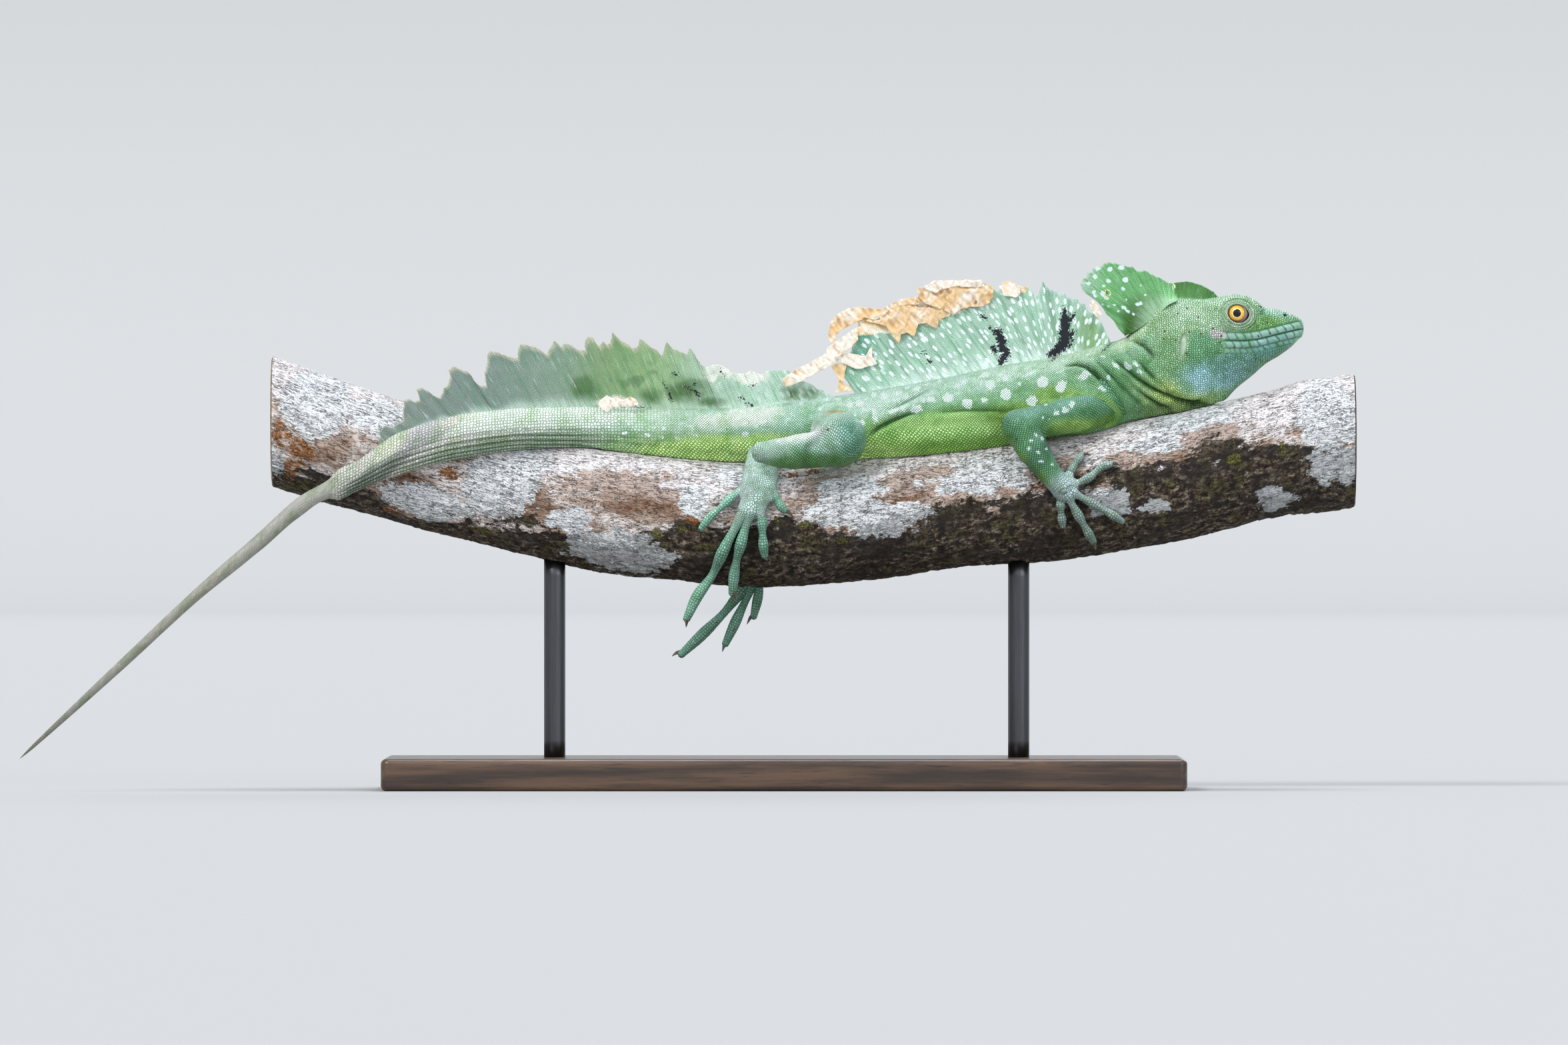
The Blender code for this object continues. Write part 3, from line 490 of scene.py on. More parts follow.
class Recipe:
    """The nodes of one material, mixed step by step."""

    def __init__(self, name: str, roughness: float, gloss: float = 0.5, metallic: float = 0.0) -> None:
        """Starts a material with its shader's constants set.

        Args:
            name: The material's name.
            roughness: How matt it is.
            gloss: How much it reflects straight on.
            metallic: 1 for bare metal.
        """
        self.material = bpy.data.materials.new(name)
        self.material.use_nodes = True
        self.tree = self.material.node_tree
        self.shader = self.tree.nodes["Principled BSDF"]
        constants = {"Roughness": roughness, "Specular IOR Level": gloss, "Metallic": metallic}
        for key, value in constants.items():
            self.shader.inputs[key].default_value = value

    def node(self, kind: str, settings: dict | None = None, **plugs: object) -> bpy.types.Node:
        """Adds a node, sets its options, and links or sets the named inputs."""
        made = self.tree.nodes.new(kind)
        for key, value in (settings or {}).items():
            setattr(made, key, value)
        for key, value in plugs.items():
            self.plug(made.inputs[key.replace("_", " ")], value)
        return made

    def plug(self, socket: Socket, value: object) -> None:
        """Links a socket to an input, or sets the input to a constant."""
        if isinstance(value, Socket):
            self.tree.links.new(value, socket)
        elif isinstance(value, tuple) and len(value) == 3 and socket.type == "RGBA":
            socket.default_value = (*value, 1.0)
        else:
            socket.default_value = value

    def math(self, operation: str, *values: object) -> Socket:
        """One step of arithmetic on up to three values."""
        made = self.node("ShaderNodeMath", {"operation": operation})
        for socket, value in zip(made.inputs, values):
            self.plug(socket, value)
        return made.outputs[0]

    def mix(self, share: object, first: object, second: object, how: str = "MIX") -> Socket:
        """Blends two colours."""
        made = self.node("ShaderNodeMix", {"data_type": "RGBA", "blend_type": how})
        for socket, value in ((0, share), (6, first), (7, second)):
            self.plug(made.inputs[socket], value)
        return made.outputs[2]

    def fade(self, value: object, start: float, end: float) -> Socket:
        """Rises smoothly from 0 at start to 1 at end."""
        made = self.node("ShaderNodeMapRange", {"interpolation_type": "SMOOTHSTEP"}, Value=value)
        made.inputs["From Min"].default_value = start
        made.inputs["From Max"].default_value = end
        return made.outputs[0]

    def field(self, name: str, output: str = "Fac") -> Socket:
        """Reads one of the piece's own fields."""
        made = self.node("ShaderNodeAttribute", {"attribute_name": name})
        return made.outputs[output]

    def split(self, colour: object) -> Sequence:
        """The three channels of a colour."""
        return self.node("ShaderNodeSeparateColor", None, Color=colour).outputs

    def flat(self) -> Socket:
        """The piece's flat coordinates, in millimetres."""
        return self.node("ShaderNodeUVMap", {"uv_map": "flat"}).outputs[0]

    def first(self) -> Socket:
        """The first of the flat coordinates."""
        return self.node("ShaderNodeSeparateXYZ", None, Vector=self.flat()).outputs[0]

    def place(self) -> Socket:
        """The place in the piece, in metres."""
        return self.node("ShaderNodeTexCoord").outputs["Object"]

    def turned(self, vector: object, scale: Sequence[float], angle: float = 0.0) -> Socket:
        """Turns a pattern by degrees about Z, then stretches it."""
        spun = self.node("ShaderNodeMapping", {"vector_type": "POINT"}, Vector=vector)
        spun.inputs["Rotation"].default_value = (0, 0, math.radians(angle))
        made = self.node("ShaderNodeMapping", {"vector_type": "POINT"}, Vector=spun.outputs[0])
        made.inputs["Scale"].default_value = scale
        return made.outputs[0]

    def clouds(self, vector: object, scale: float, detail: float = 3.0, rough: float = 0.55) -> Socket:
        """Soft random values round 0.5."""
        plugs = {"Vector": vector, "Scale": scale, "Detail": detail, "Roughness": rough}
        return self.node("ShaderNodeTexNoise", None, **plugs).outputs["Fac"]

    def waver(
        self, value: object, vector: object, scale: float, strength: float, detail: float = 3.0,
        rough: float = 0.55,
    ) -> Socket:
        """Adds noise of a strength, centred on 0, to a value."""
        cloud = self.centred(self.clouds(vector, scale, detail, rough))
        return self.math("MULTIPLY_ADD", cloud, strength, value)

    def stain(self, share: object, tint: object, factor: Colour) -> Socket:
        """Multiplies a colour by a factor, over a share of it."""
        return self.mix(share, tint, self.mix(1.0, tint, factor, "MULTIPLY"))

    def times(self, first: object, second: object) -> Socket:
        """A product."""
        return self.math("MULTIPLY", first, second)

    def plus(self, first: object, second: object) -> Socket:
        """A sum."""
        return self.math("ADD", first, second)

    def centred(self, value: object) -> Socket:
        """A value that runs from 0 to 1, moved to run from -0.5 to 0.5."""
        return self.math("SUBTRACT", value, 0.5)

    def cells(self, vector: object, loose: float, feature: str = "DISTANCE_TO_EDGE") -> bpy.types.Node:
        """A net of cells one unit apart. Loose 0 is square and 1 is random."""
        settings = {"feature": feature, "voronoi_dimensions": "2D"}
        return self.node("ShaderNodeTexVoronoi", settings, Vector=vector, Scale=1.0, Randomness=loose)

    def finish(self, colour: object, height: object = None, depth: float = 0.2) -> Material:
        """Links the colour, and the relief with its depth in millimetres."""
        self.plug(self.shader.inputs["Base Color"], colour)
        if height is not None:
            bump = self.node("ShaderNodeBump", None, Height=height, Strength=1.0, Distance=depth * MM)
            self.tree.links.new(bump.outputs[0], self.shader.inputs["Normal"])
        return self.material


@dataclass(frozen=True)
class SkinFinish:
    """Scaly skin. Its colour, spots, marks and kind of scale come from the piece's fields."""

    # Each kind of scale: its pitch in millimetres, turn in degrees, looseness and darkness of its gaps, which
    # is painted shade
    net: tuple = ((0.80, 0.68), 48.0, 0.36, 0.96)
    pebble: tuple = ((0.90, 0.82), 0.0, 0.72, 0.90)
    band: tuple = ((1.25, 1.15), 0.0, 0.50, 0.62)
    belly: tuple = ((1.25, 0.92), 40.0, 0.34, 0.92)
    # The gap colour is painted shade in the grooves between scales
    gap: Colour = (0.14, 0.26, 0.12)  # multiplies the colour between scales
    pale: Colour = (0.80, 0.93, 0.94)
    ink: Colour = (0.012, 0.014, 0.020)

    def make(self) -> Material:
        """Mixes four nets of scales by the scale map, with painted highlights on the scales and painted shade
        between them, then paints spots, marks and specks.
        """
        r = Recipe("basilisk_skin", 0.5, gloss=0.35)
        flat = r.flat()
        kinds = [*r.split(r.field("scales", "Color")), r.field("belly")]
        height = tone = deep = total = 0.0
        for kind, (pitch, angle, loose, dark) in zip(kinds, (self.net, self.pebble, self.band, self.belly)):
            net = r.turned(flat, per(pitch), angle)
            dome = r.fade(r.cells(net, loose).outputs["Distance"], 0.0, 0.38)
            height = r.plus(height, r.times(dome, kind))
            # deep gathers the painted shade in the grooves between scales
            deep = r.plus(deep, r.times(r.times(r.fade(dome, 0.60, 0.0), dark), kind))
            shade = r.split(r.cells(net, loose, "F1").outputs["Color"])[0]
            tone = r.plus(tone, r.times(shade, kind))
            total = r.plus(total, kind)
        tone = r.math("DIVIDE", tone, r.math("MAXIMUM", total, 0.001))
        tint = r.field("tint", "Color")
        # Darker and paler blotches: mottling of the skin, and painted shade and light of small wrinkles
        tint = r.stain(r.fade(r.clouds(flat, 0.16, 4.0), 0.42, 0.70), tint, (0.62, 0.76, 0.56))
        tint = r.stain(r.fade(r.clouds(flat, 0.45), 0.50, 0.72), tint, (1.36, 1.28, 1.30))
        edge = r.waver(r.field("spot"), flat, 0.8, 1.0, 2.0)
        edge = r.math("MULTIPLY_ADD", r.centred(tone), 0.7, edge)
        tint = r.mix(r.fade(edge, 0.08, -0.22), tint, self.pale)
        # Painted highlights on the tops of the scales, the first stronger on some scales than on others
        tint = r.stain(r.times(tone, r.fade(height, 0.3, 1.0)), tint, (1.45, 1.34, 1.36))
        tint = r.stain(r.fade(height, 0.70, 1.0), tint, (1.16, 1.12, 1.16))
        # Painted shade in the grooves between the scales
        tint = r.stain(deep, tint, self.gap)
        tint = r.mix(r.fade(r.waver(r.field("ink"), flat, 1.3, 4.4), 0.12, -0.12), tint, self.ink)
        speck = r.cells(r.turned(flat, (0.22, 0.22, 1)), 1.0, "F1")
        bare = r.math("SUBTRACT", 1.0, r.field("mites"))
        rare = r.math("GREATER_THAN", r.split(speck.outputs["Color"])[0], bare)
        speck = r.times(r.fade(speck.outputs["Distance"], 0.11, 0.075), rare)
        tint = r.mix(speck, tint, (0.10, 0.035, 0.015))
        return r.finish(tint, r.waver(height, flat, 2.6, 0.25), 0.20)


@dataclass(frozen=True)
class MembraneFinish:
    """Thin skin of the sails and crests: faint streaks, pale spots, ink and dry margins."""

    name: str
    streak: Colour
    pale: Colour = (0.84, 0.94, 0.92)
    dry: Colour = (0.84, 0.60, 0.32)
    papery: Colour = (0.92, 0.86, 0.72)
    dash_pitch: tuple[float, float] = (2.7, 5.3)
    dash_size: float = 0.27
    grain_pitch: tuple[float, float] = (1.0, 0.75)

    def make(self) -> Material:
        """Streaks and dashes follow the second flat coordinate, which runs up each ray."""
        r = Recipe(self.name, 0.55, gloss=0.3)
        flat = r.flat()
        tint = r.field("tint", "Color")
        fine = r.clouds(r.turned(flat, (1.1, 0.12, 1)), 1.0, 4.0, 0.6)
        wide = r.clouds(r.turned(flat, (0.34, 0.050, 1)), 1.0, 3.0)
        grain = r.cells(r.turned(flat, per(self.grain_pitch), 20.0), 0.7)
        grain = r.fade(grain.outputs["Distance"], 0.0, 0.35)
        tint = r.mix(r.times(0.5, r.fade(fine, 0.48, 0.70)), tint, self.streak)
        tint = r.stain(r.times(0.55, r.fade(wide, 0.50, 0.68)), tint, (0.60, 0.84, 0.66))
        tint = r.mix(r.times(0.35, r.fade(fine, 0.44, 0.28)), tint, self.pale)
        tint = r.stain(r.times(0.30, r.fade(grain, 0.6, 0.0)), tint, (0.35, 0.50, 0.32))
        dashes = r.cells(r.turned(flat, per(self.dash_pitch)), 0.88, "F1")
        dashes = r.waver(dashes.outputs["Distance"], flat, 1.1, 0.22, 2.0)
        dashes = r.fade(dashes, self.dash_size, self.dash_size * 0.72)
        tint = r.mix(r.times(dashes, r.field("dashes")), tint, self.pale)
        tint = r.mix(r.fade(r.waver(r.field("spot"), flat, 0.9, 0.9, 2.0), 0.20, -0.12), tint, self.pale)
        skin = r.mix(r.fade(r.clouds(flat, 0.17, 4.0), 0.44, 0.58), self.dry, self.papery)
        skin = r.mix(r.times(0.5, r.fade(fine, 0.55, 0.72)), skin, (0.50, 0.27, 0.08))
        dry = r.math("MULTIPLY_ADD", r.centred(fine), 0.5, r.field("dry"))
        tint = r.mix(r.fade(dry, 0.42, 0.60), tint, skin)
        mark = r.fade(r.waver(r.field("ink"), flat, 0.62, 5.6, 3.0, 0.6), 0.06, -0.06)
        fleck = r.fade(r.waver(r.field("ink"), flat, 1.5, -9.0, 1.0), -0.1, -0.4)
        tint = r.mix(r.math("MAXIMUM", mark, fleck), tint, (0.012, 0.014, 0.022))
        relief = r.plus(fine, r.times(0.5, r.plus(wide, grain)))
        return r.finish(tint, relief, 0.22)


@dataclass(frozen=True)
class DrySkinFinish:
    """Loose papery skin, near white to orange-tan, browner in its folds."""

    def make(self) -> Material:
        """The tan field shifts a broad noise, which picks between cream and orange-tan."""
        r = Recipe("dry_skin", 0.7, gloss=0.3)
        flat = r.flat()
        along = r.clouds(r.turned(flat, (0.16, 1.0, 1), 35.0), 1.0, 4.0, 0.6)
        broad = r.plus(r.clouds(flat, 0.16, 4.0), r.centred(r.field("tan")))
        tint = r.mix(r.fade(broad, 0.40, 0.66), (0.90, 0.82, 0.71), (0.84, 0.59, 0.31))
        tint = r.mix(r.times(r.fade(along, 0.52, 0.68), 0.45), tint, (0.66, 0.38, 0.14))
        tint = r.mix(r.times(r.fade(along, 0.46, 0.34), 0.45), tint, (0.98, 0.94, 0.88))
        tint = r.mix(r.times(r.field("fold"), 0.65), tint, (0.50, 0.24, 0.07))
        rust = r.times(r.fade(r.clouds(flat, 0.55, 3.0), 0.66, 0.72), 0.8)
        tint = r.mix(rust, tint, (0.20, 0.08, 0.03))
        return r.finish(tint, r.plus(along, r.clouds(flat, 0.8, 3.0)), 0.30)


@dataclass(frozen=True)
class EyeFinish:
    """A golden iris with a round pupil, under a wet surface."""

    pupil: float = 19.5  # degrees
    iris: float = 43.0

    def make(self) -> Material:
        """Rings of colour by the first flat coordinate, the angle off the eye's axis, and fine spokes."""
        r = Recipe("eye", 0.06, gloss=0.4)
        angle = r.first()
        spokes = r.clouds(r.turned(r.flat(), (0.05, 0.22, 1)), 1.0, 4.0, 0.6)
        iris = r.mix(r.fade(spokes, 0.35, 0.68), (0.86, 0.42, 0.03), (0.98, 0.66, 0.13))
        iris = r.mix(r.fade(angle, self.pupil + 7, self.pupil + 1), iris, (0.95, 0.78, 0.36))
        iris = r.mix(r.fade(angle, self.iris - 9, self.iris), iris, (0.42, 0.20, 0.02))
        tint = r.mix(r.fade(angle, self.iris - 0.5, self.iris + 1), iris, (0.07, 0.05, 0.04))
        tint = r.mix(r.fade(angle, self.iris + 1, self.iris + 4), tint, (0.50, 0.42, 0.40))
        tint = r.mix(r.fade(angle, self.pupil + 0.7, self.pupil - 0.7), tint, (0.004, 0.004, 0.006))
        return r.finish(tint)


@dataclass(frozen=True)
class ClawFinish:
    """Brown horn, dark at the root and paler at the point."""

    def make(self) -> Material:
        """The first flat coordinate runs from root to point."""
        r = Recipe("claw", 0.32)
        tint = r.mix(r.fade(r.first(), 0.5, 5.0), (0.030, 0.020, 0.014), (0.15, 0.10, 0.07))
        return r.finish(tint, r.clouds(r.turned(r.flat(), (0.5, 3.0, 1)), 1.0), 0.05)


@dataclass(frozen=True)
class BarkFinish:
    """Weathered bark with lichen and moss: pale and pinkish above as painted light, and dark and mossy below,
    partly as painted shade.
    """

    light: Colour = (0.93, 0.84, 0.79)
    grey: Colour = (0.58, 0.43, 0.34)
    brown: Colour = (0.32, 0.19, 0.125)
    # Each field of the bark: its noise's stretch along the branch, size, strength, detail and
    # roughness, and the values between which the growth fades in
    edges: tuple = (
        ("pale", 0.5, 0.22, 1.4, 5.0, 0.65, 0.30, 0.75),
        ("tan", 0.6, 0.18, 2.0, 5.0, 0.70, 0.40, 0.62),
        ("shade", 0.7, 0.15, 2.3, 6.0, 0.74, 0.46, 0.60),
        ("lichen", 0.7, 0.16, 2.3, 6.0, 0.74, 0.47, 0.52),
        ("moss", None, 0.30, 1.6, 5.0, 0.72, 0.56, 0.62),
        ("rust", None, 0.26, 2.0, 5.0, 0.70, 0.56, 0.63),
    )

    def growths(self, r: Recipe, flat: Socket, bent: Socket) -> dict[str, Socket]:
        """Adds noise to each field and fades it in. The stretched ones follow the bent grain."""
        grown = {}
        for name, stretch, size, strength, detail, rough, start, end in self.edges:
            where = r.turned(bent, (stretch, 1, 1)) if stretch else flat
            grown[name] = r.fade(r.waver(r.field(name), where, size, strength, detail, rough), start, end)
        return grown

    def cracks(self, r: Recipe, flat: Socket, bent: Socket) -> Socket:
        """Long cracks in parts of the bark and short ones all over, where a noise nears 0.5."""
        long, short = (
            r.math("ABSOLUTE", r.centred(r.clouds(r.turned(bent, stretch), 1.0, 3.0, 0.6)))
            for stretch in ((0.13, 0.55, 1), (0.30, 1.1, 1))
        )
        crack = r.times(r.fade(long, 0.024, 0.006), r.fade(r.clouds(flat, 0.16, 3.0), 0.38, 0.54))
        return r.math("MAXIMUM", crack, r.times(0.8, r.fade(short, 0.022, 0.006)))

    def make(self) -> Material:
        """Cracks are noise stretched along the branch, and each growth is a noise with a threshold."""
        r = Recipe("bark", 0.88, gloss=0.25)
        flat = r.flat()
        warp = r.node("ShaderNodeTexNoise", None, Vector=flat, Scale=0.10, Detail=3.0).outputs["Color"]
        bend = r.node("ShaderNodeVectorMath", {"operation": "MULTIPLY_ADD"})
        for socket, value in zip(bend.inputs, (warp, (3, 3, 0), flat)):
            r.plug(socket, value)
        bent = bend.outputs[0]
        fibre = r.clouds(r.turned(bent, (0.26, 0.80, 1)), 1.0, 5.0, 0.66)
        fine = r.clouds(r.turned(bent, (0.9, 1.7, 1)), 1.0, 3.0, 0.68)
        grain = r.clouds(flat, 1.3, 5.0, 0.72)
        patch = r.clouds(r.turned(flat, (0.6, 1, 1)), 0.075, 5.0, 0.62)
        crack, grown = self.cracks(r, flat, bent), self.growths(r, flat, bent)
        tone = r.split(r.cells(r.turned(bent, (0.15, 0.62, 1)), 1.0, "F1").outputs["Color"])[0]
        tint = r.mix(r.fade(patch, 0.45, 0.56), self.light, self.grey)
        tint = r.mix(r.times(0.9, r.fade(patch, 0.56, 0.64)), tint, self.brown)
        tint = r.stain(r.fade(tone, 0.45, 1.0), tint, (0.74, 0.66, 0.60))
        tint = r.mix(r.times(0.30, r.fade(fibre, 0.55, 0.72)), tint, (0.24, 0.17, 0.12))
        tint = r.mix(r.times(0.30, r.fade(fibre, 0.46, 0.32)), tint, (1.0, 0.95, 0.93))
        tint = r.mix(r.times(0.26, r.fade(fine, 0.58, 0.70)), tint, (0.17, 0.12, 0.09))
        # Painted light: paler on the top of the branch
        tint = r.mix(r.times(0.80, grown["pale"]), tint, (1.0, 0.95, 0.95))
        tint = r.stain(r.times(0.9, grown["tan"]), tint, (0.58, 0.47, 0.39))
        # The dark underside: moss tufts on near-black bark, partly painted shade, laid on where the shade
        # field is high
        tufts = r.clouds(r.turned(bent, (0.34, 0.46, 1)), 1.0, 6.0, 0.72)
        low = r.mix(r.fade(tufts, 0.43, 0.52), (0.008, 0.006, 0.004), (0.15, 0.11, 0.07))
        low = r.mix(r.times(0.9, r.fade(tufts, 0.52, 0.60)), low, (0.54, 0.46, 0.35))
        olive = r.fade(r.clouds(flat, 0.11, 4.0, 0.6), 0.50, 0.58)
        low = r.mix(r.times(0.85, r.times(olive, r.fade(tufts, 0.45, 0.56))), low, (0.15, 0.15, 0.030))
        low = r.stain(r.fade(grain, 0.50, 0.42), low, (0.40, 0.40, 0.40))
        low = r.stain(r.fade(patch, 0.52, 0.42), low, (0.30, 0.26, 0.24))
        tint = r.mix(r.times(0.96, grown["shade"]), tint, low)
        crust = r.mix(r.fade(grain, 0.36, 0.58), (0.76, 0.80, 0.80), (0.97, 0.99, 1.0))
        crust = r.mix(r.times(0.35, r.fade(fine, 0.60, 0.70)), crust, (0.30, 0.29, 0.25))
        crust = r.mix(r.times(0.30, r.fade(fibre, 0.58, 0.68)), crust, (0.36, 0.31, 0.26))
        tint = r.mix(r.times(0.94, grown["lichen"]), tint, crust)
        moss = r.mix(r.fade(grain, 0.42, 0.62), (0.07, 0.065, 0.012), (0.48, 0.47, 0.12))
        tint = r.mix(r.times(0.9, grown["moss"]), tint, moss)
        rust = r.mix(r.fade(grain, 0.4, 0.6), (0.11, 0.034, 0.012), (0.62, 0.24, 0.05))
        tint = r.mix(r.times(0.9, grown["rust"]), tint, rust)
        tint = r.mix(r.times(0.85, crack), tint, (0.050, 0.035, 0.027))
        height = r.plus(r.times(0.9, fibre), r.plus(r.times(0.5, grain), r.times(0.35, fine)))
        height = r.math("MULTIPLY_ADD", crack, -1.1, r.math("MULTIPLY_ADD", tone, 0.35, height))
        rough = r.plus(r.times(1.2, grain), r.times(2.6, tufts))
        height = r.plus(height, r.times(r.plus(grown["shade"], grown["moss"]), rough))
        return r.finish(tint, height, 0.9)


@dataclass(frozen=True)
class SawnFinish:
    """The branch's sawn ends, with growth rings round the first flat coordinate."""

    def make(self) -> Material:
        """Rings are a wave of the distance from the heart, bent a little by noise."""
        r = Recipe("sawn_wood", 0.75)
        bent = r.plus(r.first(), r.times(r.clouds(r.place(), 90.0, 3.0), 2.2))
        rings = r.math("SINE", r.times(bent, 3.4))
        tint = r.mix(r.fade(rings, -0.6, 1.0), (0.56, 0.41, 0.25), (0.40, 0.26, 0.14))
        tint = r.mix(r.times(r.clouds(r.place(), 700.0, 4.0), 0.5), tint, (0.66, 0.52, 0.34))
        tint = r.mix(r.fade(r.first(), 21.8, 22.8), tint, (0.12, 0.08, 0.05))
        return r.finish(tint, r.plus(rings, r.clouds(r.place(), 900.0, 3.0)), 0.10)


@dataclass(frozen=True)
class BoardFinish:
    """Dark stained wood with a satin coat, its grain along X."""

    def make(self) -> Material:
        """Grain is noise stretched along X, in bands and in fine pores."""
        r = Recipe("stand_wood", 0.36)
        r.shader.inputs["Coat Weight"].default_value = 0.25
        place = r.place()
        bands = r.clouds(r.turned(place, (14, 260, 260)), 1.0, 5.0, 0.6)
        pores = r.clouds(r.turned(place, (90, 1900, 1900)), 1.0, 3.0, 0.6)
        tint = r.mix(r.fade(bands, 0.34, 0.68), (0.030, 0.017, 0.010), (0.115, 0.062, 0.034))
        tint = r.mix(r.times(r.fade(pores, 0.55, 0.72), 0.7), tint, (0.012, 0.007, 0.005))
        return r.finish(tint, r.plus(bands, pores), 0.06)


@dataclass(frozen=True)
class MetalFinish:
    """Blackened steel rod."""

    def make(self) -> Material:
        """Dark metal with a faint drawn grain."""
        r = Recipe("stand_metal", 0.34, metallic=1.0)
        grain = r.clouds(r.turned(r.place(), (2600, 2600, 60)), 1.0, 3.0)
        tint = r.mix(grain, (0.060, 0.060, 0.064), (0.13, 0.13, 0.135))
        return r.finish(tint, grain, 0.02)


@dataclass(frozen=True)
class StudioFinish:
    """Plain matt paper for the floor and backdrop."""

    tint: Colour = (0.42, 0.42, 0.41)

    def make(self) -> Material:
        """One even colour."""
        return Recipe("studio_paper", 0.9).finish(self.tint)


@dataclass
class Trunk:
    """The form of head, body and tail, from cross-sections."""

    stations: tuple = BODY

    def points(self, x: Array, angle: Array) -> Array:
        """Points on the surface.

        Each section is a rounded rectangle, |y|^n + |z|^n = 1, with its own n above and below.

        Args:
            x: Where each section stands, (rows,).
            angle: Angles from the top, positive on the right side, (rows, columns).

        Returns:
            The points, (rows, columns, 3).
        """
        columns = smooth_rows(self.stations, x).T[..., None]
        top, wide, bottom, half, middle, above, below = columns
        c, s = np.cos(angle), np.sin(angle)
        power = np.where(c >= 0, 2 / above, 2 / below)
        reach = np.where(c >= 0, top - wide, wide - bottom)
        y = middle - half * np.sign(s) * np.abs(s) ** power
        z = wide + reach * np.sign(c) * np.abs(c) ** power
        return np.stack([np.broadcast_to(x[:, None], y.shape), y, z], axis=-1)

    def away(self, places: Array) -> Array:
        """About how far places are outside the surface, measured in their own section."""
        top, wide, bottom, half, middle, above, below = smooth_rows(self.stations, places[..., 0].ravel()).T
        y = np.abs(places[..., 1].ravel() - middle)
        z = places[..., 2].ravel() - wide
        power = np.where(z >= 0, above, below)
        reach = np.where(z >= 0, top - wide, wide - bottom)
        size = ((y / half) ** power + (np.abs(z) / reach) ** power) ** (1 / power)
        return (np.hypot(y, z) * (1 - 1 / np.maximum(size, 1e-3))).reshape(places.shape[:-1])

    def back(self, x: Array) -> tuple[Array, Array]:
        """The height of the line of the back, and the body's middle y, at each x."""
        rows = smooth_rows(self.stations, x)
        return rows[:, 0], rows[:, 4]


@dataclass
class Length:
    """A limb's segment: a round tube along a path, with a radius at each place."""

    path: Array
    radius: Array

    def away(self, places: Array) -> Array:
        """How far places are outside the tube, as the least over its straight parts."""
        flat = places.reshape(-1, 3)
        best = np.full(len(flat), 1e9)
        for a, b, ra, rb in zip(self.path[:-1], self.path[1:], self.radius[:-1], self.radius[1:]):
            step = b - a
            t = np.clip((flat - a) @ step / max(step @ step, 1e-9), 0, 1)
            away = np.linalg.norm(flat - a - t[:, None] * step, axis=1) - ra - t * (rb - ra)
            best = np.minimum(best, away)
        return best.reshape(places.shape[:-1])


def branch_at(x: Array) -> tuple[Array, Array]:
    """The height of the branch's middle and its radius at each x."""
    rows = smooth_rows(BRANCH, np.ravel(x))
    return rows[:, 0].reshape(np.shape(x)), rows[:, 1].reshape(np.shape(x))


def beside_branch(places: Sequence, side: Side, lift: float, shift: float = 0.0) -> Array:
    """Points lying on one side of the branch, from their x and height.

    The point is where a circle of the branch's radius and the lift reaches the height, and it
    hangs straight down below the branch's widest part.

    Args:
        places: (x, z) of each point.
        side: Which side of the branch.
        lift: How far they are off the bark.
        shift: Added to x.

    Returns:
        The points, (n, 3).
    """
    x, z = np.asarray(places, float).T
    x = x + shift
    middle, radius = branch_at(x)
    share = np.clip((z - middle) / (radius + lift), -0.74, 0.94)
    return np.column_stack([x, side.value * (radius + lift) * np.sqrt(1 - share * share), z])


def kept_off_bark(points: Array, room: float = BARK_ROOM) -> Array:
    """Moves points that would be in the branch straight out to its surface, and a little more."""
    middle, radius = branch_at(points[..., 0])
    up = points[..., 2] - middle
    out = np.hypot(points[..., 1], up)
    grow = np.where(out < radius + room, (radius + room) / np.maximum(out, 1e-6), 1.0)
    inside = (points[..., 0] > BRANCH[0][0]) & (points[..., 0] < BRANCH[-1][0])
    grow = np.where(inside, grow, 1.0)
    return np.stack([points[..., 0], points[..., 1] * grow, middle + up * grow], axis=-1)


def rested(points: Array, down: Array, reach: float = 3.2) -> Array:
    """Lowers an underside onto the bark wherever it is within reach of it.

    Args:
        points: The surface.
        down: 1 where it faces the bark and may move, fading to 0.
        reach: The widest gap that is closed.

    Returns:
        The moved points.
    """
    middle, radius = branch_at(points[..., 0])
    up = points[..., 2] - middle
    out = np.hypot(points[..., 1], up)
    gap = out - radius - BARK_ROOM
    drop = np.maximum(gap, 0) * ease(gap, reach, 0.55 * reach) * down
    grow = 1 - drop / out
    return np.stack([points[..., 0], points[..., 1] * grow, middle + up * grow], axis=-1)


def blended(points: Array, normals: Array, others: Sequence, width: float) -> Array:
    """Swells a surface where it nears others, so that they meet in a soft hollow.

    Along its normal each point looks for the zero of a smooth union: the lesser of its own
    distance and the others', less (width - their difference) squared over four widths.

    Args:
        points: The surface.
        normals: Its unit normals.
        others: Forms that it grows into.
        width: How wide the hollow is.

    Returns:
        The moved points.
    """
    travel = np.zeros(points.shape[:-1])
    for _ in range(8):
        place = points + normals * travel[..., None]
        other = np.min([form.away(place) for form in others], axis=0)
        near = np.maximum(width - np.abs(travel - other), 0)
        travel = np.clip(travel - 0.8 * (np.minimum(travel, other) - near**2 / (4 * width)), 0, 0.7 * width)
    hidden = 0.2 * ease(travel - other, 0.0, 0.8)
    return points + normals * (travel - hidden)[..., None]


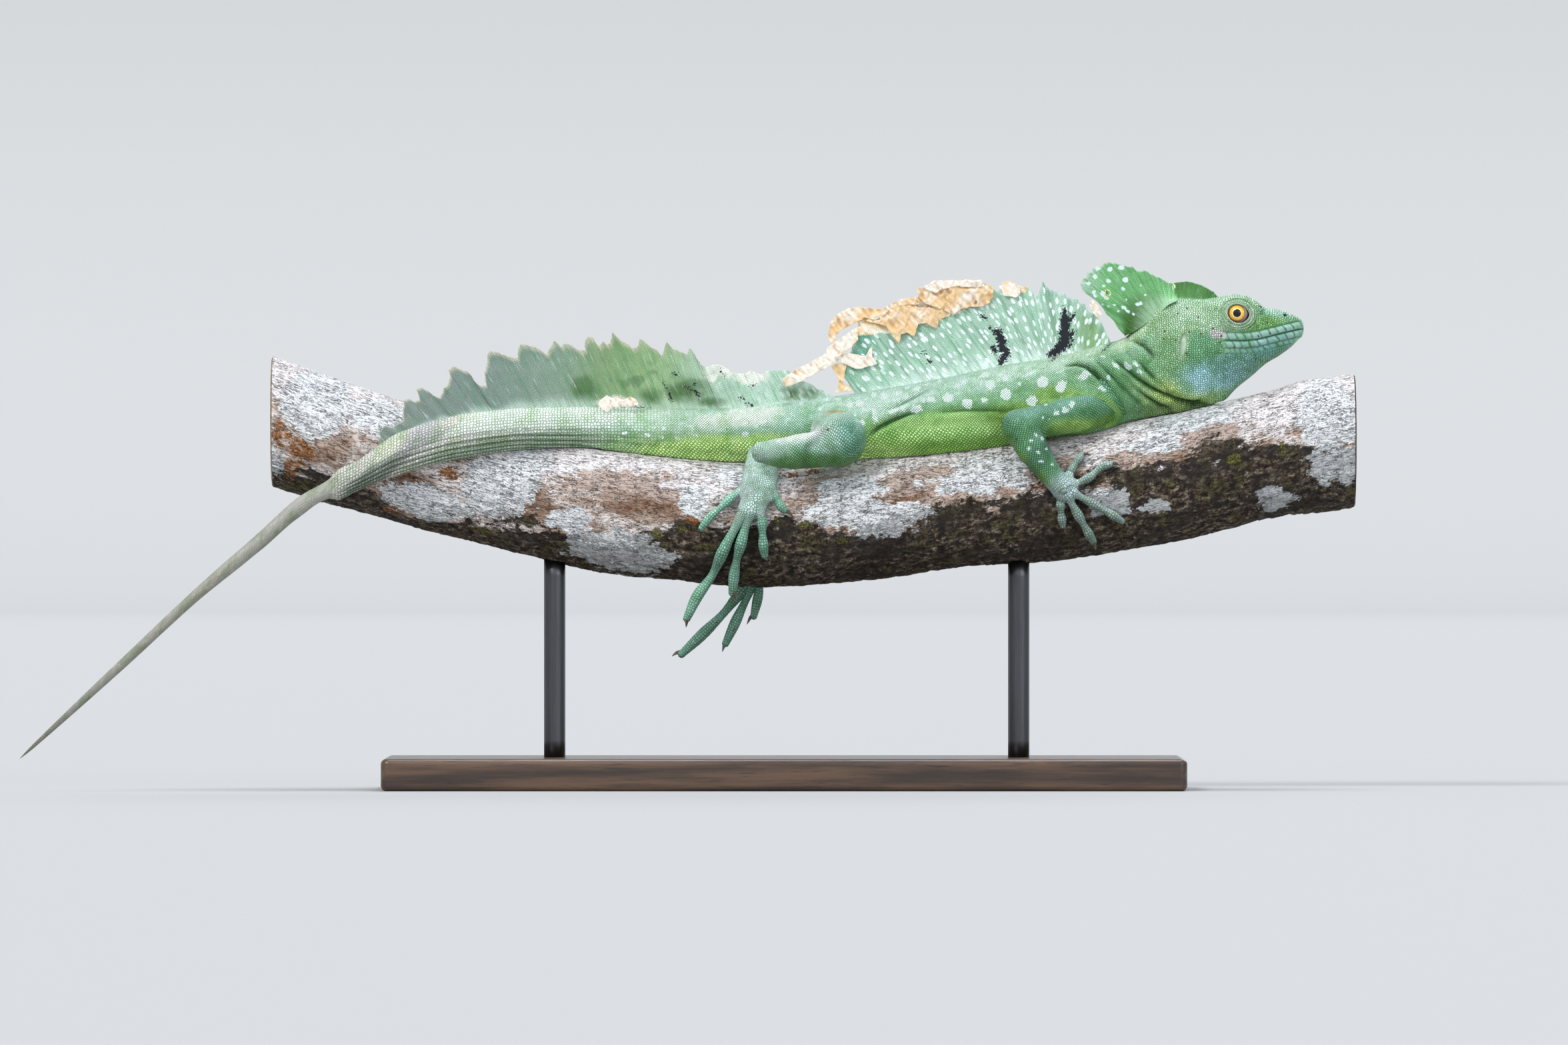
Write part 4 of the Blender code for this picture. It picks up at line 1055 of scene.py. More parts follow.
def tube_patch(
    path: Array,
    radius: Array,
    sides: int,
    facing: Array,
    thin: Array | None = None,
    ends: tuple[float, float] = (1.0, 1.0),
) -> Patch:
    """A round or flattened tube along a path, with domed ends.

    Each ring is an ellipse square to the path. At an end the rings shrink as the cosine of an
    angle while they move on as its sine.

    Args:
        path: Places along the middle, (n, 3).
        radius: Half width at each place.
        sides: Points round a ring.
        facing: The direction of the first flat coordinate's start, (3,) or (n, 3).
        thin: Half depth along facing, where it isn't round.
        ends: How far each dome stands out, in radii.

    Returns:
        The patch, whose flat coordinates run along it and round it.
    """
    turn = np.radians([86, 68, 46, 22])
    tangent = np.gradient(path, axis=0)
    tangent /= np.linalg.norm(tangent, axis=1)[:, None]
    depth = radius if thin is None else thin
    front = path[0] - np.outer(np.sin(turn) * ends[0] * min(radius[0], depth[0]), tangent[0])
    back = path[-1] + np.outer(np.sin(turn[::-1]) * ends[1] * min(radius[-1], depth[-1]), tangent[-1])
    shrink = np.concatenate([np.cos(turn), np.ones(len(path)), np.cos(turn[::-1])])
    pad = len(turn)
    path = np.vstack([front, path, back])
    radius, depth = np.pad(radius, pad, mode="edge") * shrink, np.pad(depth, pad, mode="edge") * shrink
    tangent = np.pad(tangent, ((pad, pad), (0, 0)), mode="edge")
    out = np.broadcast_to(facing, (len(path) - 2 * pad, 3))
    out = np.pad(out, ((pad, pad), (0, 0)), mode="edge")
    out = out - tangent * np.sum(out * tangent, axis=1)[:, None]
    out /= np.linalg.norm(out, axis=1)[:, None]
    across = np.cross(tangent, out)
    around = np.linspace(-math.pi, math.pi, sides, endpoint=False)
    points = (
        path[:, None]
        + (np.cos(around)[None, :] * depth[:, None])[..., None] * out[:, None]
        + (np.sin(around)[None, :] * radius[:, None])[..., None] * across[:, None]
    )
    width = np.linspace(-math.pi, math.pi, sides + 1) * radius.mean()
    along, width = np.broadcast_arrays(lengths_along(path)[:, None], width)
    return Patch(points, np.stack([along, width], axis=-1))


# Folds of the skin in side view: (x, z, half width) along each, depth, and swelling behind
FOLDS = (
    (
        (
            (128.4, 168.4, 0), (131.6, 167.9, 0.1), (134.6, 166.4, 0.2), (137.2, 163.6, 0.2),
            (138.9, 161.4, 0),
        ),
        0.9, 0.6,
    ),
    (
        (
            (123, 161.8, 0), (128, 157.6, 0.1), (132.4, 153.8, 0.1), (137, 150.6, 0.2),
            (141.5, 148.3, 0.2), (146.6, 146, 0.2), (152.6, 144.9, 0.1), (161, 145.6, 0),
        ),
        1.8, 0.9,
    ),
    (
        ((132.5, 161, 0), (135.6, 156.9, 0.1), (139.6, 152.6, 0.1), (144, 149, 0.1), (149, 146.9, 0)),
        1.1, 0.5,
    ),
    (((125, 156.6, 0), (130.5, 151, 0.1), (136, 146.9, 0.1), (141, 143.9, 0.1), (147, 142.6, 0)), 1.1, 0.5),
    (
        (
            (104.8, 158.9, 0), (109.6, 159.5, 0.1), (113.2, 158.6, 0.2), (117, 155.4, 0.2),
            (120.2, 151.6, 0.3), (123.4, 147, 0.3), (126.2, 143.6, 0.3), (127.4, 140.4, 0.2),
        ),
        1.8, 0.9,
    ),
    (
        (
            (112, 161.4, 0), (117.4, 160, 0.1), (121.4, 156.2, 0.1), (125.6, 151.6, 0.1),
            (130.4, 147, 0.1), (135, 142.6, 0),
        ),
        1, 0.5,
    ),
    (((126, 166.6, 0), (129, 163, 0.1), (131.6, 158.8, 0)), 0.4, 0.2),
    (((31, 131.6, 0.3), (35, 135.2, 0.4), (40, 138.2, 0.4), (46, 140.6, 0.2), (53, 142.2, 0)), 1, 0.5),
    (((36, 139.6, 0), (43, 143.9, 0.1), (49, 147.2, 0.2), (56, 151, 0)), 0.6, 0.35),
    (((56, 141.2, 0), (68, 142.1, 0.1), (79, 142, 0.2), (90, 141.2, 0.1)), 0.7, 0.6),
    (((98, 146.5, 0), (103, 146.8, 0.1), (108, 149, 0)), 0.4, 0.3),
)
# Large pale spots on neck and flank: x, z, half length, half height, tilt in degrees
FLANK_SPOTS = (
    (33.6, 148, 1.1, 0.8, 20), (23.8, 150, 1, 0.6, 20), (15.9, 146, 1.3, 0.7, 10),
    (36.6, 151, 1.1, 0.6, 20), (40.5, 152.2, 1, 0.6, 20), (46.4, 150.8, 1.2, 0.7, 20),
    (58.2, 153, 1.1, 0.7, 20), (52.3, 145.8, 1, 0.9, 0), (65.1, 151.3, 1, 0.7, 0),
    (30, 142.5, 0.8, 0.7, 0), (27, 139.5, 0.6, 0.8, 0), (55, 146, 1.5, 1.3, 0), (61.3, 146.7, 2, 1.9, 20),
    (68.6, 144.4, 2.1, 2, -20), (74.8, 145.7, 1.3, 1.2, 0), (83, 147.9, 2.2, 2.2, -40),
    (92.6, 145.4, 2.1, 2.2, -50), (77.2, 151.7, 1.8, 2, 0), (96.8, 152.7, 2.3, 2.1, 30),
    (103.8, 150.9, 1.9, 2.4, -30), (82.8, 154, 1.1, 1, 0), (75.2, 155.2, 1.8, 1, 20),
    (67.3, 152.7, 1.6, 0.9, 20), (49.6, 149.8, 1.5, 1, 20), (42.8, 148.4, 1.6, 0.9, 20),
    (37.5, 147.2, 1.5, 1.5, 0), (28.2, 144.7, 1.8, 1.5, 0), (24.8, 144, 1, 1.6, 0),
    (40.8, 141.7, 2.4, 1.2, 20), (44.7, 142.8, 1.3, 1.5, 0), (49.6, 142.4, 2.3, 1.3, 10),
    (33.8, 141, 1, 1.6, 0), (34.3, 138.6, 1, 1.5, 0), (29.6, 137.2, 1, 1.5, 0),
    (112.2, 154.6, 2.3, 1.1, 25), (113.3, 155.6, 1.6, 1.2, 0), (104.3, 151.2, 1.5, 1.2, 0),
    (118.8, 150, 1.7, 1, -20), (121.5, 154, 1.2, 0.9, -40), (124.2, 158.6, 1.6, 1, -40),
    (128.5, 158.6, 1.8, 1, -40), (131.9, 159.3, 1.7, 0.8, -45), (133.3, 156.2, 1.6, 0.7, -45),
    (119.5, 162, 0.8, 0.6, 0), (108.5, 144, 1.2, 1, 0), (88, 152, 0.8, 0.7, 0), (60.4, 157.4, 1.3, 1.5, 0),
    (67.4, 158.3, 0.8, 0.9, 0), (71.6, 157.8, 1.2, 0.6, 0), (55.8, 154.3, 1.8, 0.5, 4),
    (87, 157.9, 1.5, 0.5, 25), (92.6, 155.7, 2.4, 0.7, 25), (81.2, 155.2, 1, 0.8, 0),
    (103.4, 156.6, 1.5, 0.5, 20), (32.2, 148.9, 1.2, 0.5, 0), (45.8, 147, 0.9, 0.6, 10),
    (53.4, 151.9, 1.5, 0.5, 20), (60.4, 151.8, 1, 0.4, 10), (20.4, 146, 0.9, 0.7, 0),
    (13.8, 142, 0.7, 1.2, 0), (6.6, 144.6, 0.6, 0.9, 0), (1.6, 138.6, 0.9, 0.8, 0),
    (10.4, 138.4, 0.6, 0.5, 0), (-14.4, 133.2, 1.3, 1.1, 0), (-19, 130.2, 0.8, 0.4, 0),
    (-33, 132.4, 0.8, 1, 0), (-39.8, 131.8, 0.7, 0.5, 0), (-35, 136, 0.9, 0.5, 0),
    (-45, 135.2, 0.8, 0.7, 0), (-45.4, 131.8, 0.9, 0.5, 0), (-51.2, 133, 1.2, 0.8, 0),
    (-59.4, 133.6, 1, 0.6, 0), (-27, 138, 1, 0.6, 0),
)
# Black spatter on the skin: (x, z, half width) along each
SPATTER = (
    ((124.4, 168.5, 0.8), (122.6, 167.4, 1.1), (119.6, 164.4, 1), (118, 163, 0.5)),
    ((107, 165, 0.9), (103, 162.8, 1.3), (100.4, 160.9, 1.1), (98.2, 158.6, 0.8), (96.2, 157, 0.3)),
    ((80.4, 158.2, 0.3), (77, 158.4, 0.2), (73.6, 156.7, 0.3)),
    ((-9.8, 136, 0.8), (-8.2, 136.9, 0.7)),
    ((-7, 138.2, 0.7), (-5.8, 138.9, 0.6)),
)
# Airbrushed patches of the skin in side view: x, z, half length, half height, tilt in degrees,
# softness, strength and colour
WASHES = (
    # painted highlight: the pale band along the top of the back
    (30, 149.5, 90, 8, 9, 0.9, 0.9, (0.56, 0.76, 0.68)),  # pale back
    (95, 160.5, 26, 4.5, 12, 0.9, 0.85, (0.58, 0.76, 0.64)),
    (60, 129, 46, 12, 5, 0.75, 0.95, (0.24, 0.48, 0.075)),  # lime belly
    # painted highlight on the belly
    (64, 136, 28, 4.6, 5, 1.1, 0.8, (0.5, 0.81, 0.3)),
    (42, 146.5, 14, 5.5, 22, 0.9, 0.6, (0.66, 0.82, 0.78)),
    (94, 139.5, 18, 5.4, 0, 0.8, 0.85, (0.24, 0.43, 0.06)),
    (101, 147.5, 9, 3.6, 8, 0.9, 0.85, (0.27, 0.47, 0.1)),
    (117, 143.5, 10, 4.2, -10, 0.8, 0.85, (0.26, 0.47, 0.07)),
    (111, 163.5, 13, 3.6, 14, 0.9, 0.8, (0.6, 0.78, 0.62)),  # nape
    (131, 170.5, 9, 3.4, 40, 0.7, 0.9, (0.62, 0.76, 0.56)),
    (128, 152, 13, 9, -40, 0.9, 0.7, (0.15, 0.37, 0.17)),
    (139, 149, 9, 6, -25, 0.9, 0.75, (0.46, 0.68, 0.36)),
    (150, 148.5, 13, 5.4, 8, 0.9, 0.85, (0.47, 0.63, 0.17)),  # throat pouch
    (147, 142.5, 13, 3, 4, 0.8, 0.8, (0.2, 0.29, 0.1)),
    (161, 155.5, 13, 6.2, 15, 0.8, 0.92, (0.42, 0.73, 0.86)),  # blue throat
    (171, 160.5, 13, 5.5, 27, 0.8, 0.8, (0.17, 0.36, 0.33)),
    (184, 166, 9, 4.5, 25, 0.8, 0.75, (0.17, 0.4, 0.36)),
    (156, 165, 9, 7, 0, 0.9, 0.6, (0.11, 0.34, 0.18)),  # cheek
    (151, 177.5, 18, 5.4, -6, 0.9, 0.85, (0.46, 0.63, 0.46)),  # temple
    (140, 176, 5, 8, 30, 0.9, 0.7, (0.4, 0.56, 0.36)),
    (143, 166, 6, 8, 0, 0.9, 0.5, (0.28, 0.46, 0.25)),
    (160, 183, 12, 2.6, 0, 0.8, 0.8, (0.52, 0.72, 0.54)),
    (171, 184.6, 9, 2.8, -12, 0.7, 0.8, (0.5, 0.68, 0.54)),  # brow
    (186, 179.2, 8, 2.2, -12, 0.7, 0.8, (0.42, 0.64, 0.56)),  # top of the snout
    (180, 174, 7, 3.2, 8, 0.8, 0.8, (0.2, 0.43, 0.13)),
    (193, 175, 2.6, 2.6, 0, 0.7, 0.7, (0.2, 0.4, 0.18)),
    (163, 170.6, 3.6, 1.9, 0, 0.6, 0.8, (0.56, 0.5, 0.54)),  # corner of the mouth
    (186, 161, 6, 2, 38, 0.8, 0.7, (0.24, 0.3, 0.14)),
    (-12, 127, 54, 5.8, 0, 0.7, 0.95, (0.56, 0.8, 0.27)),  # lime under the tail's base
    (-44, 137.5, 18, 4.4, 0, 0.8, 0.7, (0.52, 0.68, 0.54)),
    # painted highlight on top of the tail's base
    (-15, 139.6, 15, 3.6, 6, 0.8, 0.95, (0.84, 0.9, 0.85)),
    (-74, 138.5, 9, 3.6, 0, 0.9, 0.7, (0.72, 0.78, 0.76)),
    (8, 139, 10, 4.5, 0, 0.9, 0.6, (0.36, 0.6, 0.46)),
    (-95, 140.5, 47, 5.6, 3, 0.7, 0.9, (0.68, 0.76, 0.68)),
    (-62, 131, 26, 3.2, 4, 0.7, 0.6, (0.26, 0.44, 0.2)),
    (-100, 127.5, 38, 4.2, 8, 0.6, 0.8, (0.34, 0.45, 0.32)),
    (-134, 133, 16, 4.2, 32, 0.5, 0.7, (0.36, 0.34, 0.38)),
    (-122, 138.5, 8, 2, 24, 0.8, 0.6, (0.6, 0.6, 0.48)),
    (-147, 128, 7, 3, 40, 0.7, 0.8, (0.6, 0.62, 0.48)),
    (-161, 117, 10, 4.2, 40, 0.5, 0.8, (0.44, 0.45, 0.4)),
    (-152, 118, 14, 3, 35, 0.7, 0.75, (0.13, 0.17, 0.13)),
)
# Landmarks of the head in side view: (x, z)
MOUTH = ((166, 168.3), (172.4, 168.2), (177.5, 168.75), (182.5, 170), (187.75, 171.3), (194.6, 172.9))
MOUTH_CORNER = 163.5  # its x
BROW = ((159, 181.2), (163.5, 183.9), (170, 184.9), (175, 183.4), (178.6, 180.4))
EYE = (169.6, 6.6, 178.4)  # middle of the left eyeball
EYE_RADIUS = 4.4
BROW_ARC = ((162.6, 181), (166.6, 183.3), (171.4, 183.4), (175.4, 181.2), (177.4, 178.6))
CHEEK_ARC = ((164.2, 172.9), (168.6, 171.4), (174.4, 172.2), (178.4, 175))
NOSTRIL = (188, 178)
EAR = (149.4, 166.5)
COLLAR = -168.1  # where the regrown tail starts
# Colour of the skin before the washes: x, red, green, blue
RING_TONES = (
    (-284, 0.26, 0.25, 0.21),
    (-200, 0.34, 0.325, 0.285),
    (COLLAR - 1.5, 0.40, 0.39, 0.35),
    (COLLAR + 0.5, 0.56, 0.53, 0.50),
    (-130, 0.60, 0.61, 0.56),
    (-60, 0.32, 0.46, 0.34),
    (0, 0.28, 0.50, 0.36),
    (60, 0.25, 0.48, 0.28),
    (110, 0.22, 0.45, 0.24),
    (140, 0.22, 0.45, 0.23),
    (195, 0.24, 0.47, 0.26),
)
# Upper edge of the belly's scales: x, the height where they start and where they are full
BELLY_EDGE = ((-60, 131, 129.5), (0, 131, 129.5), (40, 136, 134), (90, 138, 136), (110, 136, 134))


def washed(tint: Array, x: Array, z: Array, washes: Sequence) -> Array:
    """Lays airbrushed patches over a colour.

    A patch is full inside its ellipse and fades over its softness, with an edge that wavers.

    Args:
        tint: The colour of each place.
        x: Place along the body.
        z: Height.
        washes: The patches in turn, as in the table above.

    Returns:
        The new colour of each place.
    """
    waver = 0.17 * noise(side_view(x, z), 5.0, 83, 3)
    for *spot, soft, strength, colour in washes:
        size = waver + oval(x, z, spot)
        tint = toward(tint, strength * ease(size, 1 + soft / 2, 1 - soft / 2), colour)
    return tint


@dataclass
class Skin:
    """Head, trunk and tail in one skin, with the relief of folds, lips, brow, ear and collar."""

    form: Trunk
    limbs: Sequence[Length]
    sides: int = 184
    # Parts of the body's length: start, end and rings
    lengths: tuple = (
        (194.4, 158, 100), (158, 128, 64), (128, 96, 72), (96, 12, 100), (12, -168, 126), (-168, -284.2, 70),
    )
    face_crowding: float = 0.62  # how much closer the columns stand at the mouth line

    def grid(self) -> tuple[Array, Array]:
        """Section places from snout to tail, and the angles of each ring's points.

        Angles run evenly, plus a sine wave that crowds them at 90 degrees on the head.

        Returns:
            The places (rows,) and the angles (rows, sides), from -180 to 180 degrees.
        """
        parts = [np.linspace(start, end, rings, endpoint=False) for start, end, rings in self.lengths]
        x = np.concatenate([*parts, [self.lengths[-1][1]]])
        t = np.linspace(-1, 1, self.sides, endpoint=False)
        crowd = self.face_crowding * ease(x, 122.0, 150.0)[:, None]
        return x, math.pi * (t + crowd * np.sin(TURN * t) / TURN)

    def build(self, finish: Material) -> Piece:
        """Makes the skin.

        Args:
            finish: The skin's material.

        Returns:
            The piece.
        """
        x, angle = self.grid()
        points = self.form.points(x, angle)
        patch = Patch(points, np.zeros((1, 1, 2)))
        normal = patch.normals()
        sideways = ease(np.abs(normal[..., 1]), 0.15, 0.6)
        px, pz = points[..., 0], points[..., 2]
        relief = self.folds(px, pz) * ease(np.abs(normal[..., 1]), 0.05, 0.35)
        face, line = self.face(px, pz)
        relief += face * sideways + self.tail(px, angle)
        relief += 0.16 * noise(points, 9.0, 3, 2) * ease(px, 190, 180) * ease(px, -280, -150)
        points = points + normal * relief[..., None]
        near = (x > -25) & (x < 140)
        points[near] = blended(points[near], normal[near], self.limbs, 5.0)
        down = ease(np.cos(angle), -0.05, -0.75) * ease(px, 168, 161) * ease(px, -78, -66)
        points = kept_off_bark(rested(points, down))
        patch.points, patch.flat = points, self.unrolled(points, angle)
        patch.fields = self.painted(px, pz, angle, relief, line * sideways)
        patch.points = self.rounded_ends(patch.points)
        return mesh_piece("skin_body", [patch], [finish])

    def rounded_ends(self, points: Array) -> Array:
        """Closes the snout, whose last rings also draw together along x, and the tail's tip."""
        base, middle = points[3], points[3].mean(axis=0)
        for row, share in enumerate(np.cos(np.radians([84, 58, 32, 10]))):
            points[row] = middle + (base - middle) * share
            points[row, :, 0] = middle[0] + 1.54 * math.sqrt(1 - share * share)
        for row, share in ((-1, 0.15), (-2, 0.62), (-3, 0.90)):
            middle = points[row].mean(axis=0)
            points[row] = middle + (points[row] - middle) * share
        return points

    def unrolled(self, points: Array, angle: Array) -> Array:
        """Flat coordinates: the length along the middle, and the length round from the back."""
        along = lengths_along(points.mean(axis=1))
        shut = joined(points)
        steps = np.linalg.norm(np.diff(shut, axis=1), axis=2)
        around = np.pad(np.cumsum(steps, axis=1), ((0, 0), (1, 0)))
        top = around[:, [angle.shape[1] // 2]]
        return np.stack([np.broadcast_to(along[:, None], around.shape), around - top], axis=-1)

    def folds(self, x: Array, z: Array) -> Array:
        """Each fold is a narrow bell cut in, with a wider swelling below and behind it."""
        relief = np.zeros(x.shape)
        for line, depth, swell in FOLDS:
            away, share = off_line(x, z, line)
            fade = np.sqrt(np.clip(np.sin(math.pi * share), 0, 1))
            relief -= depth * fade * hump(np.maximum(away, 0), 0, 0.62)
            relief += swell * fade * hump(away, 2.1, 1.3)
        return relief

    def face(self, x: Array, z: Array) -> tuple[Array, Array]:
        """Mouth line between two rows of lip plates, chin plates, brow, eye hollow, nostril and ear.

        Args:
            x: Place along the body.
            z: Height before relief.

        Returns:
            How far each place stands out, and the darkness of the gaps between the plates.
        """
        off = z - line_at(x, MOUTH)
        opened = ease(x, MOUTH_CORNER - 1.0, MOUTH_CORNER + 3.0)
        slit = opened * hump(off + 0.15, 0, 0.34)
        relief = opened * 0.42 * hump(np.abs(off), 1.5, 1.0) - 0.70 * slit
        lip = opened * ease(np.abs(off), 3.3, 2.7) * ease(np.abs(off), 0.15, 0.5)
        loose = noise(side_view(x, z), 3.2, 91, 2)
        seam = np.abs(((x + 0.5 * off + 0.7 * loose) / np.where(off > 0, 3.0, 3.3) + 0.3) % 1 - 0.5)
        seam = lip * ease(seam, 0.385, 0.475)
        under = opened * hump(np.abs(off), 2.95, 0.30)
        chin = ease(x, 156, 166) * ease(off, -2.9, -3.3) * ease(off, -5.3, -5.0)
        plate = np.abs(((x + 0.6 * off + 0.9 * loose) / 2.25) % 1 - 0.5)
        chin = chin * np.maximum(ease(plate, 0.36, 0.465), hump(off + 0.3 * loose, -5.0, 0.3))
        relief -= 0.26 * np.maximum.reduce([seam, under, chin])
        line = np.maximum.reduce([slit, 0.95 * seam, 0.95 * under, 0.85 * chin])
        for arc, depth, wide in ((BROW, 0.85, 1.3), (BROW_ARC, 0.35, 0.7), (CHEEK_ARC, 0.30, 0.7)):
            away, _ = off_line(x, z, arc)
            groove = hump(away, 1.7 * wide, 0.5 * wide) * (z < 184)
            relief += depth * (hump(away, 0, wide) - 0.45 * groove)
        eye = np.hypot((x - 170.6) / 6.8, (z - 178.2) / 5.7)
        relief -= 3.2 * ease(eye, 1.0, 0.72)
        nostril = self.nostril(x, z)
        relief += 0.30 * hump(nostril, 1.35, 0.5) - 1.3 * hump(nostril, 0, 0.72)
        ridge, _ = off_line(x, z, ((179, 180.0), (186, 178.9), (191, 176.9)))
        relief += 0.22 * hump(ridge, 0, 0.9) * ease(nostril, 1.0, 2.4)
        ear = self.ear(x, z)
        drum = ease(ear, 1.2, 0.7) * (0.5 + 0.5 * ease(x, EAR[0] + 1.2, EAR[0] - 1.4))
        relief += 0.50 * hump(ear, 1.45, 0.30) - 0.65 * drum
        line = np.maximum(line, 0.45 * hump(ear, 1.08, 0.12) * ease(x, EAR[0] + 0.6, EAR[0] - 0.6))
        jaw, _ = off_line(x, z, ((148, 157), (158, 162.5), (165, 165.5)))
        return relief + 0.6 * hump(jaw, 0, 3.6), line

    def nostril(self, x: Array, z: Array) -> Array:
        """The scaled distance from the middle of the nostril, which is a little wider than high."""
        return np.hypot(x - NOSTRIL[0], (z - NOSTRIL[1]) * 1.25)

    def ear(self, x: Array, z: Array) -> Array:
        """The scaled distance from the middle of the eardrum, an oval that leans back: 1 at its rim."""
        across, up = x - EAR[0] - 0.12 * (z - EAR[1]), z - EAR[1]
        return np.hypot(across / 1.25, up / 3.7)

    def tail(self, x: Array, angle: Array) -> Array:
        """Lengthwise keels low on the tail, and the ragged collar where the new tail starts."""
        keels = 0.5 + 0.5 * np.cos(angle * KEELS)
        low = ease(np.cos(angle), 0.35, -0.25) * ease(x, -20, -70) * ease(x, COLLAR - 1, COLLAR + 8)
        new = ease(x, COLLAR - 1, COLLAR - 4)
        ragged = COLLAR + 2.0 + 1.2 * np.sin(angle * 5) + 0.7 * np.sin(angle * 11 + 1)
        lip = 0.5 * ease(x, ragged - 0.6, ragged) * ease(x, ragged + 5, ragged)
        return 0.22 * keels * low + 0.06 * keels * new + lip

    def painted(self, x: Array, z: Array, angle: Array, relief: Array, line: Array) -> dict[str, Array]:
        """The colour of each place, and the maps that the skin's finish reads.

        The colour starts from a few rings along the body and takes each wash in turn, some of them painted
        highlights, and it is darkened as painted shade where the relief is cut in.

        Args:
            x: Place along the body.
            z: Height before relief.
            angle: Angle round the ring.
            relief: How far the surface was pushed out.
            line: How dark the gaps between the plates of the face are.

        Returns:
            tint, scales, belly, spot, ink and mites for each point.
        """
        base = smooth_rows(RING_TONES, x.ravel()).reshape(*x.shape, 3)
        base = washed(base, x, z, WASHES)
        low = ease(np.cos(angle), 0.25, -0.35) * ease(x, -60, -80) * ease(x, COLLAR, COLLAR + 6)
        lines = (low * ease(np.cos(angle * KEELS), 0.1, -0.7))[..., None]
        base = base * (1 - 0.64 * lines)
        mouth, spot = line_at(x, MOUTH), side_view(x, z)
        lips = ease(x, MOUTH_CORNER, MOUTH_CORNER + 3) * ease(np.abs(z - mouth), 3.4, 2.8)
        chin = ease(x, 163.5, 166.5) * ease(z, mouth - 5.4, mouth - 5.0) * (z < mouth)
        base = toward(base, 0.72 * lips * (1 + 0.2 * noise(spot, 3.0, 77)), (0.27, 0.45, 0.43))
        # Painted shade where the relief is cut in, in folds, grooves, hollows and the mouth slit; line adds
        # the dark seams between the face's plates
        dark = np.maximum(ease(relief, -0.04, -0.85), line)[..., None]
        base = base * (1 - dark * (1 - np.array((0.10, 0.22, 0.08))))
        ear = self.ear(x, z)
        lit = 0.75 + 0.25 * ease(x, EAR[0] - 1.2, EAR[0] + 0.8)
        base = toward(base, ease(ear, 1.05, 0.8), lit[..., None] * (0.38, 0.48, 0.36))
        base = toward(base, 0.6 * hump(ear, 1.5, 0.28), (0.50, 0.58, 0.38))
        head = ease(x, 118, 140)
        tail = ease(x, -25, -70) * ease(x, -300, -240)
        bare = 1 - 0.7 * ease(x, COLLAR + 1, COLLAR - 2)
        smooth = np.maximum(ease(np.maximum(lips, chin), 0.0, 0.3), ease(ear, 1.15, 1.0))
        at, start, full = zip(*BELLY_EDGE)
        belly = ease(z + 0.8 * noise(spot, 4.0, 85, 3), np.interp(x, at, start), np.interp(x, at, full))
        belly = belly * ease(x, 112, 104) * ease(x, -66, -56)
        net = (1 - head) * (1 - tail) * (1 - belly)
        kinds = np.stack([net, head * (1 - smooth), tail * bare * (1 - belly)], axis=-1)
        ink = np.min([off_line(x, z, line)[0] for line in SPATTER], axis=0)
        mites = 0.42 * ease(x, 134, 150) * ease(x, 196, 182) * ease(z, 156, 164)
        return {
            "tint": base,
            "scales": kinds,
            "belly": belly,
            "spot": off_spots(x, z, FLANK_SPOTS),
            "ink": np.minimum(ink + 0.9, (self.nostril(x, z) - 0.75) * 3.5 + 0.6),
            "mites": mites,
        }


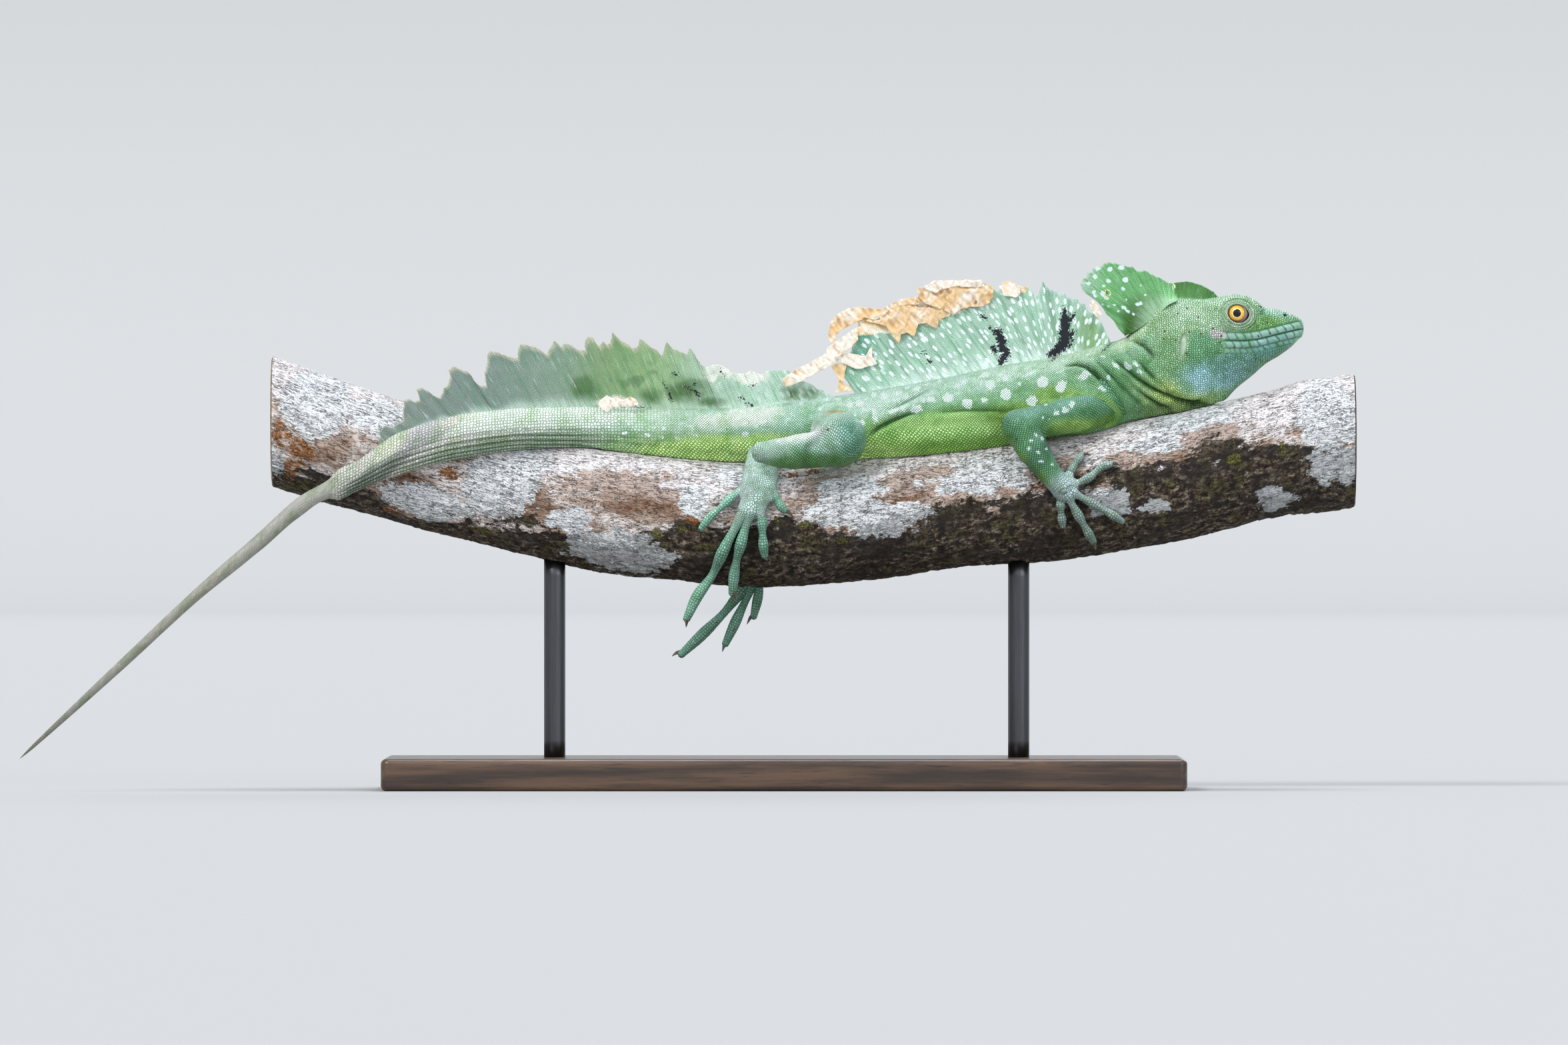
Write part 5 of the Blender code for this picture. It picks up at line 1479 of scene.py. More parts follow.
@dataclass
class Eye:
    """One eyeball and the banded lids round it."""

    side: Side
    form: Trunk
    opening: tuple[float, float, float, float] = (169.95, 178.2, 3.85, 3.45)  # middle x and z, half sizes
    outer: tuple[float, float] = (7.6, 6.5)
    lid: float = 0.5

    def ball(self, finish: Material) -> Piece:
        """A sphere round the axis that looks out of the head, swelling a little over the iris."""
        angle = np.radians(np.linspace(1, 179, 64))[:, None]
        around = ring_angles(64)
        radius = EYE_RADIUS * (1 + 0.045 * hump(np.degrees(angle), 0, 34))
        up, along = radius * np.sin(angle) * np.sin(around), radius * np.sin(angle) * np.cos(around)
        out = np.broadcast_to(radius * np.cos(angle), up.shape)
        points = np.stack([EYE[0] + along, self.side.value * (EYE[1] + out), EYE[2] + up], axis=-1)
        flat = np.stack(np.broadcast_arrays(np.degrees(angle), np.linspace(0, 360, 65)), axis=-1)
        return mesh_piece(f"eyeball_{self.side.word}", [Patch(points, flat)], [finish])

    def head_out(self, x: Array, z: Array) -> Array:
        """How far out the side of the head is at x and z."""
        top, wide, _, half, _, above, _ = smooth_rows(self.form.stations, x.ravel()).T
        share = np.clip(np.abs(z.ravel() - wide) / (top - wide), 0, 0.999)
        return (half * (1 - share**above) ** (1 / above)).reshape(x.shape)

    def lids(self, finish: Material) -> Piece:
        """A collar from the opening to the skin, over the ball, in three swollen bands.

        Its base is the smooth maximum of the head and of a sphere just outside the ball. The
        bands are the absolute value of a sine of the share from the opening to the rim.
        """
        around = ring_angles(200)
        share = np.concatenate([np.linspace(0, 1, 44), [0.97, 0.6, 0.3, 0.04]])[:, None]
        under = np.concatenate([np.zeros(44), np.ones(4)])[:, None]
        cx, cz, long, high = self.opening
        c, s = np.cos(around), np.sin(around)
        long = long * (1 + 0.08 * (c > 0) * c**6)
        x = cx + c * (long + (self.outer[0] - long) * share)
        z = cz + s * (high + (self.outer[1] - high) * share) - 0.10 * c * high * (1 - share)
        beyond = (x - EYE[0]) ** 2 + (z - EYE[2]) ** 2
        ball = EYE[1] + np.sqrt(np.maximum((EYE_RADIUS + self.lid) ** 2 - beyond, 0))
        head = self.head_out(x, z) + 0.25
        near = np.maximum(1.3 - np.abs(ball - head), 0)
        out = np.maximum(ball, head) + near**2 / 5.2
        bands = np.abs(np.sin(math.pi * (share * 2.75 + 0.12))) ** 0.7
        out = out + 0.42 * bands * ease(share, 1.0, 0.75) - 0.9 * ease(share, 0.84, 1.0)
        out = out + 0.05 * np.sin(around * 62) * hump(share, 0.16, 0.12)
        out = np.where(under > 0, out - 1.0, out - 0.35 * ease(share, 0.04, 0.0))
        points = np.stack([x, self.side.value * out, z], axis=-1)
        flat = np.stack(np.broadcast_arrays(share * 4.2, np.linspace(0, 36, 201)), axis=-1)
        tint = np.array((0.34, 0.50, 0.32)) + 0.10 * noise(points, 1.2, 5)[..., None]
        tint = toward(tint, ease(share, 0.14, 0.06) * ease(s, 0.5, -0.1), (0.56, 0.56, 0.58))
        tint = toward(tint, hump(c, 1, 0.16) * ease(share, 0.30, 0.0), (0.40, 0.36, 0.38))
        tint = tint * (1 - 0.80 * ease(bands, 0.42, 0.05))[..., None]
        kinds = np.zeros(points.shape)
        kinds[..., Scales.PEBBLE.value] = 0.8
        far = np.full(x.shape, NOWHERE)
        patch = Patch(points, flat, {"tint": tint, "scales": kinds, "spot": far, "ink": far}, ring=True)
        return mesh_piece(f"eyelids_{self.side.word}", [patch], [finish])


# Limbs: for each segment its points as (x, y of the right limb, z), and its radii
ARM = (
    (((119, -9, 144), (107, -18, 140), (96, -23.5, 138), (87, -26, 136.4)), (7.8, 6.9, 6.2, 5.3)),
    (
        ((87.4, -26.6, 135.6), (93, -28, 127), (98.8, -28.2, 119), (102.4, -27.6, 114.6)),
        (5.2, 5.9, 4.9, 3.3),
    ),
)
LEG = (
    (((17, -6, 133.5), (19.5, -16, 132.5), (21.6, -25, 131.2)), (8.6, 9.6, 9.4)),
    (((20, -27.5, 128.4), (10, -28, 126.8), (-1, -27.5, 126), (-8.6, -26.8, 126.2)), (7, 6.6, 5.9, 3.9)),
)
FAR_LEG = (
    (((17, -6, 133.5), (19.5, -16, 132.5), (21.6, -25, 130.4)), (8.6, 9.6, 9.2)),
    (((20, -28, 127.6), (10, -29.5, 121.5), (0, -29.5, 114.5), (-5, -29, 111.5)), (7, 6.4, 5.2, 4.4)),
)
# Colours of arm and leg: top, middle, underside, palm and digits, laid on by how far each place faces up,
# partly as painted light
ARM_TONES = ((0.20, 0.40, 0.32), (0.11, 0.3, 0.15), (0.14, 0.3, 0.05), (0.5, 0.62, 0.65), (0.28, 0.37, 0.34))
LEG_TONES = ((0.46, 0.64, 0.56), (0.25, 0.45, 0.34), (0.13, 0.3, 0.09), (0.46, 0.61, 0.58), (0.23, 0.45, 0.35))
# Feet: the palm from wrist or ankle to the digits, with its half widths, and the digits.
# A digit is a row of (x, z) points down the branch's side, its thickness and its claw's tip.
HAND = (
    (((101.6, 115.4), (104.4, 113.4), (106.4, 111.4)), (3.9, 5, 3.9)),
    (
        (((105.5, 115.5), (108.6, 121.5), (111.8, 125.6)), 1.45, (115.2, 125)),
        (((107, 113.5), (114.2, 117), (119.6, 121.2), (122.6, 121.9)), 1.45, (126, 121.2)),
        (((107.5, 111.5), (116.8, 106.2), (123, 102.6), (126.4, 100.4)), 1.5, (129.4, 97.8)),
        (((105.5, 110.5), (109.4, 103.6), (113.2, 97), (115.8, 92.6)), 1.6, (116.8, 89)),
        (((103, 111.5), (103.4, 104.6), (104.2, 98.8)), 1.5, (105.4, 95.6)),
    ),
)
FOOT = (
    (((-8.4, 126.6), (-9, 115.5), (-12.4, 104)), (5, 6.6, 4.4)),
    (
        (((-6, 112.5), (-3.6, 109.6), (-1.6, 106.6), (0.4, 104.4)), 1.6, (4.8, 100.6)),
        (((-9, 108.5), (-8.2, 99.5), (-7.8, 92.5), (-7.2, 87.6)), 1.7, (-4.2, 84.8)),
        (((-12.5, 105), (-15.8, 93), (-18.2, 83.6), (-19.4, 73.6)), 1.8, (-17.8, 69.8)),
        (((-14.5, 105), (-22.4, 90), (-27, 80), (-32.4, 72.4), (-36.4, 64)), 1.9, (-36.8, 59.8)),
        (((-13.4, 114.5), (-22, 107), (-28, 101.4), (-31, 97.6)), 1.5, (-32.8, 94.8)),
    ),
)
FAR_FOOT = (
    (((-5.2, 110.5), (-5.6, 103), (-8.8, 94)), (4.2, 6.4, 4.4)),
    (
        (((-3, 101), (1, 97), (4, 93)), 1.6, (7.6, 90)),
        (((-6, 96), (-8.4, 82), (-9.6, 73), (-11.4, 64.6)), 1.7, (-14.6, 60.8)),
        (((-9, 94), (-12.4, 76), (-17.6, 64), (-22, 54.4)), 1.8, (-23.6, 50.4)),
        (((-10.5, 94), (-14.8, 77), (-21.4, 67.4), (-31, 57.6), (-38.6, 50.4)), 1.9, (-43.2, 49.4)),
        (((-10, 103.5), (-17, 98), (-23, 93), (-26, 90)), 1.5, (-28.6, 87)),
    ),
)
HAND_SHIFT = 3.0  # the left hand holds the branch a little further forward
# How much thicker or thinner a toe is, from joint to joint
KNUCKLES = (1.18, 0.86, 1.18, 0.8, 1.12, 0.76)
# Large pale scales of the arm and the leg: x, z, half length, half height, tilt in degrees
LIMB_SPOTS = (
    (101.8, 140.9, 1.2, 1.1, 0), (105, 142, 1.3, 1.1, 0), (107.6, 144.2, 1.1, 1.4, -30),
    (96.5, 139, 0.7, 0.6, 0), (98, 144, 0.6, 0.5, 0), (92, 130.6, 0.8, 0.7, 0), (94.2, 132.6, 0.9, 0.8, 0),
    (96.4, 131.2, 0.9, 0.8, 0), (91.2, 127.6, 0.7, 0.6, 0), (94.8, 126.2, 0.8, 0.7, 0),
    (97.8, 127.4, 0.6, 0.5, 0), (96, 122.6, 0.7, 0.6, 0), (100.2, 121.8, 0.6, 0.5, 0),
    (99, 138.2, 0.5, 0.5, 0), (27.5, 138, 0.7, 1.2, 20), (-6, 131.5, 1, 0.5, 10),
)
# The fold of the thigh
LIMB_CREASE = ((15, 134.5), (11.4, 131), (8.6, 127.6), (7.6, 124), (8.4, 119.5))
# Airbrushed patches on the limbs, as for the body
LIMB_WASHES = (
    (20, 141.6, 7, 0.55, 2, 0.9, 0.9, (0.55, 0.38, 0.18)),  # tan rim of the thigh
    (24, 132, 5.5, 7, 0, 0.9, 0.8, (0.13, 0.33, 0.27)),
    (16, 130.5, 6, 5, 0, 0.9, 0.7, (0.4, 0.56, 0.52)),
    # painted highlight along the top of the shank
    (3, 133.6, 12, 3.8, 4, 0.9, 0.85, (0.94, 0.95, 0.98)),
    (-5, 127, 8, 3.6, 0, 0.9, 0.7, (0.42, 0.56, 0.48)),
    (108, 136, 9, 3, 0, 0.9, 0.8, (0.34, 0.58, 0.14)),
    (-14, 112, 4, 9, 0, 0.9, 0.6, (0.58, 0.68, 0.7)),
    (10, 122.5, 16, 3.4, 0, 0.8, 0.85, (0.12, 0.28, 0.1)),
    (95, 124, 3.6, 8, -30, 0.9, 0.6, (0.06, 0.17, 0.12)),
)


@dataclass
class Limb:
    """One arm or leg, from its root in the body to its claws."""

    name: str
    side: Side
    segments: tuple
    end: tuple
    shift: float
    tones: tuple[Colour, Colour, Colour, Colour, Colour]  # top, middle, underside, palm, digits
    sides: int = 56

    def __post_init__(self) -> None:
        """Works out the smooth forms of the segments and of the palm."""
        self.lengths = []
        for points, radii in self.segments:
            row = [(x + self.shift, -self.side.value * y, z) for x, y, z in points]
            path = even_path(row, 54)
            self.lengths.append(Length(path, between(radii, 54)))
        line, halves = self.end[0]
        self.palm_path = even_path(beside_branch(line, self.side, 3.0, self.shift), 34)
        self.palm_half = between(halves, 34)

    def colours(self, patch: Patch, tone: int, kind: Scales, turning: Array | float = 0.0) -> None:
        """Paints a patch.

        Args:
            patch: The surface.
            tone: 0 for top, middle and underside by how far it faces up, partly painted light, else one of the
                tones, painted lighter facing up and darker facing down.
            kind: Its scales.
            turning: How far each row has turned into the palm's tone and pebbles, (rows, 1).
        """
        up = patch.normals()[..., 2]
        x, y, z = np.moveaxis(patch.points, -1, 0)
        lit = ease(up, -0.6, 0.8)[..., None]
        top, middle, low, palm = self.tones[:4]
        # Painted light and shade: lighter where the surface faces up, darker where it faces down
        if tone:
            tint = np.array(self.tones[tone]) * (0.66 + 0.62 * lit)
        else:
            tint = toward(np.array(low), ease(up, -0.65, -0.10), middle)
            tint = toward(tint, ease(up, 0.15, 0.75), top)
        tint = washed(tint, x, z, LIMB_WASHES)
        turning = turning + 0 * up
        # The palm's tone too is painted lighter where it faces up
        tint = toward(tint, turning, palm * (0.86 + 0.30 * lit))
        tint = tint * (1 + 0.20 * noise(patch.points, 5.0, 8, 3))[..., None]
        if self.name == "leg":
            crease, _ = off_line(x, z, LIMB_CREASE)
            # Painted shade in the fold of the thigh
            tint = tint * (1 - 0.34 * hump(crease, 0, 1.6) * ease(np.abs(y), 22, 28))[..., None]
        kinds = np.zeros(patch.points.shape)
        kinds[..., kind.value] = 1 - turning
        kinds[..., Scales.PEBBLE.value] += turning
        patch.fields = {
            "tint": tint,
            "scales": kinds,
            "spot": off_spots(x, z, LIMB_SPOTS),
            "ink": np.full(x.shape, NOWHERE),
            "mites": np.full(x.shape, 0.02),
        }

    def segment_patches(self, trunk: Trunk) -> list[Patch]:
        """Upper and lower segment, each swelling into the next, and the upper one into the body."""
        out = []
        palm = Length(self.palm_path, np.minimum(self.palm_half, 3.2))
        for k, length in enumerate(self.lengths):
            facing = np.array((0.0, self.side.value, 0.35))
            patch = tube_patch(length.path, length.radius, self.sides, facing, ends=(0.9, 0.9))
            x, y, z = np.moveaxis(patch.points, -1, 0)
            crease, share = off_line(x, z, LIMB_CREASE)
            fade = np.clip(np.sin(math.pi * share), 0, 1) * ease(np.abs(y), 22, 28)
            fold = fade * (0.5 * hump(crease, 4.5, 3.0) - 0.6 * hump(crease, 0, 1.7))
            patch.pushed(0.22 * noise(patch.points, 7.0, 11 + k, 3) + fold)
            others = [trunk, self.lengths[1]] if k == 0 else [self.lengths[0], palm]
            patch.points = kept_off_bark(blended(patch.points, patch.normals(), others, 4.0))
            turning = ease(np.linspace(0, 1, len(patch.points)), 0.72, 0.98)[:, None] * k
            self.colours(patch, 0, Scales.NET, turning)
            out.append(patch)
        return out

    def foot_patches(self) -> list[Patch]:
        """A flat palm, and five jointed digits with ridged rings of scales."""
        facing = np.array((0.0, self.side.value, 0.2))
        thin = np.interp(np.linspace(0, 1, 34), (0.0, 0.3, 0.65, 1.0), (3.2, 2.8, 2.5, 1.2))
        palm = tube_patch(self.palm_path, self.palm_half, 48, facing, thin, ends=(1.0, 1.2))
        palm.flat = palm.flat * 1.45
        digits, forms = [], []
        for points, thick, _ in self.end[1]:
            places = beside_branch(points, self.side, thick + BARK_ROOM, self.shift)
            places[0] = beside_branch(points[:1], self.side, thick + 1.0, self.shift)[0]
            path = even_path(places, 72)
            radius = thick * between(KNUCKLES, 72)
            forms.append(Length(path, radius))
            run = lengths_along(path)
            ridged = radius * (1 + 0.045 * np.abs(np.sin(math.pi * run / 1.15)) - 0.025)
            middle, _ = branch_at(path[:, 0])
            out = np.column_stack([0 * middle, path[:, 1], path[:, 2] - middle])
            digit = tube_patch(path, ridged, 22, out, ends=(1.0, 0.9))
            digit.flat = digit.flat[..., ::-1] * np.array((1.3, 1.15))
            digits.append(digit)
        last = self.lengths[-1]
        core = Length(self.palm_path, np.full(34, 2.7))
        palm.points = kept_off_bark(blended(palm.points, palm.normals(), [last, *forms], 2.4))
        self.colours(palm, 3, Scales.PEBBLE)
        for digit in digits:
            digit.points = kept_off_bark(blended(digit.points, digit.normals(), [core], 2.0), 0.25)
            root = ease(np.linspace(0, 1, len(digit.points)), 0.30, 0.05)[:, None]
            self.colours(digit, 4, Scales.BAND, root)
        return [palm, *digits]

    def build(self, trunk: Trunk, skin: Material, horn: Material) -> tuple[Piece, Piece]:
        """Makes the limb's skin and its claws."""
        patches = self.segment_patches(trunk) + self.foot_patches()
        limb = mesh_piece(f"skin_{self.name}_{self.side.word}", patches, [skin])
        claws = mesh_piece(f"claws_{self.name}_{self.side.word}", self.claw_patches(), [horn])
        return limb, claws

    def claw_patches(self) -> list[Patch]:
        """Each claw is a tube from inside the digit's end to a point, arched away from the bark."""
        out = []
        for points, thick, claw in self.end[1]:
            places = beside_branch([*points[-2:], claw], self.side, thick + BARK_ROOM, self.shift)
            last = places[1] - 0.12 * (places[1] - places[0])
            tip = last + 0.80 * (beside_branch([claw], self.side, 0.7, self.shift)[0] - last)
            bend = (last + tip) / 2 + np.array((0, self.side.value * 1.0, 0.6))
            path = even_path([last, bend, tip], 22)
            share = np.linspace(0, 1, 22)
            radius = thick * (0.50 * (1 - share) ** 0.8) + 0.10
            out.append(tube_patch(path, radius, 12, np.array((0.0, self.side.value, 0.3)), ends=(0.6, 1.0)))
        return out


@dataclass
class Sheet:
    """A thin sheet of two faces between a root line and a rim, closed round its edges."""

    roots: Array
    rims: Array
    rows: int = 40

    def patch(self, thick: Callable, sway: Callable, power: float = 1.0) -> Patch:
        """Makes the sheet.

        Each column runs straight from its root to its rim. Half the thickness is added along Y
        on one face and taken off on the other, and the two faces join over the rim.

        Args:
            thick: Gives the thickness from the share up the column and the column's number.
            sway: Gives the sideways bend from the same.
            power: Above 1, crowds the rows towards the rim.

        Returns:
            The patch, with fields share and column for painting.
        """
        columns = len(self.roots)
        up = 1 - (1 - np.linspace(0, 1, self.rows)) ** power
        share = np.concatenate([up, up[::-1]])[None, :] * np.ones((columns, 1))
        face = np.concatenate([np.ones(self.rows), -np.ones(self.rows)])[None, :]
        column = np.arange(columns)[:, None] * np.ones((1, 2 * self.rows))
        points = self.roots[:, None] * (1 - share[..., None]) + self.rims[:, None] * share[..., None]
        points[..., 1] += sway(share, column, points) + face * thick(share, column, points) / 2
        along = lengths_along(self.roots + 0.6 * (self.rims - self.roots))[:, None] * np.ones(share.shape)
        tall = np.linalg.norm(self.rims - self.roots, axis=1)[:, None] * share
        flat = joined(np.stack([along, tall], axis=-1))
        return Patch(points, flat, {"share": share, "column": column})


def ray_feet(trunk: Trunk, x: Array, z: Array, lean: Array, sunk: float) -> Array:
    """Where rays that end at x and z leave the back.

    A ray slants back by its lean in degrees, and its foot is where it meets the line of the
    back, found by repeated steps, then a little further in.
    """
    slant = np.tan(np.radians(lean))
    foot = x.copy()
    for _ in range(8):
        top, middle = trunk.back(foot)
        foot = x + slant * (z - top)
    top, middle = trunk.back(foot)
    return np.column_stack([foot + slant * sunk, middle, top - sunk])


def jagged(line: Sequence, step: float, rough: float, seed: int) -> Array:
    """A rim of straight parts sampled evenly, with small random teeth across it."""
    pts = np.asarray(line, float)
    count = int(lengths_along(pts)[-1] / step)
    path = even_path(pts, count, smooth=False)
    along = np.gradient(path, axis=0)
    across = np.column_stack([-along[:, 1], along[:, 0]])
    across /= np.maximum(np.linalg.norm(across, axis=1), 1e-9)[:, None]
    seeds = np.column_stack([lengths_along(path), 0 * path])
    return path + across * (rough * noise(seeds, 1.1, seed, 2))[:, None]


# Rim of the sail on the back, from the nape to the hips: (x, z)
BACK_RIM = (
    (122.6, 167.2), (121.4, 170.4), (120, 173.2), (118.6, 175.6), (117.4, 176.6), (116, 178.4),
    (114.8, 179), (113.6, 181), (112.2, 182.4), (111.2, 182), (110, 184.2), (108.6, 184), (106.2, 184.8),
    (105, 186.2), (103.2, 185.6), (101.8, 186.8), (99.8, 187.2), (98.4, 188.6), (96.8, 190.6), (96.2, 188),
    (95, 184.8), (93.8, 184.9), (92.8, 187.4), (90.8, 188.6), (88.4, 188.8), (86.6, 189.8), (84, 190.6),
    (81.8, 189.6), (81, 187.6), (80, 186.4), (78.6, 187.6), (77.6, 189), (75.8, 189.6), (74.2, 190.6),
    (70, 190.9), (62, 190.7), (57, 190.2), (53.6, 188.4), (50.2, 187.6), (50, 186.4), (52.2, 185.2),
    (49, 184.4), (44, 183.4), (39.8, 181.2), (36, 179.8), (31, 180.4), (27.4, 180.2), (27, 177),
    (27.9, 174), (26.9, 171), (26.6, 168), (25.4, 165), (23.4, 162), (22, 158.8), (22.4, 155),
    (25.6, 150.2), (27.6, 146.4),
)
# How far the sail's rays slant back: x of the rim and degrees
BACK_LEAN = ((22, 38), (41, 38), (55, 37), (66, 35), (81, 28), (90, 19), (100, 8), (113, -6), (121, -16))
# Lower edge of the sail's dead margin: (x, z)
DRY_LINE = (
    (24, 170), (37, 170.8), (49.8, 174.6), (56.5, 173.6), (62, 177.2), (69, 180.4), (77.3, 183.2),
    (79, 188.5), (81.5, 186.8), (90.5, 185.4), (92, 190), (125, 200),
)
# Rim of the fin on the tail, from the hips back: (x, z)
TAIL_RIM = (
    (17.5, 148.5), (12.2, 150.4), (9.6, 152.2), (4.8, 153.4), (3.4, 155.6), (1.6, 157), (-4, 157.2),
    (-6.6, 156.8), (-8.4, 155.4), (-12.6, 157), (-14.6, 155.8), (-19, 156.2), (-21.6, 158), (-24.4, 159.4),
    (-27, 159), (-29.2, 158), (-31.2, 159.4), (-34, 163.6), (-35.5, 165.8), (-36.3, 163.2), (-39, 164.2),
    (-41.6, 165), (-44, 168), (-44.8, 164.8), (-45.4, 163), (-46.6, 163), (-47.8, 164.8), (-50.2, 166),
    (-52.6, 168.2), (-54, 169), (-54.6, 166), (-56.4, 165.4), (-59, 167.2), (-61.6, 168.6), (-62.8, 170),
    (-64.3, 171.5), (-65, 167.4), (-66.4, 166.8), (-67.8, 168), (-69.6, 166), (-70.8, 168), (-72, 169.4),
    (-73.6, 169.6), (-74.8, 167.2), (-74.6, 164.6), (-76.6, 164.6), (-79, 166), (-81.4, 167.2),
    (-82.8, 167), (-83.4, 165.6), (-84.6, 167), (-86, 168.5), (-87.2, 166.2), (-89, 163), (-90.4, 164.2),
    (-93, 165.6), (-96.6, 166.6), (-98.6, 166.8), (-99.6, 164.8), (-99.6, 162), (-101.6, 161.6),
    (-104, 162.4), (-107.8, 163.8), (-110.2, 164.2), (-111, 162.8), (-111, 159.6), (-112, 156.4),
    (-111.4, 151), (-113.6, 151.2), (-116, 153.2), (-117.8, 156), (-120.4, 157.2), (-123.6, 158.4),
    (-125.2, 157), (-124.8, 154), (-125.2, 151.8), (-127, 150.2), (-128.6, 146.6), (-130.4, 147.2),
    (-132.8, 149.2), (-135.8, 150.4), (-137.2, 149.8), (-136.6, 147.4), (-136, 145.6), (-138, 145.2),
    (-140.4, 146.1), (-142, 145.4), (-142.2, 142.2), (-142, 138), (-144, 137), (-146.6, 135.6),
    (-149.6, 136), (-151.2, 133.6), (-150.8, 132.4), (-151.4, 130),
)
# x, and how far the rays of the tail's fin lean there, in degrees
TAIL_LEAN = ((-150, 40), (-100, 28), (-50, 21), (15, 28))
# Colours along the tail's fin: x, red, green, blue
FIN_TONES = (
    (-152, 0.21, 0.24, 0.22), (-115, 0.21, 0.27, 0.24), (-85, 0.24, 0.33, 0.25), (-66, 0.24, 0.37, 0.18),
    (-45, 0.34, 0.50, 0.26), (-32, 0.42, 0.58, 0.42), (-10, 0.50, 0.68, 0.56), (18, 0.56, 0.70, 0.62),
)
# Dark mossy stains on the tail's fin: x, z, half length, half height
FIN_STAINS = (
    (-74, 150.5, 5, 4.6), (-50, 147.4, 4.4, 3), (-37, 149.4, 7, 5), (-28, 144.8, 6, 2), (3, 148.6, 4, 3),
    (10, 148.6, 3.4, 2.4),
)
# Black patches on the sail: (x, z, half width) along each
INK = (
    (
        (105.2, 180.2, 0.3), (105.1, 177.6, 1.2), (105.4, 173, 1.6), (105.4, 168.6, 2.1),
        (103.8, 165.8, 1.9), (101.4, 163.9, 1.2), (99.6, 162.8, 0.8),
    ),
    ((108.8, 178.4, 0), (107.8, 176.4, 0.6), (105.8, 175.4, 0.9)),
    ((108.6, 171.6, 0.5), (107.2, 170.6, 0.6), (107.8, 167, 0.4), (105.6, 166.4, 0.8)),
    (
        (77, 173.2, 0), (78.8, 171.4, 0.6), (80.4, 171.6, 1.1), (81.4, 168.4, 1.4), (82, 165, 1.3),
        (83.8, 163.4, 0.9), (81.8, 161.2, 1.2), (81.2, 159.8, 0.8),
    ),
    ((84, 166.4, 0), (84.2, 162.6, 0.4)),
    ((78.4, 166, 0.5), (79, 164.2, 0.6)),
    ((74.6, 177.1, 0.35), (75.6, 176.8, 0.3)),
    ((52, 163.8, 0.1), (52.6, 163.4, 0)),
    ((54.2, 161, 0.1), (55, 159.8, 0)),
)
# Dark scabs on the tail's fin: (x, z, half width) along each
SCABS = (
    ((-12.4, 151.4, 0.5), (-11.8, 151.3, 0.5)),
    ((-16, 146.5, 0.5), (-15.2, 146.1, 0.5)),
    ((-14.2, 144.9, 0.2), (-12.2, 143.8, 0.4)),
    ((-23.8, 156.6, 0.2), (-22.5, 155.2, 0.4)),
    ((-41.2, 155.8, 0.6), (-40.6, 155.4, 0.4)),
    ((-50.4, 143.4, 0.1), (-55, 142.5, 0.4), (-60, 142.9, 0.1), (-64.8, 142.6, 0.4)),
    ((-46, 153.4, 0), (-43.8, 150.4, 0.1), (-42, 146, 0.5)),
    ((-37, 150.6, 0.1), (-33.6, 149.4, 0.5), (-31.8, 147.4, 0.3)),
    ((-34.4, 153.6, 0.1), (-33.4, 151.4, 0.2)),
)
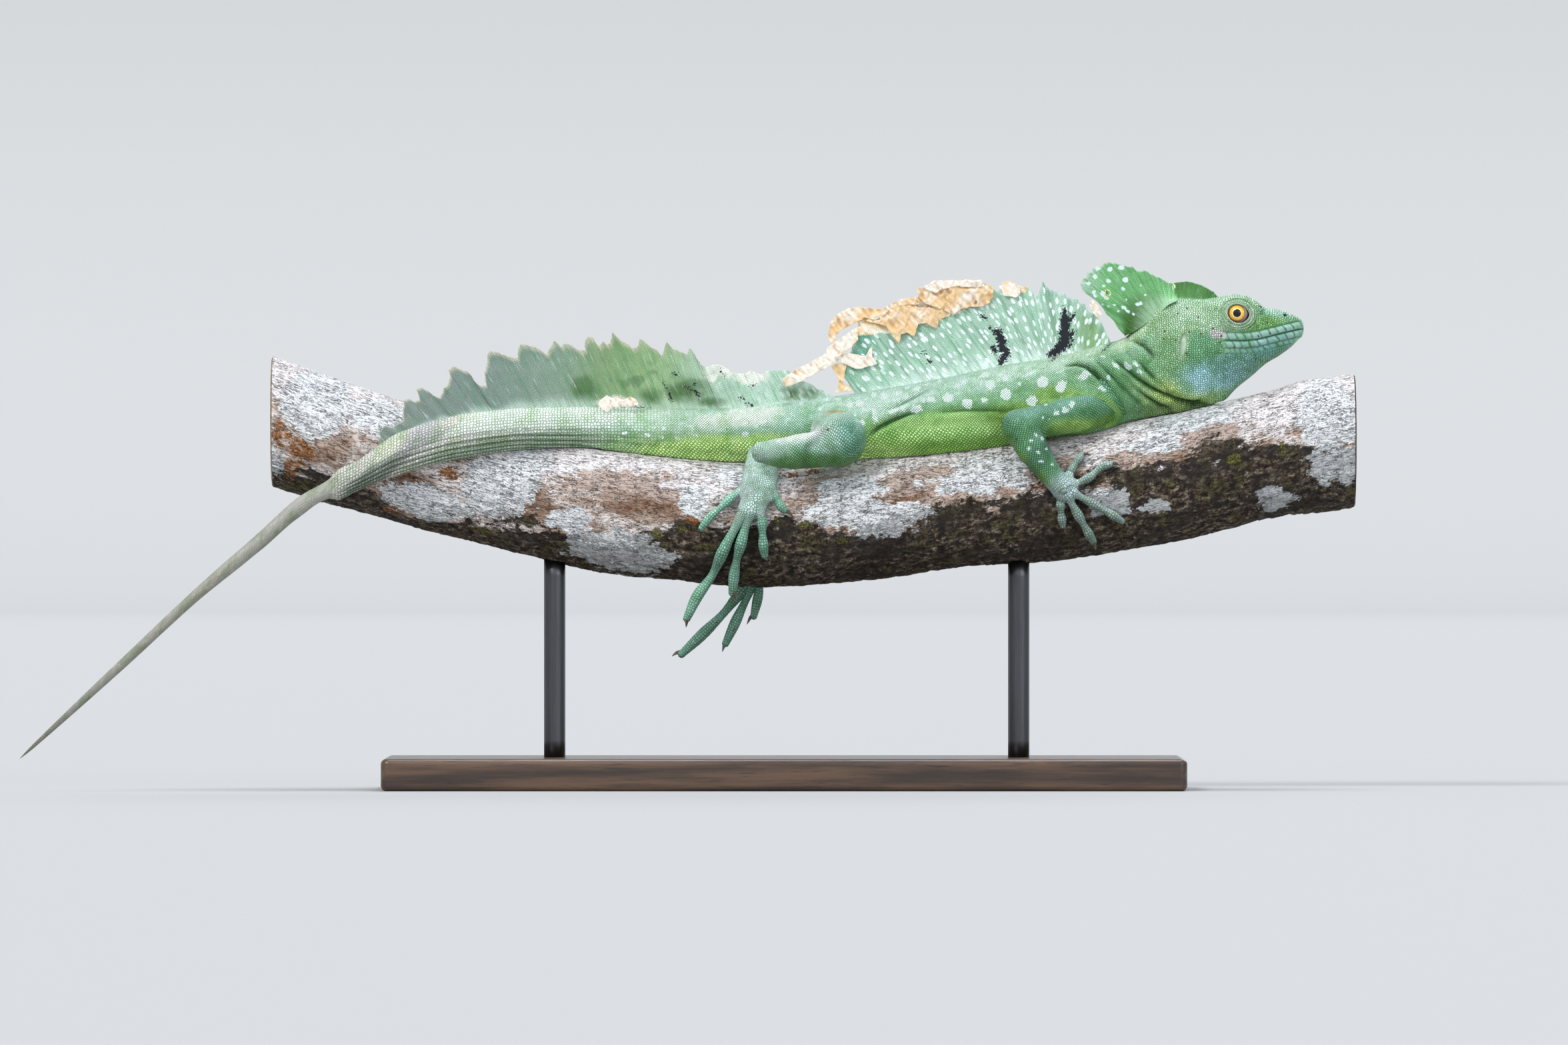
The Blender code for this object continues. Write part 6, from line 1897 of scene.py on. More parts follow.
# Sheets of dead skin: the two edges as (x, z), y of the sheet, crumpling and tan share
FLAPS = (
    (
        (
            (18.8, 167.4), (17, 168.2), (16.6, 170.6), (17.4, 175), (20, 178.2), (24, 180.2),
            (27.6, 180.9), (33, 180.4), (36.5, 179.9), (40.5, 182), (44, 184), (48, 184.3), (51, 183.6),
        ),
        (
            (19.2, 167.4), (19.4, 168.8), (19.6, 170.2), (21, 172), (25, 174), (28.2, 175.6),
            (30.4, 176.8), (34, 175.8), (37, 177.2), (40, 180.2), (43.5, 181.4), (47, 181.8),
            (50.5, 181.8),
        ),
        -1.6, 0.9, 0.55,
    ),
    (
        (
            (34, 178.4), (38, 180.6), (43, 182.6), (48, 182), (50.4, 180.6), (54, 180.6), (58, 181),
            (62, 181),
        ),
        (
            (30.6, 175.6), (34.4, 174.6), (38.4, 173.6), (41.4, 168.8), (43.2, 166.8), (43.8, 170.4),
            (46.2, 171.2), (49, 169.4), (50.2, 174.2), (53.2, 174.8), (57.2, 172.6), (58.4, 176.4),
            (62.4, 177.4),
        ),
        -1.3, 1.1, 0.62,
    ),
    (
        (
            (49.8, 187.8), (53, 188.2), (55.4, 190.2), (58, 190.8), (64, 190.5), (70, 190.7),
            (74.4, 190.6), (75.2, 188.8), (77.6, 188.8), (78.4, 186.6),
        ),
        (
            (50.6, 184.2), (53, 182), (57, 180.6), (60.8, 179.2), (63.6, 177.6), (66.4, 180),
            (70.5, 180.8), (74.5, 180.8), (77, 182.4), (78.6, 184.6),
        ),
        -1.9, 1.5, 0.58,
    ),
    (
        ((52, 188), (56, 190.6), (62, 190.9), (68, 190.6), (74.6, 190.9)),
        ((57, 186), (59, 187.4), (64, 188.6), (69, 188.4), (74, 188.2)),
        -3, 0.7, 0.1,
    ),
    (
        ((80.4, 188.8), (83, 189.2), (84.5, 190.3), (86.5, 189.6), (88.6, 188.6)),
        ((81.6, 187.2), (82.2, 185.2), (85, 184.6), (87.4, 184.4), (88.6, 185.6)),
        -1, 0.5, 0.35,
    ),
    (
        (
            (27.2, 173.4), (24, 171), (20, 168.2), (16.4, 165.6), (15.6, 163.4), (11, 160.6), (4, 157),
            (-0.6, 153.8),
        ),
        (
            (27.8, 168.6), (25, 165.4), (22.2, 163.6), (20.4, 160.8), (17.5, 158.6), (12, 156), (6, 152.6),
            (0.6, 150.8),
        ),
        -3, 0.8, 0.38,
    ),
    (
        (
            (21.4, 163.4), (24.5, 163.6), (27.5, 163), (30.2, 162.2), (31.6, 164.2), (33.2, 166.6),
            (33, 162.4), (34.8, 159.9),
        ),
        (
            (21.4, 160), (24, 158.6), (27, 157.6), (29, 157.6), (31, 158.2), (32.5, 158.8), (33.8, 159),
            (34.8, 159.5),
        ),
        -2, 0.5, 0.22,
    ),
    (
        ((20.8, 160), (20.7, 155), (20.5, 152), (20.2, 150.4), (19, 148.8)),
        ((23.4, 159), (22.6, 154.4), (22.3, 152), (24.6, 151.4), (25.6, 149.2)),
        -1.2, 0.5, 0.55,
    ),
    (
        ((17.6, 158.6), (18.6, 157), (19.8, 155.2), (20.6, 153)),
        ((20.6, 160), (20.9, 157.4), (21, 155.2), (21, 153)), -1.6, 0.3, 0.8,
    ),
    (
        ((115.4, 183.8), (116.6, 183), (118.2, 180.6), (119.2, 178.2)),
        ((114.6, 181.6), (115.2, 179.6), (116.6, 177.6), (118, 176.8)),
        -0.4, 0.5, 0.12,
    ),
    (
        ((-55.5, 146.2), (-57.5, 147.2), (-60.2, 145.8)), ((-54.4, 144.2), (-57.6, 143.4), (-60.4, 144)),
        -7.6, 0.5, 0.3,
    ),
    (
        ((-60, 145.6), (-62.4, 147.2), (-64.8, 145.8)), ((-60.2, 144), (-62.6, 143.2), (-64.8, 143.8)),
        -7.9, 0.4, 0.2,
    ),
    (
        ((-64, 146.4), (-66.4, 147.8), (-68.6, 146.2), (-69.6, 144.4)),
        ((-64.4, 143.4), (-66.2, 141), (-67.6, 142.4), (-69.2, 143.4)),
        -7.6, 0.5, 0.25,
    ),
)


@dataclass
class BackSail:
    """The sail on the back, with rays, torn teeth, black patches and a dry margin."""

    trunk: Trunk
    ray_pitch: float = 3.9
    ray_thick: float = 1.7
    web_thick: float = 0.9
    rim_thick: float = 0.5
    phase: Array | None = None

    def build(self, finish: Material) -> Piece:
        """Makes the sail from its rim, each column leaning back along its ray."""
        x, z = jagged(BACK_RIM, 0.42, 0.35, 41).T
        feet = ray_feet(self.trunk, x, z, line_at(x, BACK_LEAN), 2.0)
        feet[:, 0] = np.minimum.accumulate(feet[:, 0])
        _, feet[:, 1] = self.trunk.back(feet[:, 0])
        sheet = Sheet(feet, np.column_stack([x, feet[:, 1], z]), 58)
        run = lengths_along(feet)
        self.phase = run / self.ray_pitch + 0.25 * noise(side_view(run, 0 * run), 9.0, 5)
        patch = sheet.patch(self.thick, self.sway, 1.15)
        self.paint(patch)
        return mesh_piece("back_sail_skin", [patch], [finish])

    def ridge(self, column: Array) -> Array:
        """1 along the middle of a ray and 0 in the web, a cosine of the distance along the back."""
        return (0.5 + 0.5 * np.cos(TURN * self.phase[column.astype(int)])) ** 2

    def dryness(self, points: Array) -> Array:
        """1 on the dead margin: above a slanting line that drops towards the hips."""
        above = points[..., 2] - line_at(points[..., 0], DRY_LINE)
        return ease(above + 1.2 * noise(points, 3.0, 9, 2), -1.0, 1.4)

    def thick(self, share: Array, column: Array, points: Array) -> Array:
        """Thick on a ray and at the foot, thin in the web and at the rim."""
        body = self.web_thick + (self.ray_thick - self.web_thick) * self.ridge(column)
        return (body * (1 - share**1.6) + self.rim_thick * share**1.6) * (1 + 1.2 * ease(share, 0.16, 0.0))

    def sway(self, share: Array, column: Array, points: Array) -> Array:
        """Gentle waves along the sail, a pleat at each ray, and crumpling in the dry margin."""
        dry = self.dryness(points)
        wave = 0.8 * np.sin(points[..., 0] / 6.0) * share
        pleat = 0.38 * np.cos(TURN * self.phase[column.astype(int)] + 0.6) * ease(share, 0.05, 0.5)
        crumple = 1.25 * noise(points * np.array((1.0, 0.0, 1.0)), (4.2, 1.0, 5.5), 17, 3) * dry
        return wave + pleat + crumple

    def paint(self, patch: Patch) -> None:
        """Mint green, paler at the foot, with dashes along the rays, ink and the dry margin."""
        p, x = patch.points, patch.points[..., 0]
        share = patch.fields.pop("share")
        column = patch.fields.pop("column")
        tint = toward(np.array((0.46, 0.67, 0.54)), ease(share, 0.32, 0.05), (0.72, 0.87, 0.80))
        run = self.phase[column.astype(int)]
        strength = 0.30 + 0.70 * ease(noise(side_view(run, 0 * run), 1.0, 63), -0.2, 0.6)
        line = strength * ease(self.ridge(column), 0.50, 0.95) * ease(share, 0.05, 0.2)
        tint = toward(tint, 0.55 * line, (0.13, 0.32, 0.18))
        tint = toward(tint, 0.8 * hump(x, 30, 7) * ease(share, 0.45, 0.8), (0.12, 0.38, 0.27))
        tint = toward(tint, 0.8 * hump(x, 115, 5) * ease(share, 1.0, 0.7), (0.22, 0.40, 0.12))
        tint = tint * (1 + 0.16 * noise(p, (5.0, 9.0, 8.0), 65, 3))[..., None]
        tint = toward(tint, 0.6 * ease(share, 0.93, 1.0), (0.66, 0.78, 0.76))
        dashes = ease(share, 0.03, 0.12) * ease(share, 1.0, 0.9)
        patch.fields = {
            "tint": tint,
            "dashes": dashes * ease(noise(p, (5.0, 9.0, 9.0), 67, 2), -0.75, -0.1),
            "dry": self.dryness(p),
            "ink": np.min([off_line(x, p[..., 2], line)[0] for line in INK], axis=0),
            "spot": np.full(share.shape, NOWHERE),
        }


@dataclass
class TailFin:
    """The fin along the tail, cut into backward teeth."""

    trunk: Trunk
    ray_pitch: float = 5.6
    run: Array | None = None

    def build(self, finish: Material) -> Piece:
        """Makes the fin from its rim, each column leaning back along its ray."""
        x, z = jagged(TAIL_RIM, 0.45, 0.28, 71).T
        feet = ray_feet(self.trunk, x, z, line_at(x, TAIL_LEAN), 2.0)
        feet[:, 0] = np.minimum.accumulate(feet[:, 0])
        top, feet[:, 1] = self.trunk.back(feet[:, 0])
        feet[:, 2] = top - 2.0
        sheet = Sheet(feet, np.column_stack([x, feet[:, 1], z]), 36)
        self.run = lengths_along(feet)
        patch = sheet.patch(self.thick, self.sway, 1.1)
        self.paint(patch)
        return mesh_piece("tail_fin_skin", [patch], [finish])

    def ridge(self, column: Array) -> Array:
        """1 along a ray and 0 between, a cosine of the distance along the back."""
        return (0.5 + 0.5 * np.cos(TURN * self.run[column.astype(int)] / self.ray_pitch)) ** 2

    def thick(self, share: Array, column: Array, points: Array) -> Array:
        """Ridges on a web that thins to the rim and widens at the foot."""
        body = 0.9 + 0.8 * self.ridge(column)
        return (body * (1 - share**1.5) + 0.5 * share**1.5) * (1 + 2.0 * ease(share, 0.20, 0.0))

    def sway(self, share: Array, column: Array, points: Array) -> Array:
        """Long waves, pleats at the rays and a little unevenness."""
        run = self.run[column.astype(int)]
        pleat = 0.30 * np.cos(TURN * run / self.ray_pitch + 0.8) * ease(share, 0.1, 0.6)
        return 1.0 * np.sin(run / 11.0) * share + pleat + 0.4 * share * noise(points, 4.0, 23, 2)

    def paint(self, patch: Patch) -> None:
        """Green in front, blue-grey behind, with a pale rim on the teeth and darker stains."""
        p = patch.points
        x, _, z = np.moveaxis(p, -1, 0)
        share = patch.fields.pop("share")
        patch.fields.pop("column")
        tint = smooth_rows(FIN_TONES, x.ravel()).reshape(p.shape)
        tint = toward(tint, 0.6 * ease(share, 0.30, 0.08), (0.54, 0.66, 0.57))
        stain = noise(p, (5.0, 9.0, 3.4), 29, 3)
        dark = 0.60 * ease(stain, 0.08, 0.30) * np.maximum(hump(x, -52, 26), 0.8 * hump(x, 6, 8))
        tint = toward(tint, dark * hump(share, 0.45, 0.30), (0.09, 0.19, 0.07))
        moss = np.max([hump(oval(x, z, (*stain, 0)), 0, 1) for stain in FIN_STAINS], axis=0)
        mossy = np.clip(0.9 * moss + 0.5 * stain, 0, 0.9) * ease(moss, 0.1, 0.4)
        tint = toward(tint, mossy, (0.075, 0.16, 0.045))
        tint = toward(tint, 0.75 * ease(share, 0.90, 0.98) * ease(x, -20, -60), (0.60, 0.54, 0.42))
        fray = 0.25 * noise(p, 2.2, 31, 3)
        white = ease(x, -32, -28) * ease(share + fray, 0.66, 0.80) * ease(x + 8 * fray, -5, -8)
        crumb = np.hypot((x + 62.0) / 8.0, (z - 144.8) / 2.6) + 2.2 * fray
        white = np.maximum(0.9 * white, 0.8 * ease(crumb, 1.05, 0.8))
        tint = toward(tint, white, (1 + 0.8 * fray[..., None]) * (0.88, 0.86, 0.78))
        scabs = np.min([off_line(x, z, line)[0] for line in SCABS], axis=0)
        patch.fields = {
            "tint": tint,
            "dashes": 0.25 * ease(x, -30, 0),
            "dry": 0 * share,
            "ink": scabs + 0.3,
            "spot": np.full(share.shape, NOWHERE),
        }


def dry_skin(finish: Material) -> Piece:
    """All the loose sheets of dead skin in one piece.

    Each runs straight across between its two edges, which are ragged by noise. Sharp noise
    crumples it in Y, and pleats cross it slantwise. A second face lies a little behind.
    """
    patches = []
    for seed, (upper, lower, y, crumple, tan) in enumerate(FLAPS, 1):
        edges = [jagged(line, 0.30, 0.22, seed + k) for k, line in enumerate((upper, lower))]
        edges = [even_path(line, 150, smooth=False) for line in edges]
        share = np.linspace(0, 1, 22)[:, None]
        flat = edges[0][:, None] * (1 - share) + edges[1][:, None] * share
        x, z = np.moveaxis(flat, -1, 0)
        spot = np.stack([x, 0 * x, z], axis=-1)
        fold = 1 - 2 * np.abs(noise(spot, (3.4, 1.0, 4.6), seed + 40, 3)) ** 0.7
        pleat = np.sin((x + 0.8 * z) * 2.1 + 3 * noise(spot, 6.0, seed + 50))
        depth = crumple * (0.75 * fold + 0.22 * pleat)
        front = np.stack([x, y - depth, z], axis=-1)
        back = front[:, ::-1] + (0, 0.26, 0)
        points = np.concatenate([front, back], axis=1)
        dent = np.concatenate([depth, depth[:, ::-1]], axis=1) / crumple
        flat = np.concatenate([flat, flat[:, ::-1], flat[:, :1]], axis=1)
        fields = {"fold": ease(dent, 0.15, -0.55), "tan": np.full(dent.shape, tan)}
        patches.append(Patch(points, flat, fields))
    return mesh_piece("dry_skin_flaps", patches, [finish])


# Head crest, the plate on the brow in front of it, and the head crest's pale spots, all in side view
CREST_ROOT = ((128, 170), (132, 172), (136.5, 175), (141, 178.5), (144, 181.5), (147, 183))
CREST_RIM = (
    (126.6, 171.2), (125.4, 172.6), (124, 175.2), (122.2, 177), (120.8, 178.2), (119.6, 180.2),
    (117.4, 183), (115.4, 184.4), (113.4, 185.8), (111.9, 187.2), (111.1, 189.4), (112.2, 191.6),
    (113.4, 192), (113.8, 193.8), (115.8, 194), (115.6, 195.4), (116.8, 196), (118.6, 195.8), (119.6, 197),
    (121.8, 197.7), (123.4, 197.2), (126.2, 197), (128.4, 196.2), (130.6, 196.1), (132, 194.6),
    (133.4, 194.2), (135.2, 194.8), (137, 193.6), (139, 192.6), (141.4, 191.8), (143.6, 190.2),
    (146, 189.6), (148.4, 188), (149.8, 185.4),
)
CREST_SPOTS = (
    (117.6, 195.2, 1.2, 0.9, 0), (122.2, 195, 1.1, 1, 0), (126.5, 195.6, 1.3, 1, 0),
    (116.6, 192.2, 1, 1, 0), (114, 189.6, 1.6, 0.6, -10), (121.6, 190.6, 1, 0.9, 0),
    (128, 191, 1.2, 1.1, 0), (119.9, 188.8, 0.8, 0.6, 0), (127, 187.6, 0.9, 0.8, 0),
    (116.2, 186.5, 0.8, 0.8, 0), (116.6, 185, 0.8, 0.8, 0), (119.6, 185.8, 1, 1.3, 30),
    (120.8, 184.2, 1.2, 0.8, -20), (133.8, 188.9, 0.5, 0.5, 0), (135.5, 185.3, 0.5, 0.6, 0),
    (128.3, 183.6, 0.4, 0.5, 0), (132.5, 181.9, 0.9, 0.8, 0), (133.7, 182.2, 0.7, 0.8, 0),
    (123.8, 181.6, 0.7, 0.5, 0), (119.4, 181.8, 0.7, 0.4, -30), (121.5, 181.2, 0.8, 0.4, -30),
    (127.4, 180.6, 1.1, 0.8, -30), (128.8, 179.2, 0.9, 0.7, -30), (125.3, 179.2, 0.7, 0.5, 0),
    (131, 178, 0.8, 0.5, -30),
)
BROW_ROOT = ((144, 182.4), (149, 182), (155, 182), (161.6, 182.6))
BROW_RIM = (
    (142.6, 188.4), (144.6, 189.4), (147.4, 190.2), (150.2, 190.6), (153, 190.2), (155.2, 189.6),
    (157.2, 188.8), (159.2, 187.6), (161.2, 186.4), (162.6, 184.8), (163.8, 183.2),
)


@dataclass
class Crest:
    """One upright plate on the head, thick at its root and thin at a nicked rim."""

    name: str
    root: tuple
    rim: tuple
    base_thick: float
    tint: Colour
    shade: Colour
    spotted: bool = False

    def build(self, finish: Material) -> Piece:
        """Makes the plate, with fine ridges that fan from its root."""
        rim = jagged(self.rim, 0.20, 0.16, 91)
        root = even_path(self.root, len(rim))
        to3 = [np.column_stack([line[:, 0], 0 * line[:, 0], line[:, 1]]) for line in (root, rim)]
        patch = Sheet(*to3, 52).patch(self.thick, self.sway)
        p, share = patch.points, patch.fields.pop("share")
        x, _, z = np.moveaxis(p, -1, 0)
        patch.fields.pop("column")
        tint = toward(np.array(self.tint), ease(share, 0.55, 0.15) * ease(x, 144, 132), self.shade)
        pale = ease(share, 0.50, 0.12) * ease(x, 129, 138) if self.spotted else ease(share, 0.34, 0.10)
        tint = toward(tint, 0.8 * pale, (0.40, 0.60, 0.40))
        tint = toward(tint, ease(x, 122, 112) * 0.7 * self.spotted, (0.42, 0.62, 0.48))
        tint = tint * (1 + 0.22 * noise(p, 5.0, 33, 3))[..., None]
        tint = toward(tint, 0.75 * ease(share, 0.955, 0.995), (0.62, 0.72, 0.62))
        patch.fields = {"tint": tint, "dashes": 0 * share, **self.marks(x, z)}
        return mesh_piece(f"{self.name}_skin", [patch], [finish])

    def marks(self, x: Array, z: Array) -> dict[str, Array]:
        """Spots and a ringed hole on the spotted plate, and a dry nick on the plain one."""
        if not self.spotted:
            nowhere = NOWHERE + 0 * x
            return {"dry": hump(x, 144.5, 2.6) * hump(z, 188.4, 2.0), "ink": nowhere, "spot": nowhere}
        hole = self.hole(x, z)
        spot = 0.14 + off_spots(x, z, CREST_SPOTS)
        return {"dry": hump(hole, 1.15, 0.22), "ink": hole * 4.0 - 0.6, "spot": spot}

    def hole(self, x: Array, z: Array) -> Array:
        """The scaled distance from the middle of the hole."""
        return np.hypot(x - 121.2, (z - 185.9) * 0.85)

    def thick(self, share: Array, column: Array, points: Array) -> Array:
        """Falls from the root's thickness to the rim's, with fine ridges and a ringed hole."""
        ridges = 0.10 * np.sin(column * 0.9 + 9 * share)
        hole = self.hole(points[..., 0], points[..., 2])
        ring = self.spotted * (0.55 * hump(hole, 1.15, 0.35) - 0.5 * ease(hole, 0.9, 0.3))
        root = self.base_thick * ((1 - share) ** 1.4 + 1.5 * (1 - share) ** 6)
        return root + 0.55 + (ridges + ring) * ease(share, 1.0, 0.85)

    def sway(self, share: Array, column: Array, points: Array) -> Array:
        """A slight S-bend, and unevenness towards the rim."""
        return 0.5 * share * np.sin(points[..., 0] / 7) + 0.3 * share * noise(points, 5.0, 37, 2)


# Growths and stains on the bark in side view: x, z, half length, half height, tilt in degrees
LICHEN = (
    (-175, 144, 12, 12, -8), (-152, 140, 9, 5, -20), (-133, 107, 14, 6, -12), (-106, 113, 13, 11, 0),
    (-61, 88, 17, 6.5, -8), (-94, 124, 8, 3, 0), (-34, 108.5, 4.5, 5, 0), (30, 103, 18, 4.6, 0),
    (39, 98.5, 8, 2.6, 8), (24, 112, 10, 4, 0), (84, 122, 13, 3, 6), (72, 115, 15, 3, 5),
    (120, 108, 7, 4.4, -4), (203, 139, 11, 12, 0), (207, 122, 9, 6, 0), (184, 109, 5.5, 3, 0),
    (138, 106.5, 3, 2, 0), (-14, 118, 9, 3, 0), (140, 130, 8, 3, 10), (-195, 123, 7, 5, 0),
    (-80, 100, 7, 4, 0), (152, 139, 12, 3, 14),
)
MOSS = (
    (-47.6, 95.6, 2.6, 3, 0), (-3, 101, 2, 1.6, 0), (8, 99, 4, 2, -20), (22, 92.5, 2.6, 2, 0),
    (168, 124, 3, 3, 20), (-38, 98, 3, 1.6, 0), (186, 128, 1.6, 5, 10), (-113, 96, 6, 1.6, -10),
)
TAN = (
    (-62, 116, 18, 4, 0), (-52, 107, 18, 7, -8), (62, 114, 26, 8, 4), (22, 112, 18, 6, 0),
    (146, 129, 26, 5, 14), (-136, 111, 10, 5, -20), (-86, 99, 8, 6, -10), (100, 118, 12, 6, 8),
    (-170, 128, 8, 5, -20),
)
RUST = (
    (-188, 133, 4, 6, 0), (-180, 126, 5, 6, 30), (-184, 119, 3, 5, 0), (-145.5, 103.5, 4.5, 2, -30),
    (-125, 119, 5, 3.5, 0), (-106, 102, 2, 1.6, 0), (-34, 101, 2.6, 2.2, 0), (4, 118, 5, 1.6, -10),
    (10, 119, 2.4, 1.6, 0),
)
# How far up the branch's side the dark, mossy bark and its painted shade reach: x and the cosine from its top
DARK_LINE = (
    (-205, -0.72), (-192, -0.66), (-110, -0.55), (-85, -0.3), (-70, -0.46), (-45, -0.2), (-35, 0.08),
    (10, 0.1), (25, -0.12), (45, -0.12), (60, 0.08), (90, 0.1), (120, 0.15), (142, 0.26), (155, 0.42),
    (174, 0.38), (190, 0.02), (214, -0.14),
)


@dataclass
class Branch:
    """The cut length of branch, with cracked bark and two sawn ends."""

    rows: int = 460
    sides: int = 208
    end_shares: tuple = (0.975, 0.93, 0.84, 0.68, 0.48, 0.28, 0.10, 0.03)

    def build(self, bark: Material, sawn: Material) -> Piece:
        """Makes the branch.

        A ring at x has the branch's radius with two low waves round it, r (1 - 0.011 (1 + sin(3a
        + x/17) + sin(5a - x/9))). Bark relief is added by stretched noise and never stands more
        than a quarter of a millimetre proud, so that feet and belly keep clear.

        Args:
            bark: Finish of the bark.
            sawn: Finish of the ends.

        Returns:
            The piece.
        """
        x = np.linspace(BRANCH[0][0] + 0.5, BRANCH[-1][0] - 0.5, self.rows)
        turn = ring_angles(self.sides)
        middle, radius = (v[:, None] for v in branch_at(x))
        waves = 0.011 * (1 + np.sin(3 * turn + x[:, None] / 17) + np.sin(5 * turn - x[:, None] / 9))
        smooth = radius * (1 - waves * ease(np.cos(turn), 0.95, 0.70))
        even = BARK_RADIUS * np.sin(turn), BARK_RADIUS * np.cos(turn)
        spot = np.stack(np.broadcast_arrays(x[:, None], *even), axis=-1)
        relief, crack = self.relief(spot)
        covered = ease(np.cos(turn), 0.86, 0.95) * (ease(x, -110, -90) * ease(x, 164, 154))[:, None]
        grown = smooth + np.where(relief < 0, relief * (1 - 0.85 * covered), relief)
        points = np.stack([spot[..., 0], grown * np.sin(turn), middle + grown * np.cos(turn)], axis=-1)
        rings = [points]
        for row, outer in ((0, BRANCH[0][0]), (-1, BRANCH[-1][0])):
            hub = np.array([outer, 0, middle[row, 0]])
            ring = points[row] * (0, 1, 1) + (outer, 0, 0)
            cap = np.stack([hub + (ring - hub) * share for share in self.end_shares])
            rings.insert(0, cap[::-1]) if row == 0 else rings.append(cap)
        points = np.concatenate(rings)
        flat = np.stack(np.broadcast_arrays(x[:, None], BARK_RADIUS * turn), axis=-1)
        flat = np.concatenate([flat, flat[:, :1] + (0, BARK_RADIUS * TURN)], axis=1)
        out = BARK_RADIUS * np.array(self.end_shares)[:, None]
        disc = joined(np.stack(np.broadcast_arrays(out, turn), axis=-1))
        flat = np.concatenate([disc[::-1], flat, disc])
        ends = len(self.end_shares)
        kinds = np.concatenate([np.ones(ends), np.zeros(self.rows - 1), np.ones(ends)])
        fields = self.growths(spot, turn, crack)
        fields = {key: np.pad(value, ((ends, ends), (0, 0)), mode="edge") for key, value in fields.items()}
        patch = Patch(points, flat, fields, finish=kinds)
        return mesh_piece("branch", [patch], [bark, sawn])

    def relief(self, spot: Array) -> tuple[Array, Array]:
        """Short plates between fine fissures, by noise stretched along the branch, ragged where mossy."""
        bent = spot + 1.6 * np.stack([noise(spot, 9.0, seed, 2) for seed in (61, 62, 63)], axis=-1)
        fissure = np.abs(noise(bent, (8.0, 2.5, 2.5), 51, 3))
        crack = hump(fissure, 0, 0.085)
        up = spot[..., 2] / BARK_RADIUS
        low = ease(up, 0.25, -0.35) + ease(spot[..., 0], 166, 180) * ease(up, 0.9, 0.4)
        lumps = 0.9 * noise(spot, (30.0, 13.0, 13.0), 53, 3)
        plates = 0.34 * noise(bent, (7.0, 2.4, 2.4), 52, 2)
        pits = (0.24 + 0.50 * low) * noise(spot, 2.3, 54, 3)
        knobs = 1.1 * noise(spot, (8.0, 5.0, 5.0), 55, 3) * (0.25 + ease(spot[..., 0], 150, 178))
        raw = lumps + plates + pits + knobs - 0.55 * crack - 0.45 * low
        return 0.25 - 0.30 * np.logaddexp(0, (0.15 - raw) / 0.30), crack

    def growths(self, spot: Array, turn: Array, crack: Array) -> dict[str, Array]:
        """Where the bark is dark below, with moss and painted shade, or tan, and where lichen, moss and rusty
        algae grow.

        Patches on the side that is seen in the photograph are ellipses in side view. The far
        side has patches of its own, by noise.
        """
        up = np.cos(turn) + 0 * crack
        middle, _ = branch_at(spot[..., 0])
        x, z = spot[..., 0], middle + spot[..., 2]
        near = ease(spot[..., 1], 3.0, -3.0)
        wavy = 0.42 * noise(spot, (20.0, 8.0, 8.0), 57, 4)
        # The dark, mossy underside below the dark line, partly painted shade
        shade = ease(up - line_at(x, DARK_LINE) + wavy, 0.34, -0.34)
        far = 0.50 * ease(up, -0.5, 0.4) + 0.42 * noise(spot, (34.0, 15.0, 15.0), 58, 2)
        lichen = 1.05 * ease(off_spots(x, z, LICHEN), 6.5, -4.5) * near + np.clip(far, 0, 0.6) * (1 - near)
        moss = 0.62 * ease(off_spots(x, z, MOSS), 1.4, -1.0) * near + 0.10 * shade
        rust = 0.68 * ease(off_spots(x, z, RUST), 3.0, -1.6) * near + 0.12 * (1 - near)
        tan = 0.95 * ease(off_spots(x, z, TAN), 5.0, -4.0) * near + 0.40 * (1 - near)
        shade = np.clip(shade + 0.25 * crack - 0.35 * lichen, 0, 1.2)
        # Painted light: the bark is paler the more it faces up
        pale = ease(up, 0.05, 0.62)
        return {"shade": shade, "lichen": lichen, "moss": moss, "rust": rust, "tan": tan, "pale": pale}


@dataclass
class Stand:
    """A flat base board with rounded edges, and two round rods up to the branch."""

    long: float = 300.0
    deep: float = 112.0
    high: float = 12.0
    edge: float = 2.0
    corner: float = 3.0
    rod_radius: float = 4.0
    places: tuple = (("front", 88.0), ("back", -86.0))

    def board(self, finish: Material) -> Piece:
        """Rings of a rounded rectangle, stacked up a profile that is rounded at both edges."""
        bend = np.radians(np.linspace(0, 90, 7))
        low = np.column_stack([self.edge - self.edge * np.sin(bend), self.edge - self.edge * np.cos(bend)])
        top = np.column_stack([low[::-1, 0], self.high - low[::-1, 1]])
        inset = np.concatenate([[[40, 0], [12, 0]], low, top, [[12, self.high], [40, self.high]]])
        quarter = np.radians(np.linspace(0, 90, 8))
        around = np.concatenate([quarter + k * math.pi / 2 for k in range(4)])
        side = np.repeat([[1, 1], [-1, 1], [-1, -1], [1, -1]], 8, axis=0)
        rings = []
        for back, z in inset:
            radius = max(self.corner - back, 0.4)
            half = np.array([self.long / 2 - back - radius, self.deep / 2 - back - radius])
            ring = side * half + radius * np.column_stack([np.cos(around), np.sin(around)])
            rings.append(np.column_stack([ring, np.full(len(ring), z)]))
        points = np.stack(rings)
        flat = joined(points)[..., :2]
        return mesh_piece("stand_board", [Patch(points, flat)], [finish])

    def rod(self, word: str, x: float, finish: Material) -> Piece:
        """A plain cylinder from the board to just inside the bark."""
        middle, radius = branch_at(np.array([x]))
        z = np.linspace(self.high - 0.5, middle[0] - radius[0] + 2.2, 12)
        around = ring_angles(48)
        ring = x + self.rod_radius * np.cos(around), self.rod_radius * np.sin(around)
        points = np.stack(np.broadcast_arrays(*ring, z[:, None]), axis=-1)
        flat = joined(points)[..., [2, 0]]
        return mesh_piece(f"stand_post_{word}", [Patch(points, flat)], [finish])


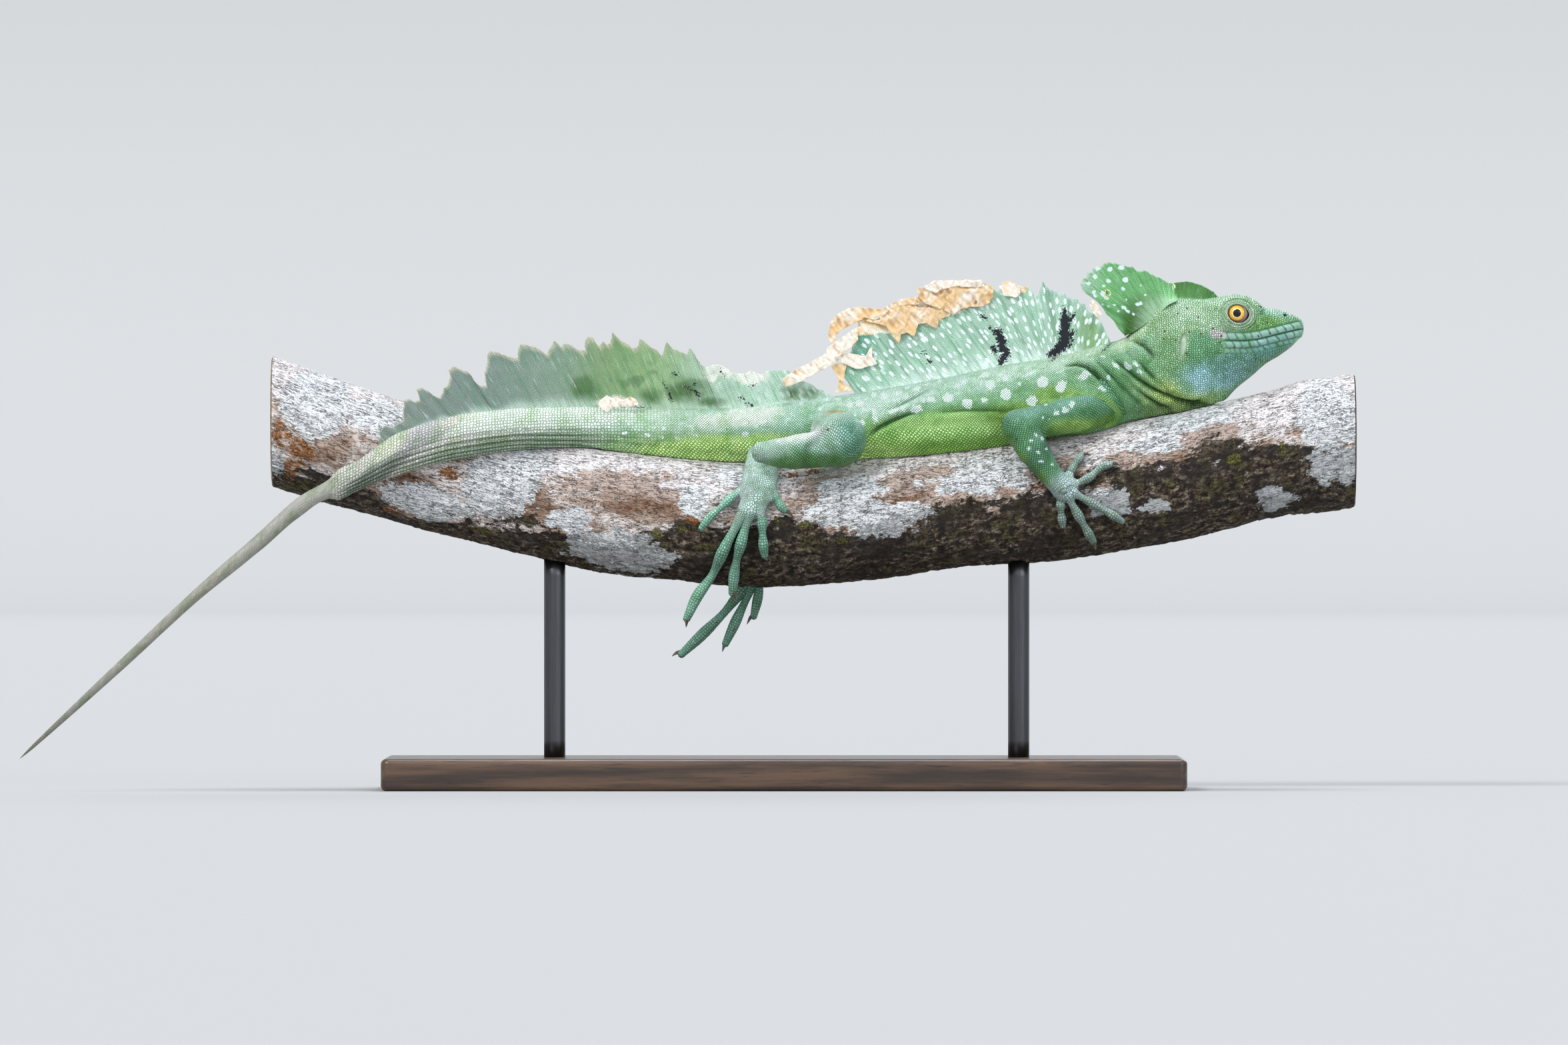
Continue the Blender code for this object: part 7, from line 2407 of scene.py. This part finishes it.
@dataclass
class Studio:
    """A wide pale floor that curves up all round, five soft lights, and the camera of the photograph."""

    lens: float = 400.0
    sensor: float = 36.0
    distance: float = 6.5333
    aim: float = 0.100
    floor: float = 13000.0  # radius of the flat part, which a camera on any side stays inside
    bend: float = 1600.0
    # Name, place that it shines from, width in degrees, strength and tint
    lights: tuple = (
        ("key", (-1.5, -2.1, 2.3), 17.0, 1.75, (1.0, 0.99, 0.98)),
        ("top", (0.3, 0.2, 2.4), 34.0, 2.00, (0.94, 0.99, 1.07)),
        ("fill", (2.2, -2.4, 0.9), 40.0, 0.90, (0.93, 0.98, 1.07)),
        ("front", (-0.4, -3.0, 0.6), 60.0, 0.60, (0.93, 0.98, 1.07)),
        ("rim", (0.9, 2.2, 1.5), 29.0, 0.70, (1.0, 1.0, 1.0)),
    )

    def build(self) -> None:
        """Sets out the paper, the lights, the world and the camera."""
        rise = np.radians(np.linspace(0, 90, 48))
        curve = np.column_stack([self.floor + self.bend * np.sin(rise), self.bend * (1 - np.cos(rise))])
        profile = np.concatenate([[[0.1, 0], [2000, 0], [7000, 0]], curve])
        turn = ring_angles(180)
        out, up = profile[:, :1], profile[:, 1:]
        points = np.stack([out * np.cos(turn), out * np.sin(turn), up + 0 * turn], axis=-1)
        flat = joined(points)[..., :2]
        paper = mesh_piece("studio_paper", [Patch(points, flat, capped=False)], [StudioFinish().make()])
        for name, place, width, strength, tint in self.lights:
            data = bpy.data.lights.new(name, "SUN")
            data.angle, data.energy, data.color = math.radians(width), strength, tint
            lamp = bpy.data.objects.new(name, data)
            lamp.location = place
            lamp.rotation_euler = (Vector((0, 0, 0.12)) - Vector(place)).to_track_quat("-Z", "Y").to_euler()
            bpy.context.scene.collection.objects.link(lamp)
        world = bpy.data.worlds.new("studio")
        world.use_nodes = True
        background = world.node_tree.nodes["Background"]
        background.inputs["Color"].default_value = (0.90, 0.96, 1.06, 1.0)
        background.inputs["Strength"].default_value = 0.50
        bpy.context.scene.world = world
        bpy.context.scene.view_settings.view_transform = "Standard"
        data = bpy.data.cameras.new("photo_camera")
        data.lens, data.sensor_width = self.lens, self.sensor
        data.clip_start, data.clip_end = 0.1, 60.0
        camera = bpy.data.objects.new("photo_camera", data)
        camera.location = (0, -self.distance, self.aim)
        camera.rotation_euler = (math.pi / 2, 0, 0)
        bpy.context.scene.collection.objects.link(camera)
        bpy.context.scene.camera = camera


# CAD nodes that the skin of the body stands for
BODY_NODES = ("head", "neck", "torso", "tail_base", "tail_upper", "tail_lower", "tail_hanging", "tail_tip")


def main() -> None:
    """Builds the animal, the branch, the stand and the studio, in that order."""
    trunk = Trunk()
    skin, horn = SkinFinish().make(), ClawFinish().make()
    sail = MembraneFinish("sail", (0.13, 0.32, 0.20)).make()
    crest = MembraneFinish("crest", (0.045, 0.17, 0.03), pale=(0.66, 0.83, 0.78), dash_size=0.0).make()
    limbs = []
    for side in Side:
        near = side is Side.RIGHT
        leg, foot = (LEG, FOOT) if near else (FAR_LEG, FAR_FOOT)
        limbs.append(Limb("arm", side, ARM, HAND, 0.0 if near else HAND_SHIFT, ARM_TONES))
        limbs.append(Limb("leg", side, leg, foot, 0.0, LEG_TONES))
    body = Skin(trunk, [limb.lengths[0] for limb in limbs]).build(skin)
    place_piece(body, BODY_NODES)
    parts = {"arm": ("upper_arm", "forearm", "hand"), "leg": ("thigh", "shank", "foot")}
    for limb in limbs:
        flesh, claws = limb.build(trunk, skin, horn)
        place_piece(flesh, [f"{part}_{limb.side.word}" for part in parts[limb.name]])
        place_piece(claws)
    eye = EyeFinish().make()
    for side in Side:
        maker = Eye(side, trunk)
        place_piece(maker.ball(eye), [f"eye_{side.word}"])
        place_piece(maker.lids(skin))
    place_piece(BackSail(trunk).build(sail), ["back_sail"])
    place_piece(TailFin(trunk).build(sail), ["tail_sail"])
    place_piece(dry_skin(DrySkinFinish().make()))
    tall = Crest("head_crest", CREST_ROOT, CREST_RIM, 4.0, (0.18, 0.46, 0.18), (0.035, 0.12, 0.010), True)
    low = Crest("brow_crest", BROW_ROOT, BROW_RIM, 3.0, (0.075, 0.22, 0.055), (0.05, 0.16, 0.08))
    for plate in (tall, low):
        place_piece(plate.build(crest), [plate.name])
    place_piece(Branch().build(BarkFinish().make(), SawnFinish().make()), ["perch"])
    stand = Stand()
    place_piece(stand.board(BoardFinish().make()), ["stand_base"])
    metal = MetalFinish().make()
    for word, x in stand.places:
        place_piece(stand.rod(word, x, metal), [f"stand_rod_{word}"])
    Studio().build()


if __name__ == "__main__":
    main()
